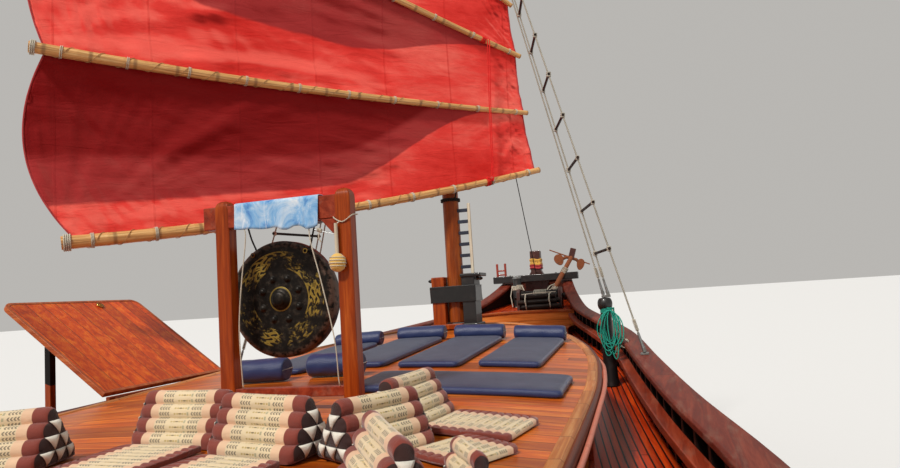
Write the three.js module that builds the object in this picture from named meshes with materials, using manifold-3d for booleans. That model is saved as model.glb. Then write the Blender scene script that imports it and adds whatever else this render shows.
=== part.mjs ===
// A Thai-built Chinese junk: a decked wooden hull with a red fan sail, in millimetres.
// +X is starboard, +Y is towards the bow, +Z is up.
// The origin is on the centreline, amidships, at the waterline.

import * as THREE from 'three';
import { mergeVertices } from 'three/addons/utils/BufferGeometryUtils.js';
import Module from 'manifold-3d';

const wasm = await Module();
wasm.setup();

// Driving dimensions
const SEAT = 0.3; // gap left where two pieces touch
const SHEER_LOW_Y = -7400; // where the deck line is lowest
const SHEER_CURVE = 2.6e-6;
const SHEER_DATUM = 23.4;
const DECK_Z = 1700;
const RAIL_Z = 2200;
const ROOF_Z = 2300;
const FOREDECK_Z = 2080;
const STERN_Y = -11500;
const BOW_Y = 11200;
const STERN_RISE_Y = -5500; // the rail and deck climb towards the stern from here
const DECK_STERN_RISE = 1.2e-5;
const RAIL_STERN_RISE = 3.5e-5;
const BOW_RISE_Y = 8200;
const RAIL_BOW_RISE = 5e-5;

const CAP = { width: 240, thickness: 70 };
const BULWARK = { inset: 60, thickness: 70 };
const DECK_EDGE_INSET = 55;
const STANCHION = { width: 90, depth: 70, spacing: 960, foreY: 8900 };
const INNER_RAIL = { depth: 110, thickness: 70, drop: 200 };

const ROOF = { thickness: 60, camber: 100, camberAt: 2100, rim: 120, rimHeight: 75, rimLip: 18 };
const ROOF_END = { aftY: -5600, frontY: 4900 };
const TRUNK = { inset: 110, thickness: 60, window: { length: 620, height: 270 } };
const HATCH = { width: 900, length: 800, thickness: 55, frontY: -3950, coaming: 60 };

const MAST = { y: 4450, footRadius: 112, headRadius: 70, headZ: 13200, houndsZ: 11200 };
const MIZZEN = { y: -9000, footRadius: 88, headRadius: 50, headZ: 10300 };
const SAIL = { swing: 45, cloth: 16, clothOffset: 140, spar: 200, leechBulge: 660 };
const MIZZEN_SAIL = { swing: 20, cloth: 14, clothOffset: 115, spar: 165, leechBulge: 260 };

const POOP = { halfWidth: 1700, aftY: -10650, frontY: -6400, topZ: 3560, wall: 70, deck: 80, overhang: 160 };
const DOOR = { width: 700, height: 1500, thickness: 45, clear: 8, sill: 80 };
const HINGE = { radius: 10, sides: 24, length: 90, plate: 5, reach: 75, heights: [220, 1240] };
const POOP_WINDOW = {
  lowZ: 2750, highZ: 3200, half: 330, frontHalf: 300, frontX: 1100, y: [-9700, -8500, -7300],
};
const BALUSTRADE = { height: 720, post: 70, rail: 90, spacing: 900 };

const RUDDER = { axisY: -11640, stock: 75, headZ: 4660, tillerZ: 4560, blade: 90 };
const PROPELLER = { y: -10650, z: -760, radius: 430, hub: 95, shaft: 40, boss: 95, bossY: -10150 };

const GONG_FRAME = { y: -350, leftX: -190, rightX: 685, post: 106, depth: 96, topZ: 3890 };
const GONG = {
  x: 100, y: -130, z: 3215, radius: 395, rim: 100,
  pegZ: 3775, pegX: 270, peg: 12, eyeX: 200, cord: 8, tip: 0.8,
};

const LEAF = { hingeX: -2118, aftY: 630, foreY: 2360, length: 1440, thickness: 45, tilt: 36.5, root: 14 };

const FINISH = {
  paint: new THREE.MeshStandardMaterial({ color: 0x5a2418, roughness: 0.6 }),
  bottom: new THREE.MeshStandardMaterial({ color: 0x3b1f1a, roughness: 0.8 }),
  varnish: new THREE.MeshStandardMaterial({ color: 0xb4521c, roughness: 0.35 }),
  redwood: new THREE.MeshStandardMaterial({ color: 0x8c2f1b, roughness: 0.45 }),
  black: new THREE.MeshStandardMaterial({ color: 0x15130f, roughness: 0.6 }),
  cloth: new THREE.MeshStandardMaterial({ color: 0xc4232b, roughness: 0.9 }),
  bamboo: new THREE.MeshStandardMaterial({ color: 0xc79d5c, roughness: 0.6 }),
  rope: new THREE.MeshStandardMaterial({ color: 0xc9c2b0, roughness: 0.9 }),
  bronze: new THREE.MeshStandardMaterial({ color: 0x1d1a16, roughness: 0.4, metalness: 0.8 }),
  brass: new THREE.MeshStandardMaterial({ color: 0xa8843c, roughness: 0.35, metalness: 0.9 }),
  rust: new THREE.MeshStandardMaterial({ color: 0x8a5a3c, roughness: 0.8, metalness: 0.4 }),
  navy: new THREE.MeshStandardMaterial({ color: 0x1d2a4a, roughness: 0.7 }),
  cushion: new THREE.MeshStandardMaterial({ color: 0xc9ab86, roughness: 0.9 }),
};

const junk = new THREE.Group();

// Shape helpers

function add(name, geometry, finish) {
  const mesh = new THREE.Mesh(geometry, finish);
  mesh.name = name;
  junk.add(mesh);
  return mesh;
}

function lerp(a, b, t) {
  return a + (b - a) * t;
}

// Linear interpolation of one column in a table whose first column is the station.
function fromTable(table, station, column) {
  let low = table[0];
  for (const row of table) {
    if (row[0] > station) {
      const t = (station - low[0]) / (row[0] - low[0] || 1);
      return lerp(low[column], row[column], t);
    }
    low = row;
  }
  return low[column];
}

function volumeOf(positions, faces) {
  const a = new THREE.Vector3();
  const b = new THREE.Vector3();
  const c = new THREE.Vector3();
  let six = 0;
  for (let i = 0; i < faces.length; i += 3) {
    a.fromArray(positions, faces[i] * 3);
    b.fromArray(positions, faces[i + 1] * 3);
    c.fromArray(positions, faces[i + 2] * 3);
    six += a.dot(b.cross(c));
  }
  return six;
}

// A closed skin over convex rings that have the same number of points; the ends are filled flat.
function skin(rings) {
  const count = rings[0].length;
  const positions = [];
  const faces = [];
  for (const ring of rings) {
    for (const [x, y, z] of ring) {
      positions.push(x, y, z);
    }
  }
  for (let i = 0; i + 1 < rings.length; i += 1) {
    for (let j = 0; j < count; j += 1) {
      const k = (j + 1) % count;
      const p = i * count;
      const q = p + count;
      faces.push(p + j, p + k, q + k, p + j, q + k, q + j);
    }
  }
  const last = (rings.length - 1) * count;
  for (let j = 1; j + 1 < count; j += 1) {
    faces.push(0, j + 1, j, last, last + j, last + j + 1);
  }
  if (volumeOf(positions, faces) < 0) {
    for (let i = 0; i < faces.length; i += 3) {
      const swap = faces[i + 1];
      faces[i + 1] = faces[i + 2];
      faces[i + 2] = swap;
    }
  }
  const geometry = new THREE.BufferGeometry();
  geometry.setAttribute('position', new THREE.Float32BufferAttribute(positions, 3));
  geometry.setIndex(faces);
  return geometry;
}

function box(low, high) {
  const size = high.map((value, i) => value - low[i]);
  const geometry = new THREE.BoxGeometry(...size);
  geometry.translate(low[0] + size[0] / 2, low[1] + size[1] / 2, low[2] + size[2] / 2);
  return geometry;
}

// A round bar through a list of points, with a radius at each, as [x, y, z, radius].
function bar(path, sides = 8) {
  const rings = path.map(([x, y, z, radius], i) => {
    const here = new THREE.Vector3(x, y, z);
    const before = new THREE.Vector3(...path[Math.max(i - 1, 0)]);
    const after = new THREE.Vector3(...path[Math.min(i + 1, path.length - 1)]);
    const along = after.sub(before).normalize();
    const guide = Math.abs(along.z) > 0.9 ? new THREE.Vector3(1, 0, 0) : new THREE.Vector3(0, 0, 1);
    const across = new THREE.Vector3().crossVectors(along, guide).normalize();
    const upward = new THREE.Vector3().crossVectors(across, along);
    const ring = [];
    for (let s = 0; s < sides; s += 1) {
      const angle = (2 * Math.PI * (s + 0.5)) / sides;
      const point = here.clone()
        .addScaledVector(across, Math.cos(angle) * radius)
        .addScaledVector(upward, Math.sin(angle) * radius);
      ring.push([point.x, point.y, point.z]);
    }
    return ring;
  });
  return skin(rings);
}

// A turned shape about an upright axis; the profile holds [radius, height] pairs.
function turned(profile, segments, x, y) {
  const points = profile.map(([radius, height]) => new THREE.Vector2(radius, height));
  const geometry = new THREE.LatheGeometry(points, segments);
  geometry.rotateX(Math.PI / 2);
  geometry.translate(x, y, 0);
  return geometry;
}

function toSolid(geometry) {
  const bare = geometry.clone();
  for (const name of ['normal', 'uv', 'uv1']) {
    bare.deleteAttribute(name);
  }
  const merged = mergeVertices(bare, 1e-3);
  return new wasm.Manifold(new wasm.Mesh({
    numProp: 3,
    vertProperties: new Float32Array(merged.attributes.position.array),
    triVerts: new Uint32Array(merged.index.array),
  }));
}

function toGeometry(solid) {
  const mesh = solid.getMesh();
  const geometry = new THREE.BufferGeometry();
  geometry.setAttribute('position', new THREE.Float32BufferAttribute(mesh.vertProperties, 3));
  geometry.setIndex(new THREE.Uint32BufferAttribute(mesh.triVerts, 1));
  return geometry;
}

function joined(pieces) {
  const [first, ...rest] = pieces.map(toSolid);
  return toGeometry(rest.reduce((whole, piece) => whole.add(piece), first));
}

function cutFrom(geometry, cutters) {
  return toGeometry(cutters.reduce((rest, cutter) => rest.subtract(toSolid(cutter)), toSolid(geometry)));
}

// The boat's lines

function beyond(y, start, way) {
  return Math.max((y - start) * way, 0) ** 2;
}

// Columns: station y, outer half breadth of the cap rail, keel height, fullness of the section
const STATIONS = [
  [STERN_Y, 1850, 350, 2.3],
  [-10650, 2120, -90, 2.4],
  [-9800, 2380, -520, 2.5],
  [-8000, 2790, -930, 2.8],
  [-6000, 3100, -1150, 3.1],
  [-4000, 3240, -1250, 3.3],
  [-2000, 3180, -1290, 3.3],
  [-900, 3070, -1300, 3.2],
  [1000, 2760, -1290, 3.0],
  [2800, 2500, -1250, 2.8],
  [4860, 2210, -1150, 2.5],
  [6400, 1840, -980, 2.3],
  [8200, 1350, -640, 2.1],
  [9400, 1080, -200, 1.9],
  [10400, 860, 520, 1.7],
  [BOW_Y, 700, 1480, 1.5],
];
const STATION_Y = STATIONS.map(([y]) => y);
const SECTION_STEPS = [0.06, 0.15, 0.28, 0.45, 0.65, 0.82, 1];

// A curve made of straight runs between the stations, so that pieces that follow it meet exactly.
function faired(curve) {
  const table = STATION_Y.map((y) => [y, curve(y)]);
  return (y) => fromTable(table, y, 1);
}

const sheer = faired((y) => SHEER_CURVE * (y - SHEER_LOW_Y) ** 2 - SHEER_DATUM);
const deckZ = faired((y) => DECK_Z + sheer(y) + DECK_STERN_RISE * beyond(y, STERN_RISE_Y, -1));
const railRise = faired((y) => RAIL_STERN_RISE * beyond(y, STERN_RISE_Y, -1)
  + RAIL_BOW_RISE * beyond(y, BOW_RISE_Y, 1));
const railZ = (y) => RAIL_Z + sheer(y) + railRise(y);
const roofEdgeZ = (y) => ROOF_Z + sheer(y);
const foredeckZ = (y) => FOREDECK_Z + sheer(y);

function halfBreadth(y) {
  return fromTable(STATIONS, y, 1);
}

function stationsBetween(low, high, more = []) {
  const inside = [...STATION_Y, ...more].filter((y) => y > low + 1 && y < high - 1);
  return [low, ...new Set(inside.sort((a, b) => a - b)), high];
}

function hullRing(y) {
  const keel = fromTable(STATIONS, y, 2);
  const fullness = fromTable(STATIONS, y, 3);
  const edge = halfBreadth(y) - DECK_EDGE_INSET;
  const side = SECTION_STEPS.map((step) => [
    edge * (1 - (1 - step) ** fullness),
    lerp(keel, deckZ(y), step),
  ]);
  const port = side.map(([x, z]) => [-x, y, z]).reverse();
  const starboard = side.map(([x, z]) => [x, y, z]);
  return [...port, [0, y, keel], ...starboard];
}

// A strip that follows the boat's side, between two distances in from the rail's outer edge.
function sideStrip(side, low, high, inner, outer, bottom, top) {
  return skin(stationsBetween(low, high).map((y) => {
    const near = side * (halfBreadth(y) - inner);
    const far = side * (halfBreadth(y) - outer);
    return [[near, y, bottom(y)], [far, y, bottom(y)], [far, y, top(y)], [near, y, top(y)]];
  }));
}

// A slab whose outline and heights are functions of y.
function deckSlab(ys, half, bottom, top) {
  return skin(ys.map((y) => {
    const x = half(y);
    return [[-x, y, bottom(y)], [x, y, bottom(y)], [x, y, top(y)], [-x, y, top(y)]];
  }));
}

// Hull, in one piece with its keel, stern tube and rudder gudgeons

// Columns: y, depth of the keel's underside
const KEEL = [[-9950, -1250], [-6000, -1480], [4000, -1480], [8200, -1050], [10300, 200]];
const KEEL_HALF = 110;
const KEEL_SUNK = 160;
const GUDGEON_Z = [800, 1750];

function keelPiece() {
  return skin(KEEL.map(([y, bottom]) => {
    const top = fromTable(STATIONS, y, 2) + KEEL_SUNK;
    return [[-KEEL_HALF, y, bottom], [KEEL_HALF, y, bottom], [KEEL_HALF, y, top], [-KEEL_HALF, y, top]];
  }));
}

function gudgeon(z) {
  const tip = RUDDER.axisY + RUDDER.stock + SEAT;
  return box([-120, tip, z - 60], [120, STERN_Y + 40, z + 60]);
}

function hull() {
  const { z, boss, bossY } = PROPELLER;
  const tube = bar([[0, bossY + 450, z, boss], [0, bossY, z, boss]], 12);
  const shell = skin(STATION_Y.map(hullRing));
  return joined([shell, keelPiece(), tube, ...GUDGEON_Z.map(gudgeon)]);
}

// Bulwarks, rails and the boards that close them at the ends

const BULWARK_JOINTS = [-6000, -900, 4000]; // where the side's planks butt on a post

function bulwarkSide(side, low, high) {
  const inner = BULWARK.inset + BULWARK.thickness;
  const post = inner + STANCHION.depth;
  const pieces = [sideStrip(side, low, high, BULWARK.inset, inner, bulwarkFoot, bulwarkHead)];
  const [first, last] = [Math.max(low, STERN_Y + 300), Math.min(high, STANCHION.foreY + 150)];
  for (let y = STERN_Y + 400; y < STANCHION.foreY; y += STANCHION.spacing) {
    if (y > low && y + STANCHION.width < high) {
      pieces.push(sideStrip(side, y, y + STANCHION.width, inner - 5, post, bulwarkFoot, bulwarkHead));
    }
  }
  const railTop = (y) => railZ(y) - INNER_RAIL.drop;
  const railBottom = (y) => railTop(y) - INNER_RAIL.thickness;
  const depth = post + INNER_RAIL.depth;
  pieces.push(sideStrip(side, first, last, post - 5, depth, railBottom, railTop));
  for (const end of [first, last - BULWARK.thickness]) {
    pieces.push(sideStrip(side, end, end + BULWARK.thickness, inner - 5, post, bulwarkFoot, bulwarkHead));
  }
  return pieces;
}

function bulwarkFoot(y) {
  return deckZ(y) + SEAT;
}

function bulwarkHead(y) {
  return railZ(y) - CAP.thickness - SEAT;
}

// Both sides and the board that closes them at one end of the boat.
function bulwarkEnd(low, high, boardY) {
  const board = deckSlab(
    [boardY, boardY + BULWARK.thickness],
    (y) => halfBreadth(y) - BULWARK.inset - 5,
    bulwarkFoot,
    bulwarkHead,
  );
  return joined([board, ...[-1, 1].flatMap((side) => bulwarkSide(side, low, high))]);
}

function capRail() {
  const bottom = (y) => railZ(y) - CAP.thickness;
  const sides = [-1, 1].map((side) => sideStrip(side, STERN_Y, BOW_Y, 0, CAP.width, bottom, railZ));
  const stern = deckSlab([STERN_Y, STERN_Y + CAP.width], halfBreadth, bottom, railZ);
  const bow = deckSlab([BOW_Y - CAP.width / 2, BOW_Y], halfBreadth, bottom, railZ);
  return joined([...sides, stern, bow]);
}

// Cabin trunk and its cambered roof

// Columns: y, half breadth of the roof
const ROOF_OUTLINE = [
  [ROOF_END.aftY, 2118], [460, 2100], [1780, 2020], [2600, 1890], [3400, 1660],
  [3900, 1440], [4300, 1180], [4600, 930], [4800, 680], [ROOF_END.frontY, 460],
];
const ROOF_Y = ROOF_OUTLINE.map(([y]) => y);
const CAMBER_STEPS = [1, 0.6, 0.25, -0.25, -0.6, -1];
const TRUNK_FLOOR_Z = 1000;

function roofHalf(y) {
  return fromTable(ROOF_OUTLINE, y, 1);
}

function roofTopZ(x, y) {
  return roofEdgeZ(y) + ROOF.camber * (1 - (x / ROOF.camberAt) ** 2);
}

// Everything under the cambered roof surface, drawn in from its outline and raised by lift.
function underRoof(inset, lift) {
  const ys = stationsBetween(ROOF_END.aftY + inset, ROOF_END.frontY - inset, ROOF_Y);
  return skin(ys.map((y) => {
    const half = roofHalf(y) - inset;
    const top = CAMBER_STEPS.map((step) => [half * step, y, roofTopZ(half * step, y) + lift]);
    return [[-half, y, TRUNK_FLOOR_Z], [half, y, TRUNK_FLOOR_Z], ...top];
  }));
}

const HATCH_LOW_Y = HATCH.frontY - HATCH.length;
const hatchHole = box(
  [-HATCH.width / 2 + HATCH.coaming, HATCH_LOW_Y + HATCH.coaming, TRUNK_FLOOR_Z],
  [HATCH.width / 2 - HATCH.coaming, HATCH.frontY - HATCH.coaming, RAIL_Z + 1000],
);

function roofSlab() {
  const inset = ROOF.rim + SEAT;
  const inside = ROOF.rim - 40;
  return cutFrom(underRoof(inset, 0), [underRoof(inside, -ROOF.thickness), hatchHole]);
}

const LEAF_HINGE_Z = roofEdgeZ((LEAF.aftY + LEAF.foreY) / 2) + 10;
const LEAF_HINGE_Y = [LEAF.aftY + 120, (LEAF.aftY + LEAF.foreY) / 2, LEAF.foreY - 120];

function leafBracket(y) {
  const low = LEAF_HINGE_Z - 45;
  return box([LEAF.hingeX + 12, y - 60, low], [-roofHalf(y) + 60, y + 60, low + 30]);
}

function roofRim() {
  const top = underRoof(0, ROOF.rimLip);
  const belowRim = underRoof(-20, ROOF.rimLip - ROOF.rimHeight);
  const ring = cutFrom(top, [belowRim, underRoof(ROOF.rim, 400)]);
  return joined([ring, ...LEAF_HINGE_Y.map(leafBracket)]);
}

function windowCutter(side, y) {
  const { length, height } = TRUNK.window;
  const middle = (deckZ(y) + roofEdgeZ(y) - ROOF.thickness) / 2;
  const x = side * roofHalf(y);
  const low = [Math.min(x, x - side * 400), y - length / 2, middle - height / 2];
  const high = [Math.max(x, x - side * 400), y + length / 2, middle + height / 2];
  return box(low, high);
}

const WINDOW_Y = [-4500, -2900, -1300, 300];

function cabinTrunk() {
  const bottom = (y) => deckZ(y) + SEAT;
  const top = (y) => roofEdgeZ(y) + ROOF.camber + 200;
  const inset = TRUNK.inset;
  const wall = inset + TRUNK.thickness;
  const ysOut = stationsBetween(ROOF_END.aftY + inset, ROOF_END.frontY - inset, ROOF_Y);
  const ysIn = stationsBetween(ROOF_END.aftY + wall, ROOF_END.frontY - wall, ROOF_Y);
  const outer = deckSlab(ysOut, (y) => roofHalf(y) - inset, bottom, top);
  const inner = deckSlab(ysIn, (y) => roofHalf(y) - wall, (y) => bottom(y) - 50, (y) => top(y) + 50);
  const windows = [-1, 1].flatMap((side) => WINDOW_Y.map((y) => windowCutter(side, y)));
  const shell = cutFrom(outer, [inner, ...windows]);
  return toGeometry(toSolid(shell).intersect(toSolid(underRoof(ROOF.rim - 40, -ROOF.thickness - SEAT))));
}

// Cuts the foot of a piece so that it stands on the roof, and on its rim, with the seat gap.
const roofBelow = underRoof(ROOF.rim - 2, SEAT);
const rimBelow = cutFrom(underRoof(0, ROOF.rimLip + SEAT), [underRoof(ROOF.rim, 400)]);

function onRoof(geometry) {
  return cutFrom(geometry, [roofBelow, rimBelow]);
}

function hatchLid() {
  const lid = box(
    [-HATCH.width / 2, HATCH_LOW_Y, TRUNK_FLOOR_Z + 500],
    [HATCH.width / 2, HATCH.frontY, roofTopZ(0, HATCH.frontY) + HATCH.thickness],
  );
  return onRoof(lid);
}

// Raised foredeck and the gear on it

const BREAK_Y = 9200;
const CROSSBEAM = { y: 10710, depth: 180, height: 150, half: 920 };
const STEM = { lowY: 10830, highY: 11050, half: 110, topZ: 4060, base: 250, baseTopZ: 3620 };
const BITT = { x: -300, y: 10150, radius: 105, topZ: 3520 };
const WINDLASS = {
  y: 9640, leftX: -140, rightX: 620, z: 3060, radius: 130, cheek: 70, shaft: 45, sides: 24, stub: 60,
};

const ROOTED = 5; // how deep the posts are let into the foredeck

// The foredeck, with the step nailed to its break wall and the posts let into it.
function foredeck() {
  const inset = BULWARK.inset + BULWARK.thickness + SEAT;
  const ys = stationsBetween(BREAK_Y, BOW_Y - BULWARK.thickness - SEAT);
  const deck = deckSlab(ys, (y) => halfBreadth(y) - inset, (y) => deckZ(y) + SEAT, foredeckZ);
  const posts = [bitt(), stemPost()].map((post) => post.translate(0, 0, -ROOTED));
  return joined([deck, foreStep(), ...posts]);
}

const foredeckBelow = deckSlab(
  stationsBetween(BREAK_Y - 10, BOW_Y),
  (y) => halfBreadth(y),
  () => TRUNK_FLOOR_Z,
  (y) => foredeckZ(y) + SEAT,
);

function onForedeck(geometry) {
  return cutFrom(geometry, [foredeckBelow]);
}

const FORE_STEP = { leftX: 440, rightX: 920, aftY: 8300, height: 150 };

function foreStep() {
  const { leftX, rightX, aftY, height } = FORE_STEP;
  const ys = stationsBetween(aftY, BREAK_Y + 10);
  return skin(ys.map((y) => {
    const bottom = deckZ(y) + SEAT;
    const top = bottom + height;
    return [[leftX, y, bottom], [rightX, y, bottom], [rightX, y, top], [leftX, y, top]];
  }));
}

const CROSSBEAM_TOP = railZ(CROSSBEAM.y + CROSSBEAM.depth / 2) + SEAT + CROSSBEAM.height;

function crossbeam() {
  const { y, depth, height, half } = CROSSBEAM;
  const beam = box([-half, y - depth / 2, CROSSBEAM_TOP - height], [half, y + depth / 2, CROSSBEAM_TOP]);
  return joined([beam, ...fairlead()]);
}

// A small frame that stands on the crossbeam to port.
function fairlead() {
  const bottom = CROSSBEAM_TOP;
  const [x, y] = [-740, CROSSBEAM.y];
  const posts = [-1, 1].map((side) => box(
    [x + side * 90 - 22, y - 22, bottom - 10],
    [x + side * 90 + 22, y + 22, bottom + 290],
  ));
  const bars = [40, 130].map((z) => box([x - 100, y - 18, bottom + z], [x + 100, y + 18, bottom + z + 30]));
  return [...posts, ...bars];
}

function stemPost() {
  const { lowY, highY, half, topZ, base, baseTopZ } = STEM;
  const low = [-half, lowY, TRUNK_FLOOR_Z + 1000];
  const post = box(low, [half, highY, topZ]);
  const hump = skin([lowY + 10, highY - 10].map((y) => [
    [-base, y, TRUNK_FLOOR_Z + 1000], [base, y, TRUNK_FLOOR_Z + 1000],
    [base, y, baseTopZ - 250], [half, y, baseTopZ], [-half, y, baseTopZ], [-base, y, baseTopZ - 250],
  ]));
  return onForedeck(joined([post, hump]));
}

function bitt() {
  const { x, y, radius, topZ } = BITT;
  const profile = [
    [0, TRUNK_FLOOR_Z + 1000], [radius, TRUNK_FLOOR_Z + 1000], [radius, topZ - 200],
    [radius * 0.8, topZ - 170], [radius * 0.8, topZ - 40], [radius * 0.4, topZ], [0, topZ],
  ];
  return onForedeck(turned(profile, 16, x, y));
}

function windlassFrame() {
  const { y, leftX, rightX, z, radius, cheek, shaft, sides } = WINDLASS;
  const cheeks = [leftX - cheek, rightX].map((x) => box(
    [x, y - 150, TRUNK_FLOOR_Z + 1000],
    [x + cheek, y + 150, z + radius + 50],
  ));
  const bore = (shaft + SEAT) / Math.cos(Math.PI / sides);
  const hole = bar([[leftX - 2 * cheek, y, z, bore], [rightX + 2 * cheek, y, z, bore]], sides);
  const sill = box(
    [leftX - cheek, y - 90, TRUNK_FLOOR_Z + 1000],
    [rightX + cheek, y + 90, foredeckZ(y) + 50],
  );
  return onForedeck(cutFrom(joined([...cheeks, sill]), [hole]));
}

function windlassBarrel() {
  const { y, leftX, rightX, z, radius, cheek, shaft, sides, stub } = WINDLASS;
  const drum = bar([[leftX + 6, y, z, radius], [rightX - 6, y, z, radius]], 12);
  const [low, high] = [leftX - cheek - stub, rightX + cheek + stub];
  return joined([drum, bar([[low, y, z, shaft], [high, y, z, shaft]], sides)]);
}

// Shank, stock and arms; each bar runs between two points, as [x, y, z, radius]
const ANCHOR_BARS = [
  [[270, 9990, 2860, 42], [790, 10975, 3880, 46]],
  [[320, 10900, 4050, 16], [1160, 10980, 3680, 16]],
  [[510, 10925, 3800, 38], [800, 10950, 3850, 38]],
  [[960, 10985, 3690, 34], [740, 10955, 3850, 34]],
];
// Two palms and the blade of the crown; each box has a low and a high corner
const ANCHOR_PLATES = [
  [[420, 10870, 3705], [610, 10945, 3935]],
  [[885, 10935, 3570], [1035, 11015, 3805]],
  [[735, 10905, 3810], [875, 11005, 4065]],
];

function anchor() {
  const bars = ANCHOR_BARS.map((path) => bar(path));
  const plates = ANCHOR_PLATES.map(([low, high]) => box(low, high));
  const beam = box(
    [-CROSSBEAM.half, CROSSBEAM.y - CROSSBEAM.depth / 2 - SEAT, 2000],
    [CROSSBEAM.half, CROSSBEAM.y + CROSSBEAM.depth / 2 + SEAT, CROSSBEAM_TOP + SEAT],
  );
  return cutFrom(onForedeck(joined([...bars, ...plates])), [beam]);
}

// Masts and standing rigging

const ROUND = 32; // sides of the masts, and of what turns on them
const TABERNACLE = { plate: 90, half: 290, depth: 190, cheek: 150, cheekDepth: 150, topZ: 3450, gap: 3 };

const mastFootZ = roofTopZ(0, MAST.y) + TABERNACLE.plate;

function mastRadius(z) {
  return lerp(MAST.footRadius, MAST.headRadius, (z - mastFootZ) / (MAST.headZ - mastFootZ));
}

function tabernacle() {
  const { half, depth, topZ, gap, cheek, cheekDepth } = TABERNACLE;
  const low = TRUNK_FLOOR_Z + 1000;
  const plate = box([-half, MAST.y - depth, low], [half, MAST.y + depth, mastFootZ - SEAT]);
  const cheeks = [-1, 1].map((side) => {
    const inner = side * (MAST.footRadius + gap);
    const outer = side * (MAST.footRadius + gap + cheek);
    return box(
      [Math.min(inner, outer), MAST.y - cheekDepth, low],
      [Math.max(inner, outer), MAST.y + cheekDepth, topZ],
    );
  });
  return onRoof(joined([plate, ...cheeks]));
}

function mastPole(footZ, { y, footRadius, headRadius, headZ }) {
  const profile = [[0, footZ], [footRadius, footZ], [headRadius, headZ], [0, headZ]];
  return turned(profile, ROUND, 0, y);
}

const LADDER = { x: 250, bottomZ: 3480, topZ: 4370, rungs: 6, radius: 14, stile: 26 };

function ladderPieces() {
  const { x, bottomZ, topZ, rungs, radius, stile } = LADDER;
  const pieces = [box([x - stile, MAST.y - stile, bottomZ], [x + stile, MAST.y + stile, topZ])];
  for (let i = 0; i < rungs; i += 1) {
    const z = lerp(bottomZ + 60, topZ - 60, i / (rungs - 1));
    pieces.push(bar([[mastRadius(z) - 20, MAST.y, z, radius], [x, MAST.y, z, radius]]));
  }
  return pieces;
}

function mainMast() {
  return joined([mastPole(mastFootZ, MAST), ...ladderPieces()]);
}

const SHROUD = { radius: 11, postY: 4000, railY: 3000, postTopZ: 3040, rungSpacing: 520, rungs: 13 };
const POST_X = halfBreadth(SHROUD.postY) - BULWARK.inset - BULWARK.thickness
  - STANCHION.depth - INNER_RAIL.depth - 95;

function shroudPost(side) {
  const top = SHROUD.postTopZ;
  const foot = deckZ(SHROUD.postY + 90) + SEAT;
  const profile = [
    [0, foot], [92, foot], [80, foot + 200], [66, foot + 480], [66, top - 170],
    [86, top - 120], [86, top - 50], [50, top], [0, top],
  ];
  return turned(profile, 12, side * POST_X, SHROUD.postY);
}

// A small block on the cap rail, which slopes with the sheer.
function railBlock(x, y, half, height) {
  return skin([y - half, y + half].map((py) => {
    const bottom = railZ(py) + SEAT;
    const top = bottom + height;
    return [[x - half, py, bottom], [x + half, py, bottom], [x + half, py, top], [x - half, py, top]];
  }));
}

function shrouds(side) {
  const headX = mastRadius(MAST.houndsZ - 60) + SEAT;
  const head = [side * (headX + 36), MAST.y, MAST.houndsZ, SHROUD.radius];
  const railX = side * (halfBreadth(SHROUD.railY) - CAP.width / 2);
  const onPost = SHROUD.postTopZ + SEAT;
  // Columns: x, y, z of each shroud's foot
  const feet = [
    [side * (POST_X - 30), SHROUD.postY + 22, onPost + 22],
    [side * (POST_X + 28), SHROUD.postY - 20, onPost + 26],
    [railX, SHROUD.railY, railZ(SHROUD.railY) + 26],
  ];
  const [, second, third] = feet;
  const pieces = feet.map(([x, y, z]) => bar([[x, y, z, SHROUD.radius], head], 6));
  for (let i = 1; i <= SHROUD.rungs; i += 1) {
    const z = SHROUD.postTopZ + i * SHROUD.rungSpacing;
    const ends = [second, third].map(([x, y, foot]) => {
      const t = (z - foot) / (head[2] - foot);
      return [lerp(x, head[0], t), lerp(y, head[1], t), z, 20];
    });
    pieces.push(bar(ends, 4));
  }
  const [near, far] = [side * headX, side * (headX + 80)];
  pieces.push(box(
    [Math.min(near, far), MAST.y - 35, MAST.houndsZ - 60],
    [Math.max(near, far), MAST.y + 35, MAST.houndsZ + 60],
  ));
  const postX = side * POST_X;
  pieces.push(box([postX - 48, SHROUD.postY - 40, onPost], [postX + 48, SHROUD.postY + 40, onPost + 45]));
  pieces.push(railBlock(railX, SHROUD.railY, 34, 50));
  return joined(pieces);
}

function forestay() {
  const near = MAST.y + mastRadius(MAST.houndsZ - 60) + SEAT;
  const seat = STEM.lowY - SEAT;
  const footZ = STEM.baseTopZ - 10;
  const stay = bar([[0, seat - 25, footZ, 11], [0, near + 25, MAST.houndsZ, 11]], 6);
  const head = box([-32, near, MAST.houndsZ - 60], [32, near + 60, MAST.houndsZ + 60]);
  const foot = box([-30, seat - 50, footZ - 45], [30, seat, footZ + 45]);
  return joined([stay, head, foot]);
}

// Fan sails; each lies beside its mast, in a plane turned by its swing

// Columns: name, luff a, luff z, leech a, leech z, sag, leech radius, luff radius,
// with a measured aft from the mast axis along the sail
const MAIN_SPARS = [
  ['boom', -1340, 4850, 4520, 3930, 110, 72, 42],
  ['batten_2', -1220, 5660, 4780, 5900, 70, 62, 34],
  ['batten_3', -1170, 6470, 4440, 8280, 60, 60, 34],
  ['batten_4', -1090, 7200, 3850, 10050, 50, 58, 32],
  ['batten_5', -1000, 7800, 3010, 11410, 40, 56, 32],
  ['yard', -850, 8300, 1750, 12450, 0, 76, 48],
];
const MIZZEN_SPARS = [
  ['boom', -700, 6000, 2400, 5750, 50, 50, 32],
  ['batten_2', -640, 6550, 2450, 6900, 30, 42, 28],
  ['batten_3', -580, 7050, 2150, 8050, 30, 42, 28],
  ['yard', -500, 7450, 1150, 9550, 0, 52, 36],
];
const SPAR_STEPS = 6;
const SPAR_SIDES = 8;
const SPAR_FLAT = Math.cos(Math.PI / SPAR_SIDES); // distance of a side's middle, for a radius of one
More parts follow.
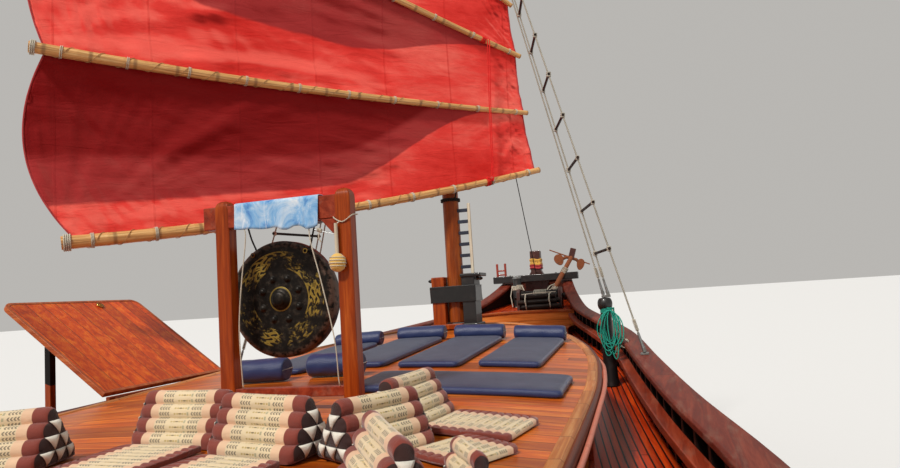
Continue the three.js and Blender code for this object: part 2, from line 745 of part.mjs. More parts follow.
const CLOTH_SHORT = 0.975;

function sparPoint([, luffA, luffZ, leechA, leechZ, sag], t) {
  const droop = sag * 4 * t * (1 - t);
  return [lerp(luffA, leechA, t), lerp(luffZ, leechZ, t) - droop];
}

// Turns sail coordinates (aft, out from the mast's axis, height) into the boat's.
function inSail(swing, mastY, [aft, out, z]) {
  const angle = THREE.MathUtils.degToRad(swing);
  const [s, c] = [Math.sin(angle), Math.cos(angle)];
  return [out * c - aft * s, mastY - aft * c - out * s, z];
}

function spar(row, sail, mastY, gap = SEAT) {
  const [, , , , , , leechRadius, luffRadius] = row;
  const face = sail.clothOffset + sail.cloth / 2 + gap;
  const path = [];
  for (let i = 0; i <= SPAR_STEPS; i += 1) {
    const t = i / SPAR_STEPS;
    const radius = lerp(luffRadius, leechRadius, t);
    const [aft, z] = sparPoint(row, t);
    path.push([...inSail(sail.swing, mastY, [aft, face + radius * SPAR_FLAT, z]), radius]);
  }
  return bar(path, SPAR_SIDES);
}

function sailCloth(rows, sail, mastY) {
  const outline = new THREE.Shape();
  const boom = rows[0];
  outline.moveTo(...sparPoint(boom, 0.01));
  for (let i = 1; i < SPAR_STEPS; i += 1) {
    outline.lineTo(...sparPoint(boom, i / SPAR_STEPS));
  }
  outline.lineTo(...sparPoint(boom, CLOTH_SHORT));
  for (let i = 1; i < rows.length; i += 1) {
    const [fromA, fromZ] = sparPoint(rows[i - 1], CLOTH_SHORT);
    const [toA, toZ] = sparPoint(rows[i], CLOTH_SHORT);
    const length = Math.hypot(toA - fromA, toZ - fromZ);
    const across = [(toZ - fromZ) / length, (fromA - toA) / length];
    const controlA = (fromA + toA) / 2 + across[0] * sail.leechBulge;
    const controlZ = (fromZ + toZ) / 2 + across[1] * sail.leechBulge;
    outline.quadraticCurveTo(controlA, controlZ, toA, toZ);
  }
  for (let i = rows.length - 1; i > 0; i -= 1) {
    outline.lineTo(...sparPoint(rows[i], 0.01));
  }
  const geometry = new THREE.ExtrudeGeometry(outline, {
    depth: sail.cloth, bevelEnabled: false, curveSegments: 6,
  });
  const points = geometry.attributes.position;
  for (let i = 0; i < points.count; i += 1) {
    const out = sail.clothOffset + sail.cloth / 2 - points.getZ(i);
    points.setXYZ(i, ...inSail(sail.swing, mastY, [points.getX(i), out, points.getY(i)]));
  }
  return geometry;
}

// A rope ring round the mast, joined to the boom by a short neck.
function parrel(row, sail, mast, radiusAtRing, ringZ) {
  const inner = radiusAtRing / Math.cos(Math.PI / ROUND) + SEAT;
  const outer = inner + PARREL.thickness;
  const top = ringZ + PARREL.height;
  const profile = [[inner, ringZ], [outer, ringZ], [outer, top], [inner, top], [inner, ringZ]];
  const t = -row[1] / (row[3] - row[1]);
  const [, boomZ] = sparPoint(row, t);
  const foot = inSail(sail.swing, mast.y, [0, outer - 12, (ringZ + top) / 2]);
  const head = inSail(sail.swing, mast.y, [0, sail.spar, boomZ]);
  const neck = bar([[...foot, PARREL.neck], [...head, PARREL.neck]]);
  return joined([turned(profile, ROUND, 0, mast.y), neck]);
}

const PARREL = { mainZ: 4405, mizzenZ: 5700, thickness: 28, height: 50, neck: 16 };

const mizzenFootZ = POOP.topZ + POOP.deck + SEAT;

function mizzenRadius(z) {
  return lerp(MIZZEN.footRadius, MIZZEN.headRadius, (z - mizzenFootZ) / (MIZZEN.headZ - mizzenFootZ));
}

function mainBoom() {
  const [boom] = MAIN_SPARS;
  const ring = parrel(boom, SAIL, MAST, mastRadius(PARREL.mainZ), PARREL.mainZ);
  return joined([spar(boom, SAIL, MAST.y), ring]);
}

function mizzenBoom() {
  const [boom] = MIZZEN_SPARS;
  const ring = parrel(boom, MIZZEN_SAIL, MIZZEN, mizzenRadius(PARREL.mizzenZ), PARREL.mizzenZ);
  return joined([spar(boom, MIZZEN_SAIL, MIZZEN.y), ring]);
}

// The mizzen's battens are sewn into its cloth, so the two are one piece.
function mizzenSail() {
  const battens = MIZZEN_SPARS.slice(1, -1).map((row) => spar(row, MIZZEN_SAIL, MIZZEN.y, -8));
  return joined([sailCloth(MIZZEN_SPARS, MIZZEN_SAIL, MIZZEN.y), ...battens]);
}

// Poop house and deck

const onDeck = (y) => deckZ(y) + SEAT;

function poopHouse() {
  const { halfWidth, aftY, frontY, topZ, wall } = POOP;
  const ys = stationsBetween(aftY, frontY - wall - SEAT);
  const outer = deckSlab(ys, () => halfWidth, onDeck, () => topZ);
  const inside = stationsBetween(aftY + wall, frontY);
  const inner = deckSlab(inside, () => halfWidth - wall, (y) => onDeck(y) - 50, () => topZ + 50);
  const { lowZ, highZ, half } = POOP_WINDOW;
  const windows = [-1, 1].flatMap((side) => POOP_WINDOW.y.map((y) => {
    const x = side * halfWidth;
    return box([x - 2 * wall, y - half, lowZ], [x + 2 * wall, y + half, highZ]);
  }));
  return cutFrom(outer, [inner, ...windows]);
}

function poopFront() {
  const { halfWidth, frontY, topZ, wall } = POOP;
  const panel = deckSlab([frontY - wall, frontY], () => halfWidth, onDeck, () => topZ);
  const sill = deckZ(frontY) + DOOR.sill;
  const door = box(
    [-DOOR.width / 2, frontY - wall - 50, sill],
    [DOOR.width / 2, frontY + 50, sill + DOOR.height],
  );
  const { lowZ, highZ, frontHalf, frontX } = POOP_WINDOW;
  const windows = [-1, 1].map((side) => box(
    [side * frontX - frontHalf, frontY - wall - 50, lowZ],
    [side * frontX + frontHalf, frontY + 50, highZ],
  ));
  return cutFrom(panel, [door, ...windows]);
}

function poopDoor() {
  const half = DOOR.width / 2 - DOOR.clear;
  const sill = deckZ(POOP.frontY) + DOOR.sill + DOOR.clear;
  const leaf = box(
    [-half, POOP.frontY - DOOR.thickness, sill],
    [half, POOP.frontY, sill + DOOR.height - 2 * DOOR.clear],
  );
  const handle = box([half - 110, POOP.frontY - 5, sill + 700], [half - 70, POOP.frontY + 45, sill + 860]);
  const { radius, sides, length, plate, reach, heights } = HINGE;
  const pinX = -DOOR.width / 2 - radius / 2;
  const pinY = POOP.frontY + radius + SEAT;
  const face = POOP.frontY + SEAT;
  const hinges = heights.flatMap((height) => {
    const [low, high] = [sill + height, sill + height + length];
    return [
      bar([[pinX, pinY, low, radius], [pinX, pinY, high, radius]], sides),
      box([pinX, face, low], [pinX + reach, face + plate, high]),
      box([-half + 5, POOP.frontY - 1, low], [pinX + reach, face + plate, high]),
    ];
  });
  return joined([leaf, handle, ...hinges]);
}

function poopDeck() {
  const { halfWidth, aftY, frontY, topZ, deck, overhang } = POOP;
  return box(
    [-halfWidth - overhang, aftY - overhang, topZ + SEAT],
    [halfWidth + overhang, frontY + overhang, topZ + deck],
  );
}

function poopRail() {
  const { halfWidth, aftY, frontY, topZ, deck, overhang } = POOP;
  const { height, post, rail, spacing } = BALUSTRADE;
  const x = halfWidth + overhang - 20;
  const [low, high] = [aftY - overhang + 20, frontY + overhang - 20];
  const floor = topZ + deck + SEAT;
  const pieces = [];
  for (const side of [-1, 1]) {
    const [near, far] = [side * (x - rail), side * x];
    const [left, right] = [Math.min(near, far), Math.max(near, far)];
    pieces.push(box([left, low, floor + height - 60], [right, high, floor + height]));
    pieces.push(box([left + 25, low, floor + 330], [right - 25, high, floor + 375]));
    const count = Math.round((high - low) / spacing);
    for (let i = 0; i <= count; i += 1) {
      const y = lerp(low, high - post, i / count);
      pieces.push(box([left + 10, y, floor], [right - 10, y + post, floor + height - 30]));
    }
  }
  pieces.push(box([-x, low, floor + height - 60], [x, low + rail, floor + height]));
  pieces.push(box([-x, low + 25, floor + 330], [x, low + rail - 25, floor + 375]));
  for (let i = 1; i < 4; i += 1) {
    const left = lerp(-x, x, i / 4) - post / 2;
    pieces.push(box([left, low + 10, floor], [left + post, low + 10 + post, floor + height - 30]));
  }
  return joined(pieces);
}

// Steering and drive

// Columns: y, z of the rudder blade's outline
const RUDDER_BLADE = [[0, -1250], [-1050, -1150], [-1180, -600], [-980, 700], [-500, 1500], [0, 1600]];

function rudder() {
  const outline = new THREE.Shape(RUDDER_BLADE.map(([y, z]) => new THREE.Vector2(y, z)));
  const blade = new THREE.ExtrudeGeometry(outline, { depth: RUDDER.blade, bevelEnabled: false });
  blade.rotateX(Math.PI / 2);
  blade.rotateZ(Math.PI / 2);
  blade.translate(-RUDDER.blade / 2, RUDDER.axisY, 0);
  const [[, footZ]] = RUDDER_BLADE;
  const stock = bar([
    [0, RUDDER.axisY, footZ, RUDDER.stock],
    [0, RUDDER.axisY, RUDDER.headZ, RUDDER.stock],
  ], 24);
  const tiller = bar([
    [0, RUDDER.axisY - 60, RUDDER.tillerZ, 50],
    [0, RUDDER.axisY + 1750, RUDDER.tillerZ + 60, 30],
  ]);
  return joined([blade, stock, tiller]);
}

const BLADES = 3;

function propeller() {
  const { y, z, radius, hub, shaft, bossY } = PROPELLER;
  const pieces = [
    bar([[0, y - 110, z, hub * 0.6], [0, y - 60, z, hub], [0, y + 90, z, hub]], 12),
    bar([[0, y, z, shaft], [0, bossY - SEAT * 2, z, shaft]], 12),
  ];
  for (let i = 0; i < BLADES; i += 1) {
    const blade = new THREE.CylinderGeometry(radius * 0.34, radius * 0.2, radius - 40, 8);
    blade.scale(1, 1, 0.09);
    blade.translate(0, radius / 2 + 20, 0);
    blade.rotateY(THREE.MathUtils.degToRad(35));
    blade.rotateX(Math.PI / 2);
    blade.rotateY((i * 2 * Math.PI) / BLADES);
    blade.translate(0, y, z);
    pieces.push(blade);
  }
  return joined(pieces);
}

// Gong and its frame

function gongFrame() {
  const { y, leftX, rightX, post, depth, topZ } = GONG_FRAME;
  const pieces = [leftX, rightX].flatMap((x) => [
    box([x - post / 2, y - depth / 2, TRUNK_FLOOR_Z + 500], [x + post / 2, y + depth / 2, topZ - 40]),
    box([x - post / 2 + 25, y - depth / 2, topZ - 60], [x + post / 2 - 25, y + depth / 2, topZ]),
  ]);
  pieces.push(box([leftX - 100, y - 45, 3700], [rightX + 30, y + 45, 3850]));
  pieces.push(box([leftX, y - 35, 2590], [rightX, y + 35, 2650]));
  for (const side of [-1, 1]) {
    const x = GONG.x + side * GONG.pegX;
    pieces.push(bar([[x, y, GONG.pegZ, GONG.peg], [x, GONG.y + 40, GONG.pegZ, GONG.peg]], 12));
  }
  return onRoof(joined(pieces));
}

function gong() {
  const { x, y, z, radius, rim, pegZ, pegX, peg, eyeX, cord, tip } = GONG;
  const profile = [
    [0, -rim * 0.95], [42, -rim * 0.9], [72, -rim * 0.5], [radius - 28, -rim * 0.5], [radius, -rim * 0.3],
    [radius, rim * 0.5], [radius - 12, rim * 0.5], [radius - 12, -rim * 0.24], [radius - 34, -rim * 0.38],
    [80, -rim * 0.38], [58, -rim * 0.74], [0, -rim * 0.83],
  ];
  const points = profile.map(([r, h]) => new THREE.Vector2(r, h));
  const plate = new THREE.LatheGeometry(points, 32);
  plate.translate(x, y, z);
  // Each hanger ends in a point under its peg, and swings there.
  const seat = pegZ - peg - SEAT;
  const hangers = [-1, 1].map((side) => bar([
    [x + side * eyeX, y + 10, z + Math.sqrt(radius ** 2 - eyeX ** 2) - 12, cord],
    [x + side * (pegX - 3), y, seat - 3 * cord, cord],
    [x + side * pegX, y, seat, tip],
  ]));
  return joined([plate, ...hangers]);
}

// Port side leaf, held up by a post on the rail

function leafPoint(along, up) {
  const angle = THREE.MathUtils.degToRad(LEAF.tilt);
  const [c, s] = [Math.cos(angle), Math.sin(angle)];
  return [LEAF.hingeX - along * c - up * s, LEAF_HINGE_Z + along * s - up * c];
}

function sideLeaf() {
  const { length, thickness, aftY, foreY, root } = LEAF;
  const half = thickness / 2;
  const section = [[root, -half], [length, -half], [length, half], [root, half]].map(
    ([along, up]) => leafPoint(along, up),
  );
  return skin([aftY, foreY].map((y) => section.map(([x, z]) => [x, y, z])));
}

const LEAF_POST = { y: 680, half: 32, inset: 55 };

function leafPost() {
  const { y, half, inset } = LEAF_POST;
  const x = -halfBreadth(y) + inset;
  const bottom = (py) => railZ(py) + SEAT;
  const angle = THREE.MathUtils.degToRad(LEAF.tilt);
  const under = (px) => {
    const along = (LEAF.hingeX - px - (LEAF.thickness / 2 + SEAT) * Math.sin(angle)) / Math.cos(angle);
    return leafPoint(along, LEAF.thickness / 2 + SEAT)[1];
  };
  const corners = [[-half, -half], [half, -half], [half, half], [-half, half]];
  const foot = corners.map(([dx, dy]) => [x + dx, y + dy, bottom(y + dy)]);
  const head = corners.map(([dx, dy]) => [x + dx, y + dy, under(x + dx)]);
  return skin([foot, head]);
}

// Soft furnishings on the roof

// Columns: name, x, y of the centre, length along Y, width along X, bolster at the fore end
const MATTRESS_THICKNESS = 65;
const MATTRESSES = [
  ['mattress_starboard', 1290, 2200, 1650, 550, true],
  ['mattress_middle', 590, 2250, 1850, 570, true],
  ['mattress_port', -110, 2300, 1850, 570, true],
  ['mattress_outer_port', -810, 2100, 1850, 570, true],
  ['mattress_across', 1130, 540, 680, 1540, false],
];
const BOLSTER = { radius: 92, gap: 6 };

function mattress([, x, y, length, width, bolster]) {
  const low = TRUNK_FLOOR_Z + 1200;
  const ys = stationsBetween(y - length / 2, y + length / 2);
  const body = skin(ys.map((py) => {
    const steps = [1, 0.34, -0.34, -1].map((step) => x + (step * width) / 2);
    const top = steps.map((px) => [px, py, roofTopZ(px, py) + MATTRESS_THICKNESS]);
    return [[x - width / 2, py, low], [x + width / 2, py, low], ...top];
  }));
  if (!bolster) {
    return onRoof(body);
  }
  const fore = y + length / 2 + BOLSTER.radius - 20;
  const ends = [-1, 1].map((side) => {
    const px = x + (side * width) / 2;
    return [px, fore, roofTopZ(px, fore) + BOLSTER.radius - 2, BOLSTER.radius];
  });
  return onRoof(joined([body, bar(ends, 12)]));
}

// Columns: name, x, y of the base's centre, turn, width, base depth, height
const CUSHIONS = [
  ['cushion_1', -600, -1680, 12, 560, 340, 260],
  ['cushion_2', 120, -1170, -3, 520, 340, 250],
  ['cushion_3', 700, -1360, -8, 500, 340, 260],
  ['cushion_4', 1210, -1270, 64, 480, 310, 260],
  ['cushion_5', 1510, -1920, 125, 540, 300, 270],
  ['cushion_6', 1130, -620, 80, 500, 360, 250],
  ['cushion_7', 1835, -1930, 125, 260, 200, 220],
];

function cushion([, x, y, turn, width, depth, height]) {
  const low = -300;
  const half = depth / 2;
  const section = [[-half, low], [half, low], [half, 0], [-half * 0.12, height], [-half, 0]];
  const geometry = skin([-width / 2, width / 2].map((px) => section.map(([py, pz]) => [px, py, pz])));
  geometry.rotateZ(THREE.MathUtils.degToRad(turn));
  geometry.translate(x, y, roofTopZ(x, y) + 40);
  return onRoof(geometry);
}

const ROUND_BOLSTERS = [
  ['bolster_port', -700, 850, 480, 105],
  ['bolster_middle', -80, 980, 480, 105],
];

function roundBolster([, x, y, length, radius]) {
  const ends = [-1, 1].map((side) => {
    const px = x + (side * length) / 2;
    return [px, y, roofTopZ(px, y) + radius * 0.9, radius];
  });
  return onRoof(bar(ends, 12));
}

// The whole boat

add('hull', hull(), FINISH.bottom);
const [AFT_JOINT, WAIST_JOINT, FORE_JOINT] = BULWARK_JOINTS;
add('bulwark_stern', bulwarkEnd(STERN_Y, AFT_JOINT - SEAT, STERN_Y), FINISH.paint);
for (const [word, side] of [['port', -1], ['starboard', 1]]) {
  add(`bulwark_${word}`, joined(bulwarkSide(side, AFT_JOINT, WAIST_JOINT)), FINISH.paint);
  add(`bulwark_fore_${word}`, joined(bulwarkSide(side, WAIST_JOINT + SEAT, FORE_JOINT)), FINISH.paint);
}
add('bulwark_bow', bulwarkEnd(FORE_JOINT + SEAT, BOW_Y, BOW_Y - BULWARK.thickness), FINISH.paint);
add('cap_rail', capRail(), FINISH.redwood);
add('cabin_trunk', cabinTrunk(), FINISH.varnish);
add('cabin_roof', roofSlab(), FINISH.varnish);
add('roof_rim', roofRim(), FINISH.varnish);
add('roof_hatch', hatchLid(), FINISH.redwood);
add('foredeck', foredeck(), FINISH.varnish);
add('crossbeam', crossbeam(), FINISH.black);
add('windlass_frame', windlassFrame(), FINISH.paint);
add('windlass_barrel', windlassBarrel(), FINISH.paint);
add('anchor', anchor(), FINISH.rust);
add('tabernacle', tabernacle(), FINISH.black);
add('main_mast', mainMast(), FINISH.varnish);
add('forestay', forestay(), FINISH.black);
for (const [word, side] of [['port', -1], ['starboard', 1]]) {
  add(`shroud_post_${word}`, shroudPost(side), FINISH.black);
  add(`shrouds_${word}`, shrouds(side), FINISH.rope);
}
add('main_sail', sailCloth(MAIN_SPARS, SAIL, MAST.y), FINISH.cloth);
add('main_boom', mainBoom(), FINISH.bamboo);
for (const row of MAIN_SPARS.slice(1)) {
  add(`main_${row[0]}`, spar(row, SAIL, MAST.y), FINISH.bamboo);
}
add('mizzen_mast', mastPole(mizzenFootZ, MIZZEN), FINISH.varnish);
add('mizzen_sail', mizzenSail(), FINISH.cloth);
add('mizzen_boom', mizzenBoom(), FINISH.bamboo);
add('mizzen_yard', spar(MIZZEN_SPARS.at(-1), MIZZEN_SAIL, MIZZEN.y), FINISH.bamboo);
add('poop_house', poopHouse(), FINISH.varnish);
add('poop_front', poopFront(), FINISH.varnish);
add('poop_door', poopDoor(), FINISH.redwood);
add('poop_deck', poopDeck(), FINISH.varnish);
add('poop_rail', poopRail(), FINISH.redwood);
add('rudder', rudder(), FINISH.paint);
add('propeller', propeller(), FINISH.brass);
add('gong_frame', gongFrame(), FINISH.varnish);
add('gong', gong(), FINISH.bronze);
add('side_leaf', sideLeaf(), FINISH.varnish);
add('leaf_post', leafPost(), FINISH.black);
for (const row of MATTRESSES) {
  add(row[0], mattress(row), FINISH.navy);
}
for (const row of ROUND_BOLSTERS) {
  add(row[0], roundBolster(row), FINISH.navy);
}
for (const row of CUSHIONS) {
  add(row[0], cushion(row), FINISH.cushion);
}

export default junk;
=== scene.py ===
"""Looks of a Thai-built Chinese junk: hull, decks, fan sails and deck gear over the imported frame.

Lengths are metres. +X is starboard, +Y is towards the bow, +Z is up and the waterline is z = 0.
"""

import logging
import math
from collections.abc import Callable, Iterable, Sequence
from dataclasses import dataclass
from enum import Enum

import bmesh
import bpy
from mathutils import Euler, Matrix, Vector, noise

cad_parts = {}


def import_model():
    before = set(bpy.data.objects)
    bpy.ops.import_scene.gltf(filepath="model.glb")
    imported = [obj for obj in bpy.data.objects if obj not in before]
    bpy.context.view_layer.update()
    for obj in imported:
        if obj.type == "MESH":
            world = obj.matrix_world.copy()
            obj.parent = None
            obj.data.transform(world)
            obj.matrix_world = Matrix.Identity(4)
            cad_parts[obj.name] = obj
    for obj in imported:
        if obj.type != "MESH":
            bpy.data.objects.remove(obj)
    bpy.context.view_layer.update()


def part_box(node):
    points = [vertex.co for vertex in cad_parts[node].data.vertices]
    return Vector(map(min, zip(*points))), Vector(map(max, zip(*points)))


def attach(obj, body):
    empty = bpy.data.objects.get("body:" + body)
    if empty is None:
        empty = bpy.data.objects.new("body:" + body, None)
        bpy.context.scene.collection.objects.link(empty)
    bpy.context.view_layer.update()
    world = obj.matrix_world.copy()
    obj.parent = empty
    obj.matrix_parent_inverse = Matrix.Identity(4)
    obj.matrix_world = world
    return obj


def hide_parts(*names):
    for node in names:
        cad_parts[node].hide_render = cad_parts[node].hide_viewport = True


log = logging.getLogger("junk")
Point = tuple[float, float, float]
Curve = Callable[[float], float]
GONG_CENTRE = (0.1, -0.13, 3.215)
COAT_SHARE = 0.22


class Axis(Enum):
    """The direction that a grain or a row of planks follows."""

    X = 0
    Y = 1
    Z = 2


class Space(Enum):
    """Where a finish reads its pattern."""

    OBJECT = "Object"
    UV = "UV"


def tone(code: str) -> tuple[float, float, float, float]:
    """Turns a six-figure sRGB code into a linear colour.

    Args:
        code: the colour as hexadecimal figures.

    Returns:
        Red, green, blue and alpha.
    """
    parts = [int(code[i:i + 2], 16) / 255 for i in (0, 2, 4)]
    linear = [p / 12.92 if p <= 0.04045 else ((p + 0.055) / 1.055) ** 2.4 for p in parts]
    return (linear[0], linear[1], linear[2], 1.0)


class Graph:
    """The node tree of one material, built a call at a time."""

    def __init__(self, name: str) -> None:
        """Starts a material with a bare Principled shader."""
        self.material = bpy.data.materials.new(name)
        self.material.use_nodes = True
        self.tree = self.material.node_tree
        self.shader = self.tree.nodes["Principled BSDF"]

    def add(self, kind: str, inputs: dict | None = None, **settings: object) -> bpy.types.Node:
        """Adds a node.

        Args:
            kind: the node's type.
            inputs: a value or a socket for each input, by name or number.
            settings: the node's own properties.

        Returns:
            The new node.
        """
        node = self.tree.nodes.new(kind)
        for key, value in settings.items():
            setattr(node, key, value)
        for key, value in (inputs or {}).items():
            self.feed(node.inputs[key], value)
        return node

    def feed(self, socket: bpy.types.NodeSocket, value: object) -> None:
        """Links a socket to an input, or sets its value."""
        if isinstance(value, bpy.types.NodeSocket):
            self.tree.links.new(value, socket)
        else:
            socket.default_value = value

    def place(self, space: Space = Space.OBJECT) -> bpy.types.NodeSocket:
        """Gives the coordinates of the surface."""
        if space is Space.UV:
            return self.add("ShaderNodeUVMap", uv_map="UVMap").outputs[0]
        return self.add("ShaderNodeTexCoord").outputs["Object"]

    def split(self, vector: bpy.types.NodeSocket) -> list[bpy.types.NodeSocket]:
        """Gives a vector's three parts."""
        return list(self.add("ShaderNodeSeparateXYZ", {0: vector}).outputs)

    def joined(self, x: object, y: object, z: object) -> bpy.types.NodeSocket:
        """Makes a vector of three parts."""
        return self.add("ShaderNodeCombineXYZ", {0: x, 1: y, 2: z}).outputs[0]

    def maths(self, operation: str, a: object, b: object = 0.0) -> bpy.types.NodeSocket:
        """Works out one step of arithmetic."""
        return self.add("ShaderNodeMath", {0: a, 1: b}, operation=operation).outputs[0]

    def times(self, a: object, b: object) -> bpy.types.NodeSocket:
        """Multiplies two values."""
        return self.maths("MULTIPLY", a, b)

    def plus(self, a: object, b: object) -> bpy.types.NodeSocket:
        """Adds two values."""
        return self.maths("ADD", a, b)

    def scaled(self, vector: object, scale: Point, shift: Point = (0, 0, 0)) -> bpy.types.NodeSocket:
        """Stretches and shifts coordinates."""
        inputs = {"Vector": vector, "Scale": scale, "Location": shift}
        return self.add("ShaderNodeMapping", inputs).outputs[0]

    def speckle(
        self, vector: object, scale: float = 1.0, detail: float = 4.0, rough: float = 0.55,
        bend: float = 0.0,
    ) -> bpy.types.NodeSocket:
        """Gives noise from 0 to 1."""
        inputs = {"Vector": vector, "Scale": scale, "Detail": detail, "Roughness": rough, "Distortion": bend}
        return self.add("ShaderNodeTexNoise", inputs).outputs["Fac"]

    def chance(self, vector: object) -> bpy.types.NodeSocket:
        """Gives one random value for each whole-number place."""
        return self.add("ShaderNodeTexWhiteNoise", {"Vector": vector},
                        noise_dimensions="3D").outputs["Value"]

    def fade(self, value: object, low: float, high: float) -> bpy.types.NodeSocket:
        """Rises smoothly from 0 at low to 1 at high."""
        inputs = {"Value": value, "From Min": low, "From Max": high}
        return self.add("ShaderNodeMapRange", inputs, interpolation_type="SMOOTHSTEP").outputs[0]

    def ramp(self, value: object, stops: Sequence[tuple[float, str]]) -> bpy.types.NodeSocket:
        """Colours a value.

        Args:
            value: a socket from 0 to 1.
            stops: places and their colour codes, in order.

        Returns:
            The colour.
        """
        node = self.add("ShaderNodeValToRGB", {0: value})
        elements = node.color_ramp.elements
        while len(elements) < len(stops):
            elements.new(0.5)
        for element, (place, code) in zip(elements, stops):
            element.position = place
            element.color = tone(code)
        return node.outputs[0]

    def mixed(self, amount: object, a: object, b: object, blend: str = "MIX") -> bpy.types.NodeSocket:
        """Mixes two colours by an amount."""
        node = self.add("ShaderNodeMix", data_type="RGBA", blend_type=blend)
        for index, value in ((0, amount), (6, a), (7, b)):
            self.feed(node.inputs[index], value)
        return node.outputs[2]

    def shaded(self, colour: object, value: object) -> bpy.types.NodeSocket:
        """Makes a colour lighter or darker by a factor."""
        return self.add("ShaderNodeHueSaturation", {"Color": colour, "Value": value}).outputs[0]

    def relief(self, height: object) -> bpy.types.NodeSocket:
        """Turns a height in metres into a surface normal."""
        return self.add("ShaderNodeBump", {"Height": height, "Distance": 1.0, "Strength": 1.0}).outputs[0]

    def finish(self, colour: object, rough: object, height: object = None,
               **fixed: object) -> bpy.types.Material:
        """Feeds the shader.

        Args:
            colour: the base colour.
            rough: the roughness.
            height: the relief in metres, if there is one.
            fixed: other inputs of the shader, with _ for a space.

        Returns:
            The finished material.
        """
        self.feed(self.shader.inputs["Base Color"], colour)
        self.feed(self.shader.inputs["Roughness"], rough)
        if height is not None:
            self.feed(self.shader.inputs["Normal"], self.relief(height))
        for key, value in fixed.items():
            self.feed(self.shader.inputs[key.replace("_", " ")], value)
        return self.material


class Finish:
    """A surface finish; its material is made once, when it is first asked for."""

    name: str

    def material(self) -> bpy.types.Material:
        """Gives the finish's material."""
        name = f"{self.name}_finish"
        return bpy.data.materials.get(name) or self.paint(Graph(name))

    def paint(self, graph: Graph) -> bpy.types.Material:
        """Builds the finish's nodes."""
        raise NotImplementedError


@dataclass(frozen=True)
class Wood(Finish):
    """Timber, in planks or in one piece, varnished, painted or bare."""

    name: str
    dark: str
    middle: str
    light: str
    along: Axis = Axis.Y
    across: Axis | None = None
    pitch: float = 0.1
    butt: float = 3.0
    seam: float = 0.004
    seam_tone: str = "120705"
    vary: float = 0.3
    rough: float = 0.35
    coat: float = 0.4
    wear: float = 0.0
    wear_tone: str = "a08c80"
    space: Space = Space.OBJECT

    def paint(self, graph: Graph) -> bpy.types.Material:
        """Builds grain, a tint for each plank, seams and worn patches."""
        place = graph.place(self.space)
        parts = graph.split(place)
        along = parts[self.along.value]
        others = [part for i, part in enumerate(parts) if i != self.along.value]
        tint: object = 0.5
        seams: object = 0.0
        if self.across is not None:
            row = graph.maths("DIVIDE", parts[self.across.value], self.pitch)
            plank = graph.maths("FLOOR", row)
            start = graph.times(graph.chance(graph.joined(plank, 3.0, 0.0)), 7.0)
            length = graph.plus(graph.maths("DIVIDE", along, self.butt), start)
            tint = graph.chance(graph.joined(plank, graph.maths("FLOOR", length), 1.0))
            near = graph.times(graph.maths("PINGPONG", row, 0.5), self.pitch)
            end = graph.times(graph.maths("PINGPONG", length, 0.5), self.butt)
            gap = graph.maths("MINIMUM", near, end)
            seams = graph.maths("SUBTRACT", 1.0, graph.fade(gap, self.seam * 0.35, self.seam * 0.65))
        drift = graph.times(tint, 31.0)
        run = graph.joined(graph.plus(graph.times(along, 1.1), drift), others[0], others[1])
        figure = graph.speckle(graph.scaled(run, (1, 16, 16)), 1.0, 6.0, 0.62, 0.7)
        fibre = graph.speckle(graph.scaled(run, (5, 210, 210)), 1.0, 3.0, 0.6)
        grain = graph.plus(graph.times(figure, 0.75), graph.times(fibre, 0.25))
        colour = graph.ramp(grain, [(0.3, self.dark), (0.5, self.middle), (0.68, self.light)])
        colour = graph.shaded(colour, graph.plus(1 - self.vary / 2, graph.times(tint, self.vary)))
        blotch = graph.speckle(place, 1.7, 4.0, 0.6)
        colour = graph.shaded(colour, graph.plus(0.84, graph.times(blotch, 0.3)))
        rough: object = graph.plus(self.rough - 0.1, graph.times(grain, 0.25))
        if self.wear:
            patch = graph.speckle(graph.scaled(run, (0.9, 5, 5)), 2.4, 7.0, 0.7)
            worn = graph.times(graph.fade(patch, 0.5, 0.68), self.wear)
            colour = graph.mixed(worn, colour, tone(self.wear_tone))
            rough = graph.plus(rough, graph.times(worn, 0.3))
        if self.across is not None:
            colour = graph.mixed(seams, colour, tone(self.seam_tone))
        height = graph.plus(graph.times(figure, 0.0006), graph.times(fibre, 0.0005))
        height = graph.maths("SUBTRACT", height, graph.times(seams, 0.002))
        return graph.finish(
            colour, rough, height, Coat_Weight=self.coat * COAT_SHARE, Coat_Roughness=0.2,
            Specular_IOR_Level=0.16,
        )


@dataclass(frozen=True)
class Paint(Finish):
    """Brushed paint or tar, scuffed where it is handled."""

    name: str
    base: str
    scuff: str
    rough: float = 0.5
    coat: float = 0.1
    wear: float = 0.35
    metal: float = 0.0

    def paint(self, graph: Graph) -> bpy.types.Material:
        """Builds a mottled coat with brush marks and rubbed spots."""
        place = graph.place()
        cloud = graph.speckle(place, 3.0, 5.0, 0.6)
        rub = graph.speckle(graph.scaled(place, (1, 1, 1), (4, 1, 7)), 11.0, 8.0, 0.72)
        colour = graph.shaded(tone(self.base), graph.plus(0.7, graph.times(cloud, 0.6)))
        worn = graph.times(graph.fade(rub, 0.53, 0.66), self.wear)
        colour = graph.mixed(worn, colour, tone(self.scuff))
        grit = graph.speckle(place, 160.0, 3.0, 0.6)
        height = graph.plus(graph.times(rub, 0.0008), graph.times(grit, 0.0003))
        rough = graph.plus(self.rough, graph.times(worn, 0.2))
        return graph.finish(colour, rough, height, Coat_Weight=self.coat, Metallic=self.metal)


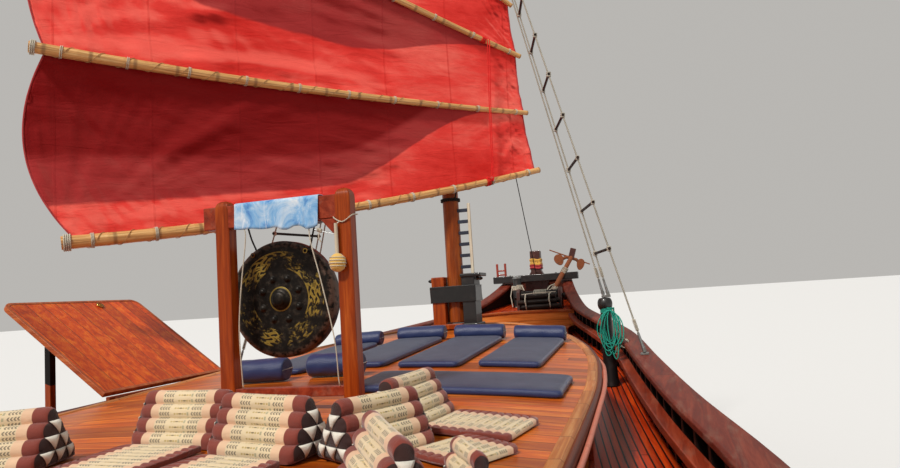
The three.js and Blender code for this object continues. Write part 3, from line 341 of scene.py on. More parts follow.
@dataclass(frozen=True)
class Metal(Finish):
    """Cast or forged metal with tarnish and rust."""

    name: str
    base: str
    tarnish: str
    rough: float = 0.4
    metal: float = 0.9
    spread: float = 0.5

    def paint(self, graph: Graph) -> bpy.types.Material:
        """Builds bright metal broken by tarnish."""
        place = graph.place()
        patch = graph.speckle(place, 14.0, 8.0, 0.7)
        fine = graph.speckle(place, 90.0, 4.0, 0.6)
        dull = graph.fade(patch, 0.62 - self.spread * 0.3, 0.72 - self.spread * 0.3)
        colour = graph.mixed(dull, tone(self.base), tone(self.tarnish))
        colour = graph.shaded(colour, graph.plus(0.75, graph.times(fine, 0.5)))
        rough = graph.plus(self.rough, graph.times(dull, 0.3))
        shine = graph.maths("SUBTRACT", self.metal, graph.times(dull, self.metal * 0.6))
        height = graph.plus(graph.times(patch, 0.001), graph.times(fine, 0.0003))
        return graph.finish(colour, rough, height, Metallic=shine)


@dataclass(frozen=True)
class SailCloth(Finish):
    """Sun-bleached cotton with seams and stains, and painted light; UV is metres.

    The attribute "fold" goes from 0 where the cloth leans down to 1 where it leans up; it paints a highlight
    where the cloth leans up and shade where it leans down. "band" is over a half where the cloth under a
    batten lies in a painted shadow, and nearer 1 where that painted shadow is darkest.
    """

    name: str
    deep: str
    body: str
    # The third colour is both the sun-bleached cloth and the painted highlight.
    bleach_and_highlight: str
    # The next two colours are painted: the first for the deepest painted shadow and the painted shade where
    # the cloth leans down, the second for the lighter, greyish level of painted shadow.
    shade: str = "7a0608"
    shadow_tone: str = "8e2c2e"
    panel: float = 0.92
    threads: float = 1800.0

    def paint(self, graph: Graph) -> bpy.types.Material:
        """Builds the bleached clouds, the sewn seams, stains and weave, with a painted highlight, painted
        shade and painted shadows under the battens.
        """
        place = graph.place(Space.UV)
        cloud = graph.speckle(graph.scaled(place, (0.5, 1.0, 1)), 1.2, 7.0, 0.62, 0.4)
        streak = graph.speckle(graph.scaled(place, (0.8, 3.0, 1)), 1.3, 6.0, 0.6, 0.6)
        tide = graph.plus(graph.times(cloud, 0.75), graph.times(streak, 0.25))
        colour = graph.ramp(tide, [(0.34, self.deep), (0.5, self.body), (0.68, self.bleach_and_highlight)])
        along = graph.split(place)[0]
        up = graph.split(place)[1]
        waver = graph.times(graph.speckle(place, 0.8, 2.0, 0.5), 0.05)
        cut = graph.maths("PINGPONG", graph.maths("DIVIDE", graph.plus(along, waver), self.panel), 0.5)
        seam = graph.maths("SUBTRACT", 1.0, graph.fade(graph.times(cut, self.panel), 0.008, 0.014))
        colour = graph.mixed(graph.times(seam, 0.45), colour, tone(self.deep))
        stains = graph.speckle(graph.scaled(place, (1, 1, 1), (3, 8, 0)), 2.1, 3.0, 0.5)
        colour = graph.mixed(graph.times(graph.fade(stains, 0.69, 0.73), 0.35), colour, tone(self.deep))
        # fold: how far the cloth leans up, which drives a painted highlight and painted shade.
        fold = graph.add("ShaderNodeAttribute", attribute_name="fold").outputs["Fac"]
        # band: how deep a spot lies in the painted shadow under the next batten.
        band = graph.add("ShaderNodeAttribute", attribute_name="band").outputs["Fac"]
        # A ragged edge for the painted shadow.
        ragged = graph.speckle(graph.scaled(place, (1, 2, 1)), 2.2, 4.0, 0.6)
        edge = graph.plus(band, graph.times(ragged, 0.05))
        # Painted highlight where the cloth leans up.
        colour = graph.mixed(graph.times(graph.fade(fold, 0.62, 1.0), 0.45), colour, tone(self.bleach_and_highlight))
        # Painted shadow under each batten, at its lighter, greyish level.
        colour = graph.mixed(graph.times(graph.fade(edge, 0.52, 0.55), 0.82), colour, tone(self.shadow_tone))
        # Deeper painted shadow where the band nears 1.
        colour = graph.mixed(graph.times(graph.fade(edge, 0.8, 0.9), 0.8), colour, tone(self.shade))
        # Painted shade where the cloth leans down.
        colour = graph.mixed(graph.times(graph.fade(fold, 0.5, 0.0), 0.7), colour, tone(self.shade))
        warp, weft = (graph.maths("SINE", graph.times(way, self.threads)) for way in (along, up))
        weave = graph.plus(warp, weft)
        crease = graph.speckle(graph.scaled(place, (1.0, 4.0, 1)), 2.0, 6.0, 0.6, 1.2)
        height = graph.plus(graph.times(weave, 0.00012), graph.times(crease, 0.014))
        height = graph.plus(height, graph.times(seam, 0.0015))
        return graph.finish(
            colour, 0.9, height, Sheen_Weight=0.04, Sheen_Roughness=0.5, Specular_IOR_Level=0.12,
        )


@dataclass(frozen=True)
class Bamboo(Finish):
    """Weathered bamboo; UV is metres along the pole and once round it."""

    name: str
    joint: float = 0.42

    def paint(self, graph: Graph) -> bpy.types.Material:
        """Builds pale skin with streaks, dark joints and mould."""
        place = graph.place(Space.UV)
        along, around = graph.split(place)[:2]
        streak = graph.speckle(graph.scaled(place, (1.2, 22.0, 1)), 1.0, 6.0, 0.65, 0.3)
        colour = graph.ramp(streak, [(0.3, "8a5a2e"), (0.5, "cb9656"), (0.66, "e6c284")])
        part = graph.times(graph.maths("PINGPONG", graph.maths("DIVIDE", along, self.joint), 0.5),
                           self.joint)
        ring = graph.maths("SUBTRACT", 1.0, graph.fade(part, 0.006, 0.03))
        colour = graph.mixed(graph.times(ring, 0.6), colour, tone("6a4526"))
        mould = graph.fade(graph.speckle(graph.scaled(place, (1, 2, 1)), 3.0, 6.0, 0.65), 0.55, 0.72)
        colour = graph.mixed(graph.times(mould, 0.55), colour, tone("71502f"))
        fine = graph.speckle(graph.scaled(graph.joined(along, around, 0.0), (3, 90, 1)), 1.0, 3.0, 0.6)
        height = graph.plus(graph.times(fine, 0.0006), graph.times(ring, 0.001))
        return graph.finish(colour, 0.5, height, Coat_Weight=0.12, Coat_Roughness=0.3)


@dataclass(frozen=True)
class Rope(Finish):
    """Laid rope; the attribute "crown" goes from -1 in its grooves to 1 on its strands."""

    name: str
    groove_shade: str
    strand: str

    def paint(self, graph: Graph) -> bpy.types.Material:
        """Builds pale strands, with painted shade in the grooves, patchy grime and fibres across them."""
        crown = graph.add("ShaderNodeAttribute", attribute_name="crown").outputs["Fac"]
        grime = graph.speckle(graph.place(), 9.0, 5.0, 0.6)
        fibre = graph.speckle(graph.place(), 420.0, 3.0, 0.6)
        # Painted shade in the grooves between the strands.
        colour = graph.mixed(graph.fade(crown, -0.8, 0.3), tone(self.groove_shade), tone(self.strand))
        colour = graph.shaded(colour, graph.plus(0.65, graph.times(grime, 0.7)))
        return graph.finish(colour, 0.85, graph.times(fibre, 0.0008), Specular_IOR_Level=0.3)


@dataclass(frozen=True)
class Canvas(Finish):
    """Woven cloth or coated canvas in one colour, with dust and a fine weave."""

    name: str
    base: str
    dust: str
    weave: float = 0.0012
    rough: float = 0.6
    sheen: float = 0.2
    dusty: float = 0.4

    def paint(self, graph: Graph) -> bpy.types.Material:
        """Builds the weave and a drift of dust."""
        place = graph.place()
        x, y, z = graph.split(place)
        pull = math.tau / self.weave
        threads = graph.times(
            graph.maths("SINE", graph.times(graph.plus(x, z), pull)),
            graph.maths("SINE", graph.times(graph.plus(y, z), pull)),
        )
        drift = graph.fade(graph.speckle(place, 5.0, 7.0, 0.65), 0.35, 0.75)
        colour = graph.mixed(graph.times(drift, self.dusty), tone(self.base), tone(self.dust))
        colour = graph.shaded(colour, graph.plus(1.0, graph.times(threads, 0.06)))
        pucker = graph.speckle(place, 18.0, 4.0, 0.6, 0.6)
        height = graph.plus(graph.times(threads, 0.0002), graph.times(pucker, 0.003))
        return graph.finish(colour, self.rough, height, Sheen_Weight=self.sheen, Sheen_Roughness=0.4)


@dataclass(frozen=True)
class TieDye(Finish):
    """Tie-dyed cotton in washed blues and white."""

    name: str

    def paint(self, graph: Graph) -> bpy.types.Material:
        """Builds clouds of dye with fine white cracks."""
        place = graph.place()
        cloud = graph.speckle(place, 6.0, 6.0, 0.6, 1.2)
        colour = graph.ramp(cloud, [(0.32, "2f6fb4"), (0.45, "6fa4d2"), (0.58, "a9c4dc"), (0.72, "d8dfe4")])
        crack = graph.fade(graph.speckle(graph.scaled(place, (9, 9, 1.5)), 2.0, 6.0, 0.7, 1.5), 0.56, 0.62)
        colour = graph.mixed(graph.times(crack, 0.4), colour, tone("eef2f5"))
        height = graph.times(graph.speckle(graph.scaled(place, (30, 30, 5)), 1.0, 4.0, 0.6), 0.004)
        return graph.finish(colour, 0.85, height, Sheen_Weight=0.3, Sheen_Roughness=0.5)


@dataclass(frozen=True)
class WovenBand(Finish):
    """Thai cushion cloth; UV runs 0 to 1 across the cushion's width and in metres round its rolls."""

    name: str
    row: float = 0.03
    stitches: float = 31.0

    def paint(self, graph: Graph) -> bpy.types.Material:
        """Builds brown ends, plain bands and the traditional woven rows between them."""
        across, round_ = graph.split(graph.place(Space.UV))[:2]
        middle = graph.maths("ABSOLUTE", graph.maths("SUBTRACT", across, 0.5))
        colour = graph.mixed(graph.fade(middle, 0.36, 0.362), tone("dbc8a4"), tone("7c3022"))
        plain = graph.times(graph.fade(middle, 0.262, 0.264), graph.fade(middle, 0.362, 0.36))
        colour = graph.mixed(plain, colour, tone("dcb897"))
        cell_u = graph.maths("PINGPONG", graph.times(across, self.stitches), 0.5)
        cell_v = graph.maths("PINGPONG", graph.maths("DIVIDE", round_, self.row), 0.5)
        lean = graph.plus(graph.times(across, self.stitches), graph.times(cell_v, 1.4))
        slant = graph.maths("PINGPONG", lean, 0.5)
        stitch = graph.times(graph.fade(slant, 0.2, 0.24), graph.fade(cell_v, 0.16, 0.2))
        column = graph.maths("PINGPONG", graph.times(across, 7.75), 0.5)
        sprig = graph.times(graph.fade(column, 0.3, 0.34), graph.fade(cell_v, 0.2, 0.24))
        lattice = graph.times(graph.fade(cell_u, 0.16, 0.2), graph.fade(cell_v, 0.34, 0.38))
        inside = graph.fade(middle, 0.262, 0.26)
        centre = graph.fade(middle, 0.085, 0.08)
        sides = graph.times(inside, graph.maths("SUBTRACT", 1.0, centre))
        dark = graph.times(graph.times(stitch, sides), graph.fade(middle, 0.13, 0.135))
        colour = graph.mixed(graph.times(dark, 0.8), colour, tone("5c5347"))
        green = graph.times(sprig, graph.times(sides, graph.fade(middle, 0.14, 0.135)))
        colour = graph.mixed(graph.times(green, 0.65), colour, tone("7d8468"))
        gold = graph.times(lattice, centre)
        colour = graph.mixed(graph.times(gold, 0.75), colour, tone("a58a35"))
        eye = graph.times(graph.fade(cell_v, 0.4, 0.43), graph.fade(middle, 0.02, 0.015))
        colour = graph.mixed(graph.times(eye, 0.8), colour, tone("3d3428"))
        stain = graph.speckle(graph.place(), 4.0, 6.0, 0.6)
        colour = graph.shaded(colour, graph.plus(0.78, graph.times(stain, 0.42)))
        threads = graph.maths("SINE", graph.times(round_, 3600.0))
        fold = graph.speckle(graph.scaled(graph.joined(across, round_, 0.0), (5, 16, 1)), 2.0, 4.0, 0.6)
        height = graph.plus(graph.times(threads, 0.00015), graph.times(fold, 0.005))
        return graph.finish(colour, 0.8, height, Sheen_Weight=0.35, Sheen_Roughness=0.45)


@dataclass(frozen=True)
class GongBronze(Finish):
    """Black gong bronze with worn gold scroll rings, centred on the gong's face."""

    name: str
    centre: Point
    ring: tuple[float, float] = (0.205, 0.325)
    petals: int = 26

    def paint(self, graph: Graph) -> bpy.types.Material:
        """Builds the traditional scroll ring, the boss's halo, wear and a bare rim."""
        moved = graph.scaled(graph.place(), (1, 1, 1), tuple(-c for c in self.centre))
        x, _, z = graph.split(moved)
        radius = graph.add("ShaderNodeVectorMath", {0: graph.joined(x, z, 0.0)},
                           operation="LENGTH").outputs[1]
        angle = graph.maths("ARCTAN2", z, x)
        inner, outer = self.ring
        band = graph.times(graph.fade(radius, inner, inner + 0.004),
                           graph.fade(radius, outer, outer - 0.004))
        curl = graph.maths("SINE", graph.plus(
            graph.times(angle, float(self.petals)),
            graph.times(graph.maths("SINE", graph.times(radius, 130.0)), 2.2),
        ))
        leaf = graph.maths("SINE", graph.plus(graph.times(radius, 190.0), graph.times(
            graph.maths("SINE", graph.times(angle, self.petals / 2)), 2.6)))
        scroll = graph.fade(graph.maths("MAXIMUM", curl, leaf), 0.25, 0.55)
        lines = graph.maths("ABSOLUTE", graph.maths("SUBTRACT", radius, (inner + outer) / 2))
        border = graph.fade(lines, (outer - inner) / 2 - 0.012, (outer - inner) / 2 - 0.006)
        halo = graph.fade(graph.maths("ABSOLUTE", graph.maths("SUBTRACT", radius, 0.079)), 0.006, 0.003)
        worn = graph.fade(graph.speckle(moved, 6.0, 7.0, 0.72), 0.46, 0.56)
        gold = graph.times(graph.times(band, graph.maths("MAXIMUM", scroll, border)), worn)
        gold = graph.maths("MAXIMUM", gold, graph.times(halo, 0.7))
        patina = graph.speckle(moved, 22.0, 6.0, 0.68)
        colour = graph.ramp(patina, [(0.3, "0c0a08"), (0.52, "1d1813"), (0.72, "4a4238")])
        colour = graph.mixed(gold, colour, tone("9a8238"))
        edge = graph.times(graph.fade(radius, 0.345, 0.372), graph.fade(patina, 0.42, 0.56))
        colour = graph.mixed(graph.times(edge, 0.7), colour, tone("6b5347"))
        height = graph.plus(graph.times(patina, 0.0015), graph.times(gold, 0.001))
        return graph.finish(colour, graph.plus(0.3, graph.times(patina, 0.3)), height, Metallic=0.65)


@dataclass(frozen=True)
class Glass(Finish):
    """Dark window glass."""

    name: str

    def paint(self, graph: Graph) -> bpy.types.Material:
        """Builds smoked glass with salt haze."""
        haze = graph.speckle(graph.place(), 7.0, 5.0, 0.6)
        colour = graph.ramp(haze, [(0.3, "10171c"), (0.7, "2a353b")])
        return graph.finish(colour, graph.plus(0.06, graph.times(haze, 0.1)), None, Coat_Weight=0.5)


class Finishes:
    """Every finish of the boat."""

    bottom = Wood(
        "bottom_paint", "4f1d17", "5e241c", "6d2f25", across=Axis.Z, pitch=0.19, butt=4.6, seam=0.006,
        vary=0.12, rough=0.7, coat=0.0, wear=0.5, wear_tone="6f5b4f",
    )
    topsides = Wood(
        "topside_planks", "2c0f09", "4d1d10", "6b2d19", across=Axis.Z, pitch=0.17, butt=5.2, seam=0.006,
        vary=0.35, rough=0.42, coat=0.35, wear=0.3, wear_tone="5f463a",
    )
    roof = Wood(
        "roof_planks", "84300a", "b85612", "da8730", along=Axis.X, across=Axis.Y, pitch=0.145, butt=2.6,
        seam=0.005, seam_tone="2a0f06", vary=0.75, rough=0.32, coat=0.55, wear=0.15, wear_tone="c58f62",
    )
    side_deck = Wood(
        "deck_planks", "861f06", "bb370c", "da521a", across=Axis.X, pitch=0.088, butt=3.1,
        seam=0.012, seam_tone="0d0605", vary=0.5, rough=0.35, coat=0.5,
    )
    bent_deck = Wood(
        "bent_deck_planks", "861f06", "bb370c", "e05618", along=Axis.X, across=Axis.Y, pitch=0.062, butt=9.0,
        seam=0.013, seam_tone="0d0605", vary=0.55, rough=0.35, coat=0.5, space=Space.UV,
    )
    cap = Wood(
        "cap_rail_wood", "4c1710", "6f2a1c", "8d4230", across=Axis.X, pitch=9.0, butt=4.0, seam=0.004,
        vary=0.25, rough=0.5, coat=0.2, wear=0.6, wear_tone="805c50",
    )
    redwood = Wood(
        "redwood_trim", "5c1a0d", "85301a", "a4472a", vary=0.2, rough=0.42, coat=0.35, wear=0.3,
        wear_tone="8f6a58",
    )
    bulwark_in = Wood(
        "tarred_planks", "080505", "120b09", "241511", across=Axis.Z, pitch=0.16, butt=4.0, seam=0.006,
        vary=0.4, rough=0.55, coat=0.15, wear=0.25, wear_tone="3a2620",
    )
    rim = Wood(
        "rim_wood", "5e1c08", "82330f", "a65322", vary=0.25, rough=0.35, coat=0.5, wear=0.35,
        wear_tone="b98a6a", space=Space.UV, along=Axis.X,
    )
    rim_side = Wood(
        "rim_side_wood", "3c1208", "5e2410", "7c3c20", vary=0.25, rough=0.4, coat=0.4, wear=0.3,
        wear_tone="8f5f48", space=Space.UV, along=Axis.X,
    )
    rim_top = Wood(
        "worn_rim_wood", "8e4c20", "b87038", "cf945a", along=Axis.X, across=Axis.Y, pitch=9.0, butt=0.42,
        seam=0.005, seam_tone="4a2410", vary=0.5, rough=0.42, coat=0.35, wear=0.5, wear_tone="d4ab84",
        space=Space.UV,
    )
    varnish_y = Wood("varnish_fore_aft", "7e3511", "b45a1f", "d07e38", rough=0.3, coat=0.6)
    varnish_z = Wood("varnish_upright", "551a04", "8c370c", "b3581c", along=Axis.Z, rough=0.3, coat=0.6)
    mast = Wood(
        "mast_varnish", "561e08", "8a3f14", "b26128", along=Axis.Z, rough=0.32, coat=0.5, wear=0.25,
        wear_tone="6b4a34",
    )
    walls = Wood(
        "wall_boards", "7e3511", "ad551e", "c87636", along=Axis.Y, across=Axis.Z, pitch=0.12, butt=2.4,
        seam=0.004, vary=0.4, rough=0.33, coat=0.5,
    )
    front = Wood(
        "front_boards", "a4501a", "d87a34", "f09a50", along=Axis.X, across=Axis.Z, pitch=0.2, butt=4.0,
        seam=0.004, vary=0.25, rough=0.33, coat=0.5,
    )
    leaf = Wood(
        "leaf_planks", "962a03", "cc4a06", "e47a20", along=Axis.X, across=Axis.Y, pitch=0.173, butt=9.0,
        seam=0.005, vary=0.45, rough=0.34, coat=0.3,
    )
    black = Paint("black_paint", "131010", "3d332c", rough=0.45, coat=0.2)
    tar = Paint("tarred_iron", "0d0c0c", "2b2724", rough=0.35, coat=0.3)
    red_paint = Paint("red_paint", "8e2a14", "5f2a1e", rough=0.42, coat=0.3)
    dark_paint = Paint("dark_paint", "3f170e", "6a4636", rough=0.5, coat=0.2)
    iron = Metal("anchor_iron", "5d4a3e", "8a4d2c", rough=0.55, metal=0.7, spread=0.9)
    steel = Metal("galvanised_steel", "9a9c9c", "6b6a66", rough=0.35, metal=0.9)
    bronze = Metal("propeller_bronze", "a8843c", "5f6a45", rough=0.3)
    brass = Metal("brass_fittings", "b08d45", "5b4a28", rough=0.28, spread=0.4)
    sail = SailCloth("sail_cloth", "cc2620", "e8413a", "f9786a")
    bamboo = Bamboo("bamboo")
    # Near-black painted shade for the inside of the bamboo's hollow ends.
    bamboo_end = Paint("bamboo_end", "1d130b", "5a4028", rough=0.8, coat=0.0)
    rope = Rope("white_rope", "8d8472", "d8d1c0")
    grey_rope = Rope("weathered_rope", "5a574e", "b3aea0")
    dark_rope = Rope("tarred_rope", "0e0c0b", "2c2622")
    red_rope = Rope("red_lashing", "9c0c10", "f02a26")
    sea_rope = Rope("green_rope", "0e5a4e", "2fae98")
    navy = Canvas("navy_canvas", "1b2a58", "454d66", rough=0.42, dusty=0.2)
    mattress = Canvas("mattress_canvas", "25304c", "4c566e", rough=0.6, dusty=0.4)
    piping = Canvas("piping", "14161d", "2c303a", rough=0.5)
    white_piping = Canvas("white_piping", "c9c6bd", "8f8c84", rough=0.6)
    tie_dye = TieDye("tie_dye_cotton")
    sash = Canvas("sash_red", "a3262b", "6d2420", rough=0.8, sheen=0.4)
    sash_gold = Canvas("sash_gold", "cf9c3e", "8f6f3a", rough=0.8, sheen=0.4)
    cushion = WovenBand("thai_cushion")
    inset_cloth = Canvas("white_inset", "e6e2d6", "b3aca0", rough=0.8)
    dark_inset = Canvas("brown_inset", "2a0f0c", "43201a", rough=0.8)
    glass = Glass("window_glass")
    gong = GongBronze("gong_bronze", GONG_CENTRE)
    bulwark_out = Wood(
        "painted_bulwark", "2c0f09", "4d1d10", "6b2d19", across=Axis.Z, pitch=0.2, butt=5.0, seam=0.006,
        vary=0.3, rough=0.42, coat=0.35, wear=0.35, wear_tone="5f463a",
    )
    tarred_wood = Wood(
        "tarred_wood", "070505", "100a08", "20130f", along=Axis.Z, rough=0.5, coat=0.2, wear=0.3,
        wear_tone="36241d",
    )
    tarred_wood_x = Wood(
        "tarred_timber", "0c0807", "1b110d", "33221a", along=Axis.X, rough=0.55, coat=0.15, wear=0.4,
        wear_tone="4a372d",
    )
    rim_x = Wood(
        "break_rail_wood", "7a2f14", "a54e22", "c6743c", along=Axis.X, vary=0.2, rough=0.35, coat=0.5,
        wear=0.3, wear_tone="b98a6a",
    )
    blue_paint = Paint("blue_black_paint", "141c30", "2f3a50", rough=0.5)
    tan_rope = Rope("tan_lashing", "7d5735", "c79a68")
    sail_edge = Canvas("sail_hem", "a3262b", "c65a52", rough=0.85)
    bead = Paint("salmon_bead", "c4715a", "8d4a3a", rough=0.5)
    hatch = Wood(
        "hatch_planks", "8a3a12", "bf6424", "dc8f44", across=Axis.X, pitch=0.13, butt=4.0, seam=0.004,
        vary=0.5, rough=0.32, coat=0.5,
    )
    white_wood = Wood("bleached_wood", "a59a86", "cbc0ab", "e4dccb", along=Axis.Z, rough=0.6, coat=0.0)
    yarn = Canvas("yarn_head", "d9b15f", "b58a3c", weave=0.006, rough=0.9, sheen=0.5)


class Shape:
    """Points and faces of one piece, gathered before they become a mesh."""

    def __init__(self) -> None:
        """Starts with nothing."""
        self.points: list[Vector] = []
        self.faces: list[tuple[int, ...]] = []
        self.slots: list[int] = []
        self.marks: list[tuple[float, float]] = []

    def face(self, ids: Sequence[int], slot: int, marks: Iterable[tuple[float, float]]) -> None:
        """Adds one face with its finish and UV marks."""
        self.faces.append(tuple(ids))
        self.slots.append(slot)
        self.marks.extend(marks)

    def grid(
        self, rows: Sequence[Sequence[Sequence[float]]], slot: int = 0, ring: bool = False,
        capped: bool = False, marks: Callable[[int, int], tuple[float, float]] | None = None,
    ) -> None:
        """Adds a surface over rows of points.

        Args:
            rows: rows with the same number of points.
            slot: the finish's number.
            ring: whether each row closes on itself.
            capped: whether the first and last rows are filled.
            marks: gives UV for a row and column; lengths in metres otherwise, once round for a ring.
        """
        base = len(self.points)
        lines = [[Vector(p) for p in row] for row in rows]
        count = len(lines[0])
        self.points.extend(p for row in lines for p in row)
        middle = count // 2
        along = [0.0]
        for before, after in zip(lines, lines[1:]):
            along.append(along[-1] + (after[middle] - before[middle]).length)
        widest = max(lines, key=lambda row: sum((a - b).length for a, b in zip(row, row[1:])))
        across = [0.0]
        for before, after in zip(widest, widest[1:]):
            across.append(across[-1] + (after - before).length)

        def mark(i: int, j: int) -> tuple[float, float]:
            """Gives the UV of a row and column."""
            if marks:
                return marks(i, j)
            return (along[i], j / count if ring else across[j])

        for i in range(len(lines) - 1):
            for j in range(count if ring else count - 1):
                k = (j + 1) % count
                ids = [base + i * count + j, base + i * count + k, base + (i + 1) * count + k,
                       base + (i + 1) * count + j]
                self.face(ids, slot, [mark(i, j), mark(i, j + 1), mark(i + 1, j + 1), mark(i + 1, j)])
        if capped:
            for i in (0, len(lines) - 1):
                ids = [base + i * count + j for j in range(count)]
                self.face(ids, slot, [(lines[i][j].x, lines[i][j].z) for j in range(count)])

    def box(self, low: Sequence[float], high: Sequence[float], slot: int = 0,
            turn: Matrix | None = None) -> None:
        """Adds a box, turned by a matrix where there is one; its UV runs along its longest side."""
        (x0, y0, z0), (x1, y1, z1) = low, high
        corners = [(x0, y0), (x1, y0), (x1, y1), (x0, y1)]
        rows = [[Vector((x, y, z)) for x, y in corners] for z in (z0, z1)]
        if turn:
            rows = [[turn @ p for p in row] for row in rows]
        sizes = [x1 - x0, y1 - y0, z1 - z0]
        longest = sizes.index(max(sizes))
        base, first, start = len(self.points), len(self.marks), len(self.faces)
        self.grid(rows, slot, ring=True, capped=True)
        plain = [(x, y, z) for z in (z0, z1) for x, y in corners]
        spots = [plain[i - base] for face in self.faces[start:] for i in face]
        self.marks[first:] = [(p[longest], sum(p) - p[longest]) for p in spots]

    def tube(
        self, path: Sequence[Sequence[float]], radius: float | Sequence[float], sides: int = 12,
        slot: int = 0, capped: bool = True, squash: float = 1.0,
    ) -> None:
        """Adds a round bar along a path.

        Args:
            path: its centre line.
            radius: one radius, or one for each point.
            sides: the number of sides.
            slot: the finish's number.
            capped: whether the ends are filled.
            squash: the height of the section against its width.
        """
        line = [Vector(p) for p in path]
        radii = [radius] * len(line) if isinstance(radius, (int, float)) else list(radius)
        heading = (line[1] - line[0]).normalized()
        guide = Vector((0, 0, 1)) if abs(heading.z) < 0.9 else Vector((1, 0, 0))
        rows = []
        for i, here in enumerate(line):
            heading = (line[min(i + 1, len(line) - 1)] - line[max(i - 1, 0)]).normalized()
            across = heading.cross(guide).normalized()
            guide = across.cross(heading).normalized()
            rows.append([
                here + (across * math.cos(t) + guide * (math.sin(t) * squash)) * radii[i]
                for t in (math.tau * k / sides for k in range(sides))
            ])
        self.grid(rows, slot, ring=True, capped=capped)

    def lathe(
        self, profile: Sequence[tuple[float, float]], centre: Sequence[float], axis: Axis = Axis.Z,
        sides: int = 32, slot: int = 0, closed: bool = False,
    ) -> None:
        """Adds a turned shape.

        Args:
            profile: radii and places along the axis.
            centre: the point from which the places count.
            axis: the axis it turns about.
            sides: the number of sides.
            slot: the finish's number.
            closed: whether the profile closes on itself, as a ring's does.
        """
        order = {Axis.X: (2, 0, 1), Axis.Y: (1, 2, 0), Axis.Z: (0, 1, 2)}[axis]
        rows = []
        for radius, place in [*profile, profile[0]] if closed else profile:
            row = []
            for t in (math.tau * k / sides for k in range(sides)):
                flat = (radius * math.cos(t), radius * math.sin(t), place)
                row.append(Vector(flat[i] for i in order) + Vector(centre))
            rows.append(row)
        self.grid(rows, slot, ring=True)

    def prism(self, outline: Sequence[Sequence[float]], offset: Sequence[float], slot: int = 0) -> None:
        """Adds an outline drawn out by an offset; the outline is convex or nearly so."""
        rows = [[Vector(p) for p in outline], [Vector(p) + Vector(offset) for p in outline]]
        self.grid(rows, slot, ring=True, capped=True)

    def build(
        self, name: str, finishes: Finish | Sequence[Finish], body: str = "boat", bevel: float = 0.0,
        smooth: float = 35.0, wall: float = 0.0, slot: str = "", replaces: Sequence[str] = (),
    ) -> bpy.types.Object:
        """Makes the piece's object.

        Args:
            name: the piece's name.
            finishes: a finish for each slot number.
            body: the body that it rides on.
            bevel: the width of its rounded edges.
            smooth: the angle up to which faces meet smoothly.
            wall: the thickness given to an open surface.
            slot: the record's material slot.
            replaces: the CAD nodes that it stands for.

        Returns:
            The new object.
        """
        mesh = bpy.data.meshes.new(name)
        mesh.from_pydata(self.points, [], self.faces)
        layer = mesh.uv_layers.new(name="UVMap")
        layer.data.foreach_set("uv", [value for mark in self.marks for value in mark])
        mesh.polygons.foreach_set("material_index", self.slots)
        work = bmesh.new()
        work.from_mesh(mesh)
        bmesh.ops.remove_doubles(work, verts=work.verts, dist=1e-5)
        bmesh.ops.dissolve_degenerate(work, edges=work.edges, dist=1e-6)
        bmesh.ops.recalc_face_normals(work, faces=work.faces)
        work.to_mesh(mesh)
        work.free()
        return dress(name, mesh, finishes, body, bevel, smooth, wall, slot, replaces)


def dress(
    name: str, mesh: bpy.types.Mesh, finishes: Finish | Sequence[Finish], body: str = "boat",
    bevel: float = 0.0, smooth: float = 35.0, wall: float = 0.0, slot: str = "",
    replaces: Sequence[str] = (),
) -> bpy.types.Object:
    """Turns a mesh into a finished piece that rides on a body.

    Args:
        name: the piece's name.
        mesh: its mesh, in place.
        finishes: a finish for each slot number.
        body: the body that it rides on.
        bevel: the width of its rounded edges.
        smooth: the angle up to which faces meet smoothly.
        wall: the thickness given to an open surface.
        slot: not used.
        replaces: the CAD nodes that it stands for.

    Returns:
        The new object.
    """
    if mesh.materials:
        mesh.materials.clear()
    for finish in [finishes] if isinstance(finishes, Finish) else finishes:
        mesh.materials.append(finish.material())
    mesh.shade_smooth()
    mesh.set_sharp_from_angle(angle=math.radians(smooth))
    piece = bpy.data.objects.new(name, mesh)
    bpy.context.scene.collection.objects.link(piece)
    if wall:
        solid = piece.modifiers.new("wall", "SOLIDIFY")
        solid.thickness = wall
        solid.offset = 0.0
    if bevel:
        edge = piece.modifiers.new("edge", "BEVEL")
        edge.width = bevel
        edge.segments = 2
        edge.limit_method = "ANGLE"
        edge.angle_limit = math.radians(40)
        edge.harden_normals = True
    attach(piece, body)
    if replaces:
        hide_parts(*replaces)
    log.info("%s: %d faces on %s", name, len(mesh.polygons), body)
    return piece


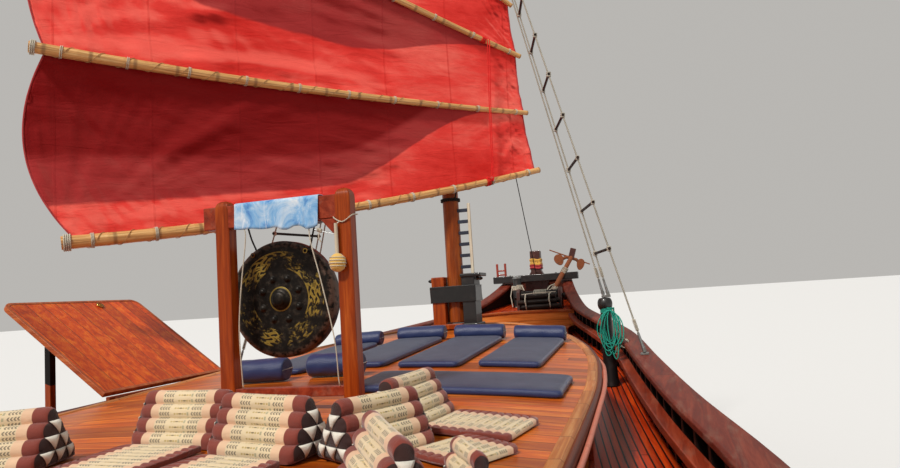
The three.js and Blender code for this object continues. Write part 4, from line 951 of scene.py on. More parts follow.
class Recipe(Graph):
    """A Geometry Nodes tree with named inputs, run on a carrier of points or lines."""

    def __init__(self, name: str, inputs: Sequence[tuple[str, str, object]]) -> None:
        """Starts the tree.

        Args:
            name: the tree's name.
            inputs: the name, kind and default of each input after the carrier.
        """
        self.tree = bpy.data.node_groups.new(name, "GeometryNodeTree")
        sockets = self.tree.interface
        sockets.new_socket("Geometry", in_out="INPUT", socket_type="NodeSocketGeometry")
        sockets.new_socket("Geometry", in_out="OUTPUT", socket_type="NodeSocketGeometry")
        self.keys: dict[str, str] = {}
        for label, kind, default in inputs:
            socket = sockets.new_socket(label, in_out="INPUT", socket_type=kind)
            if default is not None:
                socket.default_value = default
            self.keys[label] = socket.identifier
        self.start = self.add("NodeGroupInput").outputs

    def close(self, geometry: bpy.types.NodeSocket) -> None:
        """Ends the tree with real faces in their finish."""
        real = self.add("GeometryNodeRealizeInstances", {0: geometry}).outputs[0]
        finished = self.add("GeometryNodeSetMaterial", {"Geometry": real, "Material": self.start["Finish"]})
        self.add("NodeGroupOutput", {0: finished.outputs[0]})

    def run(self, carrier: bpy.types.Mesh, values: dict[str, object]) -> bpy.types.Mesh:
        """Runs the tree.

        Args:
            carrier: the mesh of points or lines.
            values: the inputs by name.

        Returns:
            A plain mesh.
        """
        holder = bpy.data.objects.new("carrier", carrier)
        bpy.context.scene.collection.objects.link(holder)
        steps = holder.modifiers.new("recipe", "NODES")
        steps.node_group = self.tree
        for label, value in values.items():
            steps[self.keys[label]] = value
        graph = bpy.context.evaluated_depsgraph_get()
        result = bpy.data.meshes.new_from_object(holder.evaluated_get(graph), depsgraph=graph)
        holder.modifiers.remove(steps)
        bpy.data.objects.remove(holder)
        return result


class RopeRecipe(Recipe):
    """Lays three strands along lines."""

    def __init__(self) -> None:
        """Builds the tree."""
        super().__init__("laid_rope", [
            ("Radius", "NodeSocketFloat", 0.008), ("Lay", "NodeSocketFloat", 0.06),
            ("Step", "NodeSocketFloat", 0.012), ("Finish", "NodeSocketMaterial", None),
        ])
        line = self.add("GeometryNodeMeshToCurve", {0: self.start["Geometry"]}).outputs[0]
        line = self.add("GeometryNodeResampleCurve", {"Curve": line, "Length": self.start["Step"]},
                        mode="LENGTH")
        length = self.add("GeometryNodeSplineParameter").outputs["Length"]
        twist = self.times(self.maths("DIVIDE", length, self.start["Lay"]), math.tau)
        turned = self.add("GeometryNodeSetCurveTilt", {"Curve": line.outputs[0], "Tilt": twist}).outputs[0]
        circle = self.add("GeometryNodeCurvePrimitiveCircle",
                          {"Resolution": 9, "Radius": self.start["Radius"]})
        index = self.add("GeometryNodeInputIndex").outputs[0]
        crown = self.maths("COSINE", self.times(index, math.tau / 3))
        spot = self.add("GeometryNodeInputPosition").outputs[0]
        swell = self.plus(0.87, self.times(crown, 0.13))
        moved = self.add("ShaderNodeVectorMath", {0: spot, "Scale": swell}, operation="SCALE").outputs[0]
        section = self.add("GeometryNodeSetPosition", {"Geometry": circle.outputs[0], "Position": moved})
        marked = self.add(
            "GeometryNodeStoreNamedAttribute",
            {"Geometry": section.outputs[0], "Name": "crown", "Value": crown},
            data_type="FLOAT", domain="POINT",
        )
        tube = self.add(
            "GeometryNodeCurveToMesh",
            {"Curve": turned, "Profile Curve": marked.outputs[0], "Fill Caps": True},
        )
        self.close(self.add("GeometryNodeSetShadeSmooth", {0: tube.outputs[0]}).outputs[0])


class RowRecipe(Recipe):
    """Sets a small shape on every point, with each point's own turn and size."""

    def __init__(self) -> None:
        """Builds the tree."""
        super().__init__("set_in_rows", [
            ("Piece", "NodeSocketObject", None), ("Spread", "NodeSocketFloat", 0.0),
            ("Seed", "NodeSocketInt", 7), ("Finish", "NodeSocketMaterial", None),
        ])
        shape = self.add("GeometryNodeObjectInfo", {"Object": self.start["Piece"]}).outputs["Geometry"]
        turn = self.add("GeometryNodeInputNamedAttribute", {"Name": "turn"}, data_type="FLOAT_VECTOR")
        size = self.add("GeometryNodeInputNamedAttribute", {"Name": "size"}, data_type="FLOAT_VECTOR")
        low = self.maths("SUBTRACT", 1.0, self.start["Spread"])
        high = self.plus(1.0, self.start["Spread"])
        luck = self.add("FunctionNodeRandomValue", {2: low, 3: high, "Seed": self.start["Seed"]},
                        data_type="FLOAT")
        scale = self.add("ShaderNodeVectorMath", {0: size.outputs[0], "Scale": luck.outputs[1]},
                         operation="SCALE")
        set_out = self.add("GeometryNodeInstanceOnPoints", {
            "Points": self.start["Geometry"], "Instance": shape, "Rotation": turn.outputs[0],
            "Scale": scale.outputs[0],
        })
        self.close(set_out.outputs[0])


class Workshop:
    """The two Geometry Nodes recipes and what they are used for."""

    def __init__(self) -> None:
        """Builds the recipes."""
        self.rope_recipe = RopeRecipe()
        self.row_recipe = RowRecipe()

    def ropes(
        self, name: str, paths: Sequence[Sequence[Sequence[float]]], radius: float, finish: Finish,
        body: str = "boat", lay: float = 0.0, **more: object,
    ) -> bpy.types.Object:
        """Lays ropes along paths.

        Args:
            name: the piece's name.
            paths: the centre line of each rope.
            radius: their radius.
            finish: their finish.
            body: the body that they ride on.
            lay: the length of one turn of the strands.
            more: passed on to the finished piece.

        Returns:
            The ropes as one object.
        """
        points = [tuple(p) for path in paths for p in path]
        edges = []
        first = 0
        for path in paths:
            edges += [(first + i, first + i + 1) for i in range(len(path) - 1)]
            first += len(path)
        carrier = bpy.data.meshes.new(name)
        carrier.from_pydata(points, edges, [])
        lay = lay or radius * 7
        mesh = self.rope_recipe.run(carrier, {
            "Radius": radius, "Lay": lay, "Step": lay / 5, "Finish": finish.material(),
        })
        return dress(name, mesh, finish, body, smooth=80, **more)

    def rows(
        self, name: str, shape: Shape, places: Sequence[tuple[Sequence[float], ...]], finish: Finish,
        body: str = "boat", spread: float = 0.0, **more: object,
    ) -> bpy.types.Object:
        """Sets copies of a small shape on places.

        Args:
            name: the piece's name.
            shape: the small shape, about the origin.
            places: a point for each copy, and where needed its turn in radians and its size.
            finish: their finish.
            body: the body that they ride on.
            spread: how much their sizes differ.
            more: passed on to the finished piece.

        Returns:
            The copies as one object.
        """
        carrier = bpy.data.meshes.new(name)
        carrier.from_pydata([tuple(place[0]) for place in places], [], [])
        turns = [value for place in places for value in (place[1] if len(place) > 1 else (0, 0, 0))]
        sizes = [value for place in places for value in (place[2] if len(place) > 2 else (1, 1, 1))]
        carrier.attributes.new("turn", "FLOAT_VECTOR", "POINT").data.foreach_set("vector", turns)
        carrier.attributes.new("size", "FLOAT_VECTOR", "POINT").data.foreach_set("vector", sizes)
        sample = shape.build("sample", finish)
        sample.parent = None
        mesh = self.row_recipe.run(carrier, {"Piece": sample, "Spread": spread, "Finish": finish.material()})
        bpy.data.objects.remove(sample)
        return dress(name, mesh, finish, body, **more)


def lerp(a: float, b: float, t: float) -> float:
    """Goes from a to b as t goes from 0 to 1."""
    return a + (b - a) * t


def eased(t: float) -> float:
    """Goes gently from 0 to 1 as t does, and stays there."""
    t = min(max(t, 0.0), 1.0)
    return t * t * (3 - 2 * t)


def steps(low: float, high: float, count: int) -> list[float]:
    """Gives evenly spaced values, both ends among them."""
    return [lerp(low, high, i / (count - 1)) for i in range(count)]


def along(path: Sequence[Sequence[float]], count: int) -> list[Vector]:
    """Draws a smooth line through points.

    Args:
        path: the points.
        count: how many points to give for each stretch.

    Returns:
        The points of the smooth line.
    """
    knots = [Vector(p) for p in path]
    ends = [2 * knots[0] - knots[1], *knots, 2 * knots[-1] - knots[-2]]
    line = []
    for a, b, c, d in zip(ends, ends[1:], ends[2:], ends[3:]):
        for t in (i / count for i in range(count)):
            line.append(0.5 * (2 * b + (c - a) * t + (2 * a - 5 * b + 4 * c - d) * t * t
                               + (3 * b - a - 3 * c + d) * t ** 3))
    return [*line, knots[-1]]


def coil(
    start: Sequence[float], end: Sequence[float], radius: float, turns: float, sides: int = 14,
) -> list[Vector]:
    """Winds a line round an axis.

    Args:
        start: where the winding begins on the axis.
        end: where it ends on the axis.
        radius: its distance from the axis.
        turns: the number of turns.
        sides: the points in each turn.

    Returns:
        The wound line.
    """
    a, b = Vector(start), Vector(end)
    heading = (b - a).normalized()
    guide = Vector((0, 0, 1)) if abs(heading.z) < 0.9 else Vector((1, 0, 0))
    across = heading.cross(guide).normalized()
    upward = across.cross(heading)
    count = max(int(turns * sides), 3)
    line = []
    for i in range(count + 1):
        t = math.tau * turns * i / count
        line.append(a.lerp(b, i / count) + (across * math.cos(t) + upward * math.sin(t)) * radius)
    return line


class Faired:
    """A smooth curve through a table, without bumps between its rows."""

    def __init__(self, rows: Sequence[tuple[float, float]]) -> None:
        """Works out the slope at each row."""
        self.rows = rows
        runs = [(b[1] - a[1]) / (b[0] - a[0]) for a, b in zip(rows, rows[1:])]
        middle = [0.0 if a * b <= 0 else 2 * a * b / (a + b) for a, b in zip(runs, runs[1:])]
        self.slopes = [runs[0], *middle, runs[-1]]

    def __call__(self, x: float) -> float:
        """Gives the curve's height at x."""
        rows = self.rows
        x = min(max(x, rows[0][0]), rows[-1][0])
        i = max(k for k in range(len(rows) - 1) if rows[k][0] <= x)
        (x0, y0), (x1, y1) = rows[i], rows[i + 1]
        h = x1 - x0
        t = (x - x0) / h
        return (
            y0 * (1 + 2 * t) * (1 - t) ** 2 + self.slopes[i] * h * t * (1 - t) ** 2
            + y1 * t * t * (3 - 2 * t) + self.slopes[i + 1] * h * t * t * (t - 1)
        )


@dataclass
class Lines:
    """The boat's lines, which every sub-assembly is laid to."""

    # Columns: station, half breadth of the rail, keel, fullness of the section
    stations: tuple = (
        (-11.5, 1.85, 0.35, 2.3), (-10.65, 2.12, -0.09, 2.4), (-9.8, 2.38, -0.52, 2.5),
        (-8.0, 2.79, -0.93, 2.8), (-6.0, 3.1, -1.15, 3.1), (-4.0, 3.24, -1.25, 3.3),
        (-2.0, 3.18, -1.29, 3.3), (-0.9, 3.07, -1.3, 3.2), (1.0, 2.76, -1.29, 3.0),
        (2.8, 2.5, -1.25, 2.8), (4.86, 2.21, -1.15, 2.5), (6.4, 1.84, -0.98, 2.3),
        (8.2, 1.35, -0.64, 2.1), (9.4, 1.08, -0.2, 1.9), (10.4, 0.86, 0.52, 1.7), (11.2, 0.7, 1.48, 1.5),
    )
    # Columns: station, half breadth of the cabin roof
    roof: tuple = (
        (-5.6, 2.118), (0.46, 2.1), (1.78, 2.02), (2.6, 1.89), (3.4, 1.66), (3.9, 1.44), (4.3, 1.18),
        (4.6, 0.93), (4.8, 0.68), (4.9, 0.46),
    )
    stern: float = -11.5
    bow: float = 11.2
    camber: float = 0.1

    def __post_init__(self) -> None:
        """Fairs the tables."""
        self.half = Faired([(row[0], row[1]) for row in self.stations])
        self.keel = Faired([(row[0], row[2]) for row in self.stations])
        self.fullness = Faired([(row[0], row[3]) for row in self.stations])
        self.roof_half = Faired(self.roof)

    def sheer(self, y: float) -> float:
        """Gives the rise of the deck line."""
        return 0.0026 * (y + 7.4) ** 2 - 0.0214

    def deck(self, y: float) -> float:
        """Gives the height of the deck."""
        return 1.7 + self.sheer(y) + 0.012 * max(-5.5 - y, 0) ** 2

    def rail(self, y: float) -> float:
        """Gives the height of the cap rail's top."""
        return 2.2 + self.sheer(y) + 0.035 * max(-5.5 - y, 0) ** 2 + 0.05 * max(y - 8.2, 0) ** 2

    def roof_edge(self, y: float) -> float:
        """Gives the height of the roof at its edge."""
        return 2.3 + self.sheer(y)

    def roof_top(self, x: float, y: float) -> float:
        """Gives the height of the cambered roof."""
        return self.roof_edge(y) + self.camber * (1 - (x / 2.1) ** 2)

    def foredeck(self, y: float) -> float:
        """Gives the height of the raised foredeck."""
        return 2.08 + self.sheer(y)


@dataclass
class Studio:
    """The camera at the photograph's place, a pale floor at the waterline and soft light."""

    eye: Point = (2.55, -4.4, 3.15)
    port_turn: float = 16.28
    upward_turn: float = 5.2
    roll: float = 3.7
    focal_mm: float = 28.0
    floor_half: float = 400.0
    sun_turn: Point = (42.0, 0.0, 343.0)

    def build(self) -> None:
        """Sets up the camera, the floor and the lights."""
        self.camera()
        self.floor()
        self.lights()

    def camera(self) -> None:
        """Places the camera."""
        turn, rise, roll = (math.radians(v) for v in (self.port_turn, self.upward_turn, self.roll))
        ahead = Vector((-math.sin(turn) * math.cos(rise), math.cos(turn) * math.cos(rise), math.sin(rise)))
        level = Vector((math.cos(turn), math.sin(turn), 0))
        above = level.cross(ahead)
        right = math.cos(roll) * level - math.sin(roll) * above
        up = math.sin(roll) * level + math.cos(roll) * above
        data = bpy.data.cameras.new("camera")
        data.sensor_width = 36.0
        data.sensor_fit = "HORIZONTAL"
        data.lens = self.focal_mm
        data.clip_end = 2000.0
        camera = bpy.data.objects.new("camera", data)
        matrix = Matrix((right, up, -ahead)).transposed().to_4x4()
        matrix.translation = Vector(self.eye)
        camera.matrix_world = matrix
        bpy.context.scene.collection.objects.link(camera)
        bpy.context.scene.camera = camera

    def floor(self) -> None:
        """Lays the pale floor at the waterline."""
        half = self.floor_half
        mesh = bpy.data.meshes.new("floor")
        corners = [(-half, -half, 0), (half, -half, 0), (half, half, 0), (-half, half, 0)]
        mesh.from_pydata(corners, [], [(0, 1, 2, 3)])
        graph = Graph("studio_floor")
        mesh.materials.append(graph.finish(tone("dfe0e1"), 0.9, None))
        floor = bpy.data.objects.new("floor", mesh)
        bpy.context.scene.collection.objects.link(floor)

    def lights(self) -> None:
        """Hangs a soft key and an even sky."""
        scene = bpy.context.scene
        world = bpy.data.worlds.new("studio")
        world.use_nodes = True
        world.node_tree.nodes["Background"].inputs["Color"].default_value = tone("f1eee9")
        world.node_tree.nodes["Background"].inputs["Strength"].default_value = 0.55
        scene.world = world
        scene.view_settings.view_transform = "Standard"
        data = bpy.data.lights.new("key", "SUN")
        data.energy = 3.0
        data.angle = math.radians(7)
        data.color = (1.0, 0.96, 0.9)
        key = bpy.data.objects.new("key", data)
        key.rotation_euler = Euler([math.radians(v) for v in self.sun_turn])
        scene.collection.objects.link(key)


# Columns: station, depth of the keel's underside
KEEL = ((-9.95, -1.25), (-6.0, -1.48), (4.0, -1.48), (8.2, -1.05), (10.3, 0.2))


@dataclass
class Hull:
    """Planking, deck, wales, keel, stern tube and gudgeons."""

    lines: Lines
    shop: Workshop
    deck_depth: float = 0.035
    edge_inset: float = 0.055
    wale_drops: tuple = ((0.1, 0.17), (0.62, 0.12), (1.05, 0.1))
    keel_half: float = 0.11
    tube_radius: float = 0.095
    gudgeon_heights: tuple = (0.8, 1.75)
    gudgeon_ends: tuple = (-11.56, -11.46)

    def build(self) -> None:
        """Builds the hull."""
        self.planking()
        self.deck()
        self.wales()
        self.backbone()

    def section(self, y: float, count: int = 15) -> list[Vector]:
        """Gives the points of the starboard side, keel first."""
        lines = self.lines
        edge = lines.half(y) - self.edge_inset
        keel, full = lines.keel(y), lines.fullness(y)
        side = []
        for i in range(count):
            s = (i / (count - 1)) ** 1.6
            side.append(Vector((edge * (1 - (1 - s) ** full), y,
                                lerp(keel, lines.deck(y) - self.deck_depth, s))))
        return side

    def planking(self) -> None:
        """Builds the planked shell."""
        shape = Shape()
        ys = steps(self.lines.stern, self.lines.bow, 72)
        rows = []
        for y in ys:
            side = self.section(y)
            port = [Vector((-p.x, p.y, p.z)) for p in reversed(side[1:])]
            rows.append([*port, *side])
        count = len(rows[0])

        def mark(i: int, j: int) -> tuple[float, float]:
            """Lays the strakes from the deck's edge down."""
            return (ys[i], min(j, count - 1 - j) * 0.29)

        shape.grid(rows, ring=True, capped=True, marks=mark)
        shape.build("hull_planking", Finishes.topsides, slot="bottom_paint", smooth=60, replaces=["hull"])

    def deck(self) -> None:
        """Builds the deck planks."""
        shape = Shape()
        rows = []
        for y in steps(self.lines.stern, self.lines.bow, 60):
            x, top = self.lines.half(y) - self.edge_inset, self.lines.deck(y)
            low = top - self.deck_depth
            rows.append([(-x, y, low), (x, y, low), (x, y, top), (0.0, y, top), (-x, y, top)])

        def mark(i: int, j: int) -> tuple[float, float]:
            """Lays the planks along the deck's edge."""
            return (rows[i][0][1], rows[i][1][0] if j == 3 else 0.0)

        shape.grid(rows, ring=True, capped=True, marks=mark)
        shape.build("deck_planking", Finishes.bent_deck, slot="redwood")

    def wales(self) -> None:
        """Builds the rubbing strakes along both sides."""
        shape = Shape()
        ys = steps(self.lines.stern + 0.02, self.lines.bow - 0.02, 60)
        for side in (-1, 1):
            for drop, height in self.wale_drops:
                rows = []
                for y in ys:
                    top = self.lines.deck(y) - drop
                    keel, full = self.lines.keel(y), self.lines.fullness(y)
                    edge = self.lines.half(y) - self.edge_inset
                    s = (top - height / 2 - keel) / (self.lines.deck(y) - keel)
                    x = edge * (1 - (1 - min(max(s, 0.05), 1)) ** full)
                    near, far = x - 0.03, x + 0.045
                    rows.append([
                        (side * near, y, top - height), (side * far, y, top - height + 0.012),
                        (side * far, y, top - 0.012), (side * near, y, top),
                    ])
                shape.grid(rows, ring=True, capped=True)
        shape.build("wales", Finishes.redwood, slot="redwood", bevel=0.012)

    def backbone(self) -> None:
        """Builds the keel, the stern tube and the rudder's gudgeons."""
        shape = Shape()
        depth = Faired(KEEL)
        rows = []
        for y in steps(KEEL[0][0], KEEL[-1][0], 36):
            x, low, top = self.keel_half, depth(y), self.lines.keel(y) + 0.16
            rows.append([(-x, y, low), (x, y, low), (x, y, top), (-x, y, top)])
        shape.grid(rows, ring=True, capped=True)
        shape.build("keel", Finishes.bottom, slot="bottom_paint", bevel=0.015)
        metal = Shape()
        r = self.tube_radius
        profile = [(0, 0), (0.06, 0), (r, 0.02), (r, 0.4), (0, 0.45)]
        metal.lathe(profile, (0, -10.15, -0.76), Axis.Y, 28)
        aft, fore = self.gudgeon_ends
        for z in self.gudgeon_heights:
            metal.box((-0.12, aft, z - 0.05), (0.12, fore, z + 0.05))
            for x in (-0.085, 0.085):
                metal.lathe([(0, 0), (0.014, 0), (0.014, -0.012), (0, -0.014)], (x, aft, z), Axis.Y, 10)
        metal.build("stern_fittings", Finishes.bronze, slot="propeller_bronze", bevel=0.008)


@dataclass
class Bulwarks:
    """Side planking above the deck, stanchions, inner rail, end boards and the cap rail."""

    lines: Lines
    shop: Workshop
    cap_width: float = 0.24
    cap_thickness: float = 0.07
    outer: float = 0.06
    inner: float = 0.13
    post_depth: float = 0.07
    post_spacing: float = 0.36
    rail_depth: float = 0.11
    rail_drop: float = 0.2
    rail_end: float = 9.05

    def build(self) -> None:
        """Builds the bulwarks."""
        self.planks()
        self.posts()
        self.inner_rail()
        self.cap_rail()

    def strip(
        self, shape: Shape, side: int, ends: tuple[float, float], out: tuple[float, float],
        low: Curve, top: Curve, slots: Sequence[int] = (0, 0, 0, 0),
    ) -> None:
        """Adds a strip that follows the side.

        Args:
            shape: takes the strip.
            side: 1 to starboard, -1 to port.
            ends: where it starts and stops.
            out: its two distances in from the rail's outer edge.
            low: the height of its underside.
            top: the height of its upper side.
            slots: finishes of its bottom, outer, upper and inner faces.
        """
        ys = steps(*ends, 56)
        near, far = ([side * (self.lines.half(y) - d) for y in ys] for d in (max(out), min(out)))
        corners = [
            [(a, y, low(y)), (b, y, low(y)), (b, y, top(y)), (a, y, top(y))]
            for a, b, y in zip(near, far, ys)
        ]
        for k in range(4):
            shape.grid([[row[k], row[(k + 1) % 4]] for row in corners], slots[k])
        for i in (0, -1):
            shape.grid([corners[i][:2], [corners[i][3], corners[i][2]]], slots[1])

    def planks(self) -> None:
        """Builds the planked sides and the end boards."""
        lines = self.lines
        shape = Shape()
        for side in (-1, 1):
            self.strip(
                shape, side, (lines.stern, lines.bow), (self.inner, self.outer), lambda y: lines.deck(y),
                lambda y: lines.rail(y) - self.cap_thickness, (1, 0, 0, 1),
            )
        for low, high in ((lines.stern, lines.stern + 0.07), (lines.bow - 0.07, lines.bow)):
            x = lines.half(low) - self.outer
            shape.box((-x, low, lines.deck(low)), (x, high, lines.rail(low) - self.cap_thickness), 0)
        shape.build(
            "bulwark_planks", [Finishes.bulwark_out, Finishes.bulwark_in], slot="dark_paint",
            replaces=["bulwark_stern", "bulwark_port", "bulwark_starboard", "bulwark_fore_port",
                      "bulwark_fore_starboard", "bulwark_bow"],
        )

    def posts(self) -> None:
        """Sets the stanchions along both sides."""
        post = Shape()
        post.box((-self.post_depth, -0.035, 0), (0, 0.035, 1))
        lines = self.lines
        places = []
        y = lines.stern + 0.3
        while y < self.rail_end:
            slope = (lines.half(y + 0.05) - lines.half(y - 0.05)) / 0.1
            low = lines.deck(y)
            height = lines.rail(y) - self.cap_thickness - low
            for side in (-1, 1):
                x = side * (lines.half(y) - self.inner + 0.004)
                turn = (0 if side > 0 else math.pi) - side * math.atan(slope)
                places.append(((x, y, low), (0, 0, turn), (1, 1, height)))
            y += self.post_spacing
        self.shop.rows("bulwark_posts", post, places, Finishes.tarred_wood, slot="dark_paint", bevel=0.006)

    def inner_rail(self) -> None:
        """Builds the rail inside the stanchions."""
        lines = self.lines
        shape = Shape()
        near = self.inner + self.post_depth - 0.006
        for side in (-1, 1):
            self.strip(
                shape, side, (lines.stern + 0.3, self.rail_end), (near, near + self.rail_depth),
                lambda y: lines.rail(y) - self.rail_drop - 0.07, lambda y: lines.rail(y) - self.rail_drop,
            )
        shape.build("inner_rail", Finishes.redwood, slot="redwood", bevel=0.01)

    def cap_rail(self) -> None:
        """Builds the cap rail with its rounded edges and crowned top."""
        lines = self.lines
        shape = Shape()
        ys = steps(lines.stern, lines.bow, 64)
        width, low = self.cap_width, self.cap_thickness
        section = [
            (0.012, -low), (0.0, -low + 0.014), (0.0, -0.02), (0.016, -0.004), (0.07, 0.0), (0.17, 0.0),
            (width - 0.016, -0.004), (width, -0.02), (width, -low + 0.014), (width - 0.012, -low),
        ]
        for side in (-1, 1):
            rows = [[(side * (lines.half(y) - d), y, lines.rail(y) + z) for d, z in section] for y in ys]
            shape.grid(rows, ring=True, capped=True)
        for y, depth in ((lines.stern, width), (lines.bow - 0.12, 0.12)):
            x = lines.half(y) - 0.01
            shape.box((-x, y, lines.rail(y) - low), (x, y + depth, lines.rail(y) + 0.002))
        shape.build("cap_rail_planks", Finishes.cap, slot="redwood", smooth=50, bevel=0.006,
                    replaces=["cap_rail"])


@dataclass
class Cabin:
    """Cambered roof, its rim, the trunk's windows and the hatch."""

    lines: Lines
    shop: Workshop
    aft: float = -5.6
    fore: float = 4.9
    thickness: float = 0.06
    rim_width: float = 0.12
    lip: float = 0.018
    worn: tuple = (4, 8)
    wall_inset: float = 0.11
    bead_drop: float = 0.075
    bead_radius: float = 0.026
    window_places: tuple = (-4.5, -2.9, -1.3, 0.3)
    window: tuple = (0.62, 0.27)
    hatch: tuple = (0.9, 0.8, -3.95)

    def build(self) -> None:
        """Builds the cabin's upper works."""
        self.roof()
        self.rim()
        self.windows()
        self.hatch_lid()
        redress("cabin_trunk", Finishes.walls)

    def slab(self, shape: Shape, ends: tuple[float, float], low: Curve, high: Curve, count: int) -> None:
        """Adds a stretch of roof between two edges.

        Args:
            shape: takes the stretch.
            ends: where it starts and stops.
            low: its port edge.
            high: its starboard edge.
            count: the number of rows.
        """
        rows = []
        for y in steps(*ends, count):
            xs = steps(low(y), high(y), 17)
            top = [(x, y, self.lines.roof_top(x, y)) for x in xs]
            under = [(x, y, self.lines.roof_top(x, y) - self.thickness) for x in reversed(xs)]
            rows.append([*top, *under])
        shape.grid(rows, ring=True, capped=True)

    def roof(self) -> None:
        """Builds the planked roof round the hatch."""
        width, length, front = self.hatch
        hole_x, aft_y, fore_y = width / 2 - 0.06, front - length + 0.06, front - 0.06
        inset = self.rim_width - 0.01

        def edge(y: float) -> float:
            """Gives the roof's edge inside its rim."""
            return max(self.lines.roof_half(y) - inset, 0.02)

        shape = Shape()
        self.slab(shape, (self.aft + inset, aft_y), lambda y: -edge(y), edge, 8)
        self.slab(shape, (aft_y, fore_y), lambda y: -edge(y), lambda y: -hole_x, 6)
        self.slab(shape, (aft_y, fore_y), lambda y: hole_x, edge, 6)
        self.slab(shape, (fore_y, self.fore - inset), lambda y: -edge(y), edge, 60)
        shape.build("roof_planking", Finishes.roof, slot="varnish", smooth=30, replaces=["cabin_roof"])

    def outline(self) -> list[tuple[Vector, Vector]]:
        """Gives the points round the roof and the mitred way out at each."""
        ys = [*steps(self.aft, 0.4, 16), *steps(0.7, 3.2, 16), *steps(3.3, self.fore, 26)]
        side = [Vector((self.lines.roof_half(y), y)) for y in ys]
        ring = [*side, *[Vector((-p.x, p.y)) for p in reversed(side)]]
        result = []
        for i, here in enumerate(ring):
            before, after = ring[i - 1], ring[(i + 1) % len(ring)]
            first, second = (here - before).normalized(), (after - here).normalized()
            ways = [Vector((d.y, -d.x)) for d in (first, second)]
            mean = (ways[0] + ways[1]).normalized()
            result.append((here, mean / max(mean.dot(ways[0]), 0.5)))
        return result

    def rim(self) -> None:
        """Builds the double moulding round the roof, its hinge blocks and the beads."""
        section = [
            (0.0, -0.057), (0.0, -0.02), (0.006, -0.004), (0.02, 0.006), (0.034, 0.0), (0.04, 0.008),
            (0.05, self.lip), (0.104, self.lip), (self.rim_width, 0.004), (self.rim_width, -0.057),
        ]
        shape = Shape()
        rows = []
        for here, way in self.outline():
            edge = self.lines.roof_top(here.x, here.y)
            rows.append([(here.x - way.x * d, here.y - way.y * d, edge + z) for d, z in section])
        shape.grid([*rows, rows[0]], ring=True)
        shape.slots = [int(self.worn[0] <= i % len(section) < self.worn[1]) for i in range(len(shape.slots))]
        for y in (0.75, 1.495, 2.24):
            x = -self.lines.roof_half(y)
            shape.box((-2.106, y - 0.06, 2.46 - 0.012), (x + 0.06, y + 0.06, 2.478))
        shape.build("roof_moulding", [Finishes.rim_side, Finishes.rim_top], slot="varnish", smooth=50,
                    replaces=["roof_rim"])
        for side in (-1, 1):
            bead = Shape()
            path = []
            for y in steps(self.aft + 0.2, 3.0, 40):
                x = side * (self.lines.roof_half(y) - self.wall_inset + 0.028)
                path.append((x, y, self.lines.roof_edge(y) - self.bead_drop))
            bead.tube(path, self.bead_radius, 14)
            bead.build(f"roof_bead_{'port' if side < 0 else 'starboard'}", Finishes.bead, slot="varnish")
        bead = Shape()
        path = [
            (self.lines.roof_half(y) + 0.02, y, self.lines.roof_edge(y) - 0.04 + 0.02 * math.sin(y * 1.7))
            for y in steps(-4.2, 3.6, 90)
        ]
        bead.tube(path, 0.017, 12)
        bead.build("rim_bead", Finishes.bead, slot="redwood")

    def windows(self) -> None:
        """Builds the frames and panes of the trunk's windows."""
        length, height = self.window
        frames, panes = Shape(), Shape()
        for side in (-1, 1):
            for y in self.window_places:
                wall = side * (self.lines.roof_half(y) - self.wall_inset)
                middle = (self.lines.deck(y) + self.lines.roof_edge(y) - self.thickness) / 2
                near, far = sorted((wall - side * 0.01, wall + side * 0.022))
                framed(frames, Axis.X, (near, far), (y, length), (middle, height), 0.045)
                near, far = sorted((wall - side * 0.034, wall - side * 0.026))
                panes.box(
                    (near, y - length / 2 - 0.005, middle - height / 2 - 0.005),
                    (far, y + length / 2 + 0.005, middle + height / 2 + 0.005),
                )
        frames.build("trunk_window_frames", Finishes.redwood, slot="redwood", bevel=0.005)
        panes.build("trunk_window_panes", Finishes.glass, slot="dark_paint")

    def hatch_lid(self) -> None:
        """Builds the hatch lid with its battens and ring."""
        width, length, front = self.hatch
        low_y = front - length
        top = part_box("roof_hatch")[1].z
        lid = Shape()
        base = self.lines.roof_top(0, front) + 0.004
        lid.box((-width / 2, low_y, base), (width / 2, front, top - 0.012))
        for x in (-width / 2 + 0.03, width / 2 - 0.11):
            lid.box((x, low_y + 0.02, top - 0.012), (x + 0.08, front - 0.02, top))
        lid.build("hatch_lid", Finishes.hatch, "hatch", bevel=0.008, slot="redwood", replaces=["roof_hatch"])
        ring = Shape()
        ring.tube([(0.05 * math.cos(t), low_y + 0.16, top - 0.004 + 0.012 * math.sin(t))
                   for t in steps(0, math.tau, 21)], 0.006, 8, capped=False)
        ring.build("hatch_ring", Finishes.brass, "hatch", slot="propeller_bronze")


def framed(
    shape: Shape, normal: Axis, depth: tuple[float, float], first: tuple[float, float],
    second: tuple[float, float], width: float,
) -> None:
    """Adds the four sides of a frame round an opening.

    Args:
        shape: takes the frame.
        normal: the way that the opening faces, X or Y.
        depth: where the frame starts and stops along that way.
        first: the opening's middle and size along the other level axis.
        second: its middle height and size upward.
        width: the width of the frame.
    """
    (a, la), (b, lb) = first, second
    bars = [
        (a - la / 2 - width, a + la / 2 + width, b + lb / 2, b + lb / 2 + width),
        (a - la / 2 - width, a + la / 2 + width, b - lb / 2 - width, b - lb / 2),
        (a - la / 2 - width, a - la / 2, b - lb / 2, b + lb / 2),
        (a + la / 2, a + la / 2 + width, b - lb / 2, b + lb / 2),
    ]
    for a0, a1, b0, b1 in bars:
        if normal is Axis.X:
            shape.box((depth[0], a0, b0), (depth[1], a1, b1))
        else:
            shape.box((a0, depth[0], b0), (a1, depth[1], b1))


def redress(node: str, finish: Finish) -> None:
    """Gives a CAD node that stays its finish."""
    piece = bpy.data.objects[node]
    piece.data.materials.clear()
    piece.data.materials.append(finish.material())


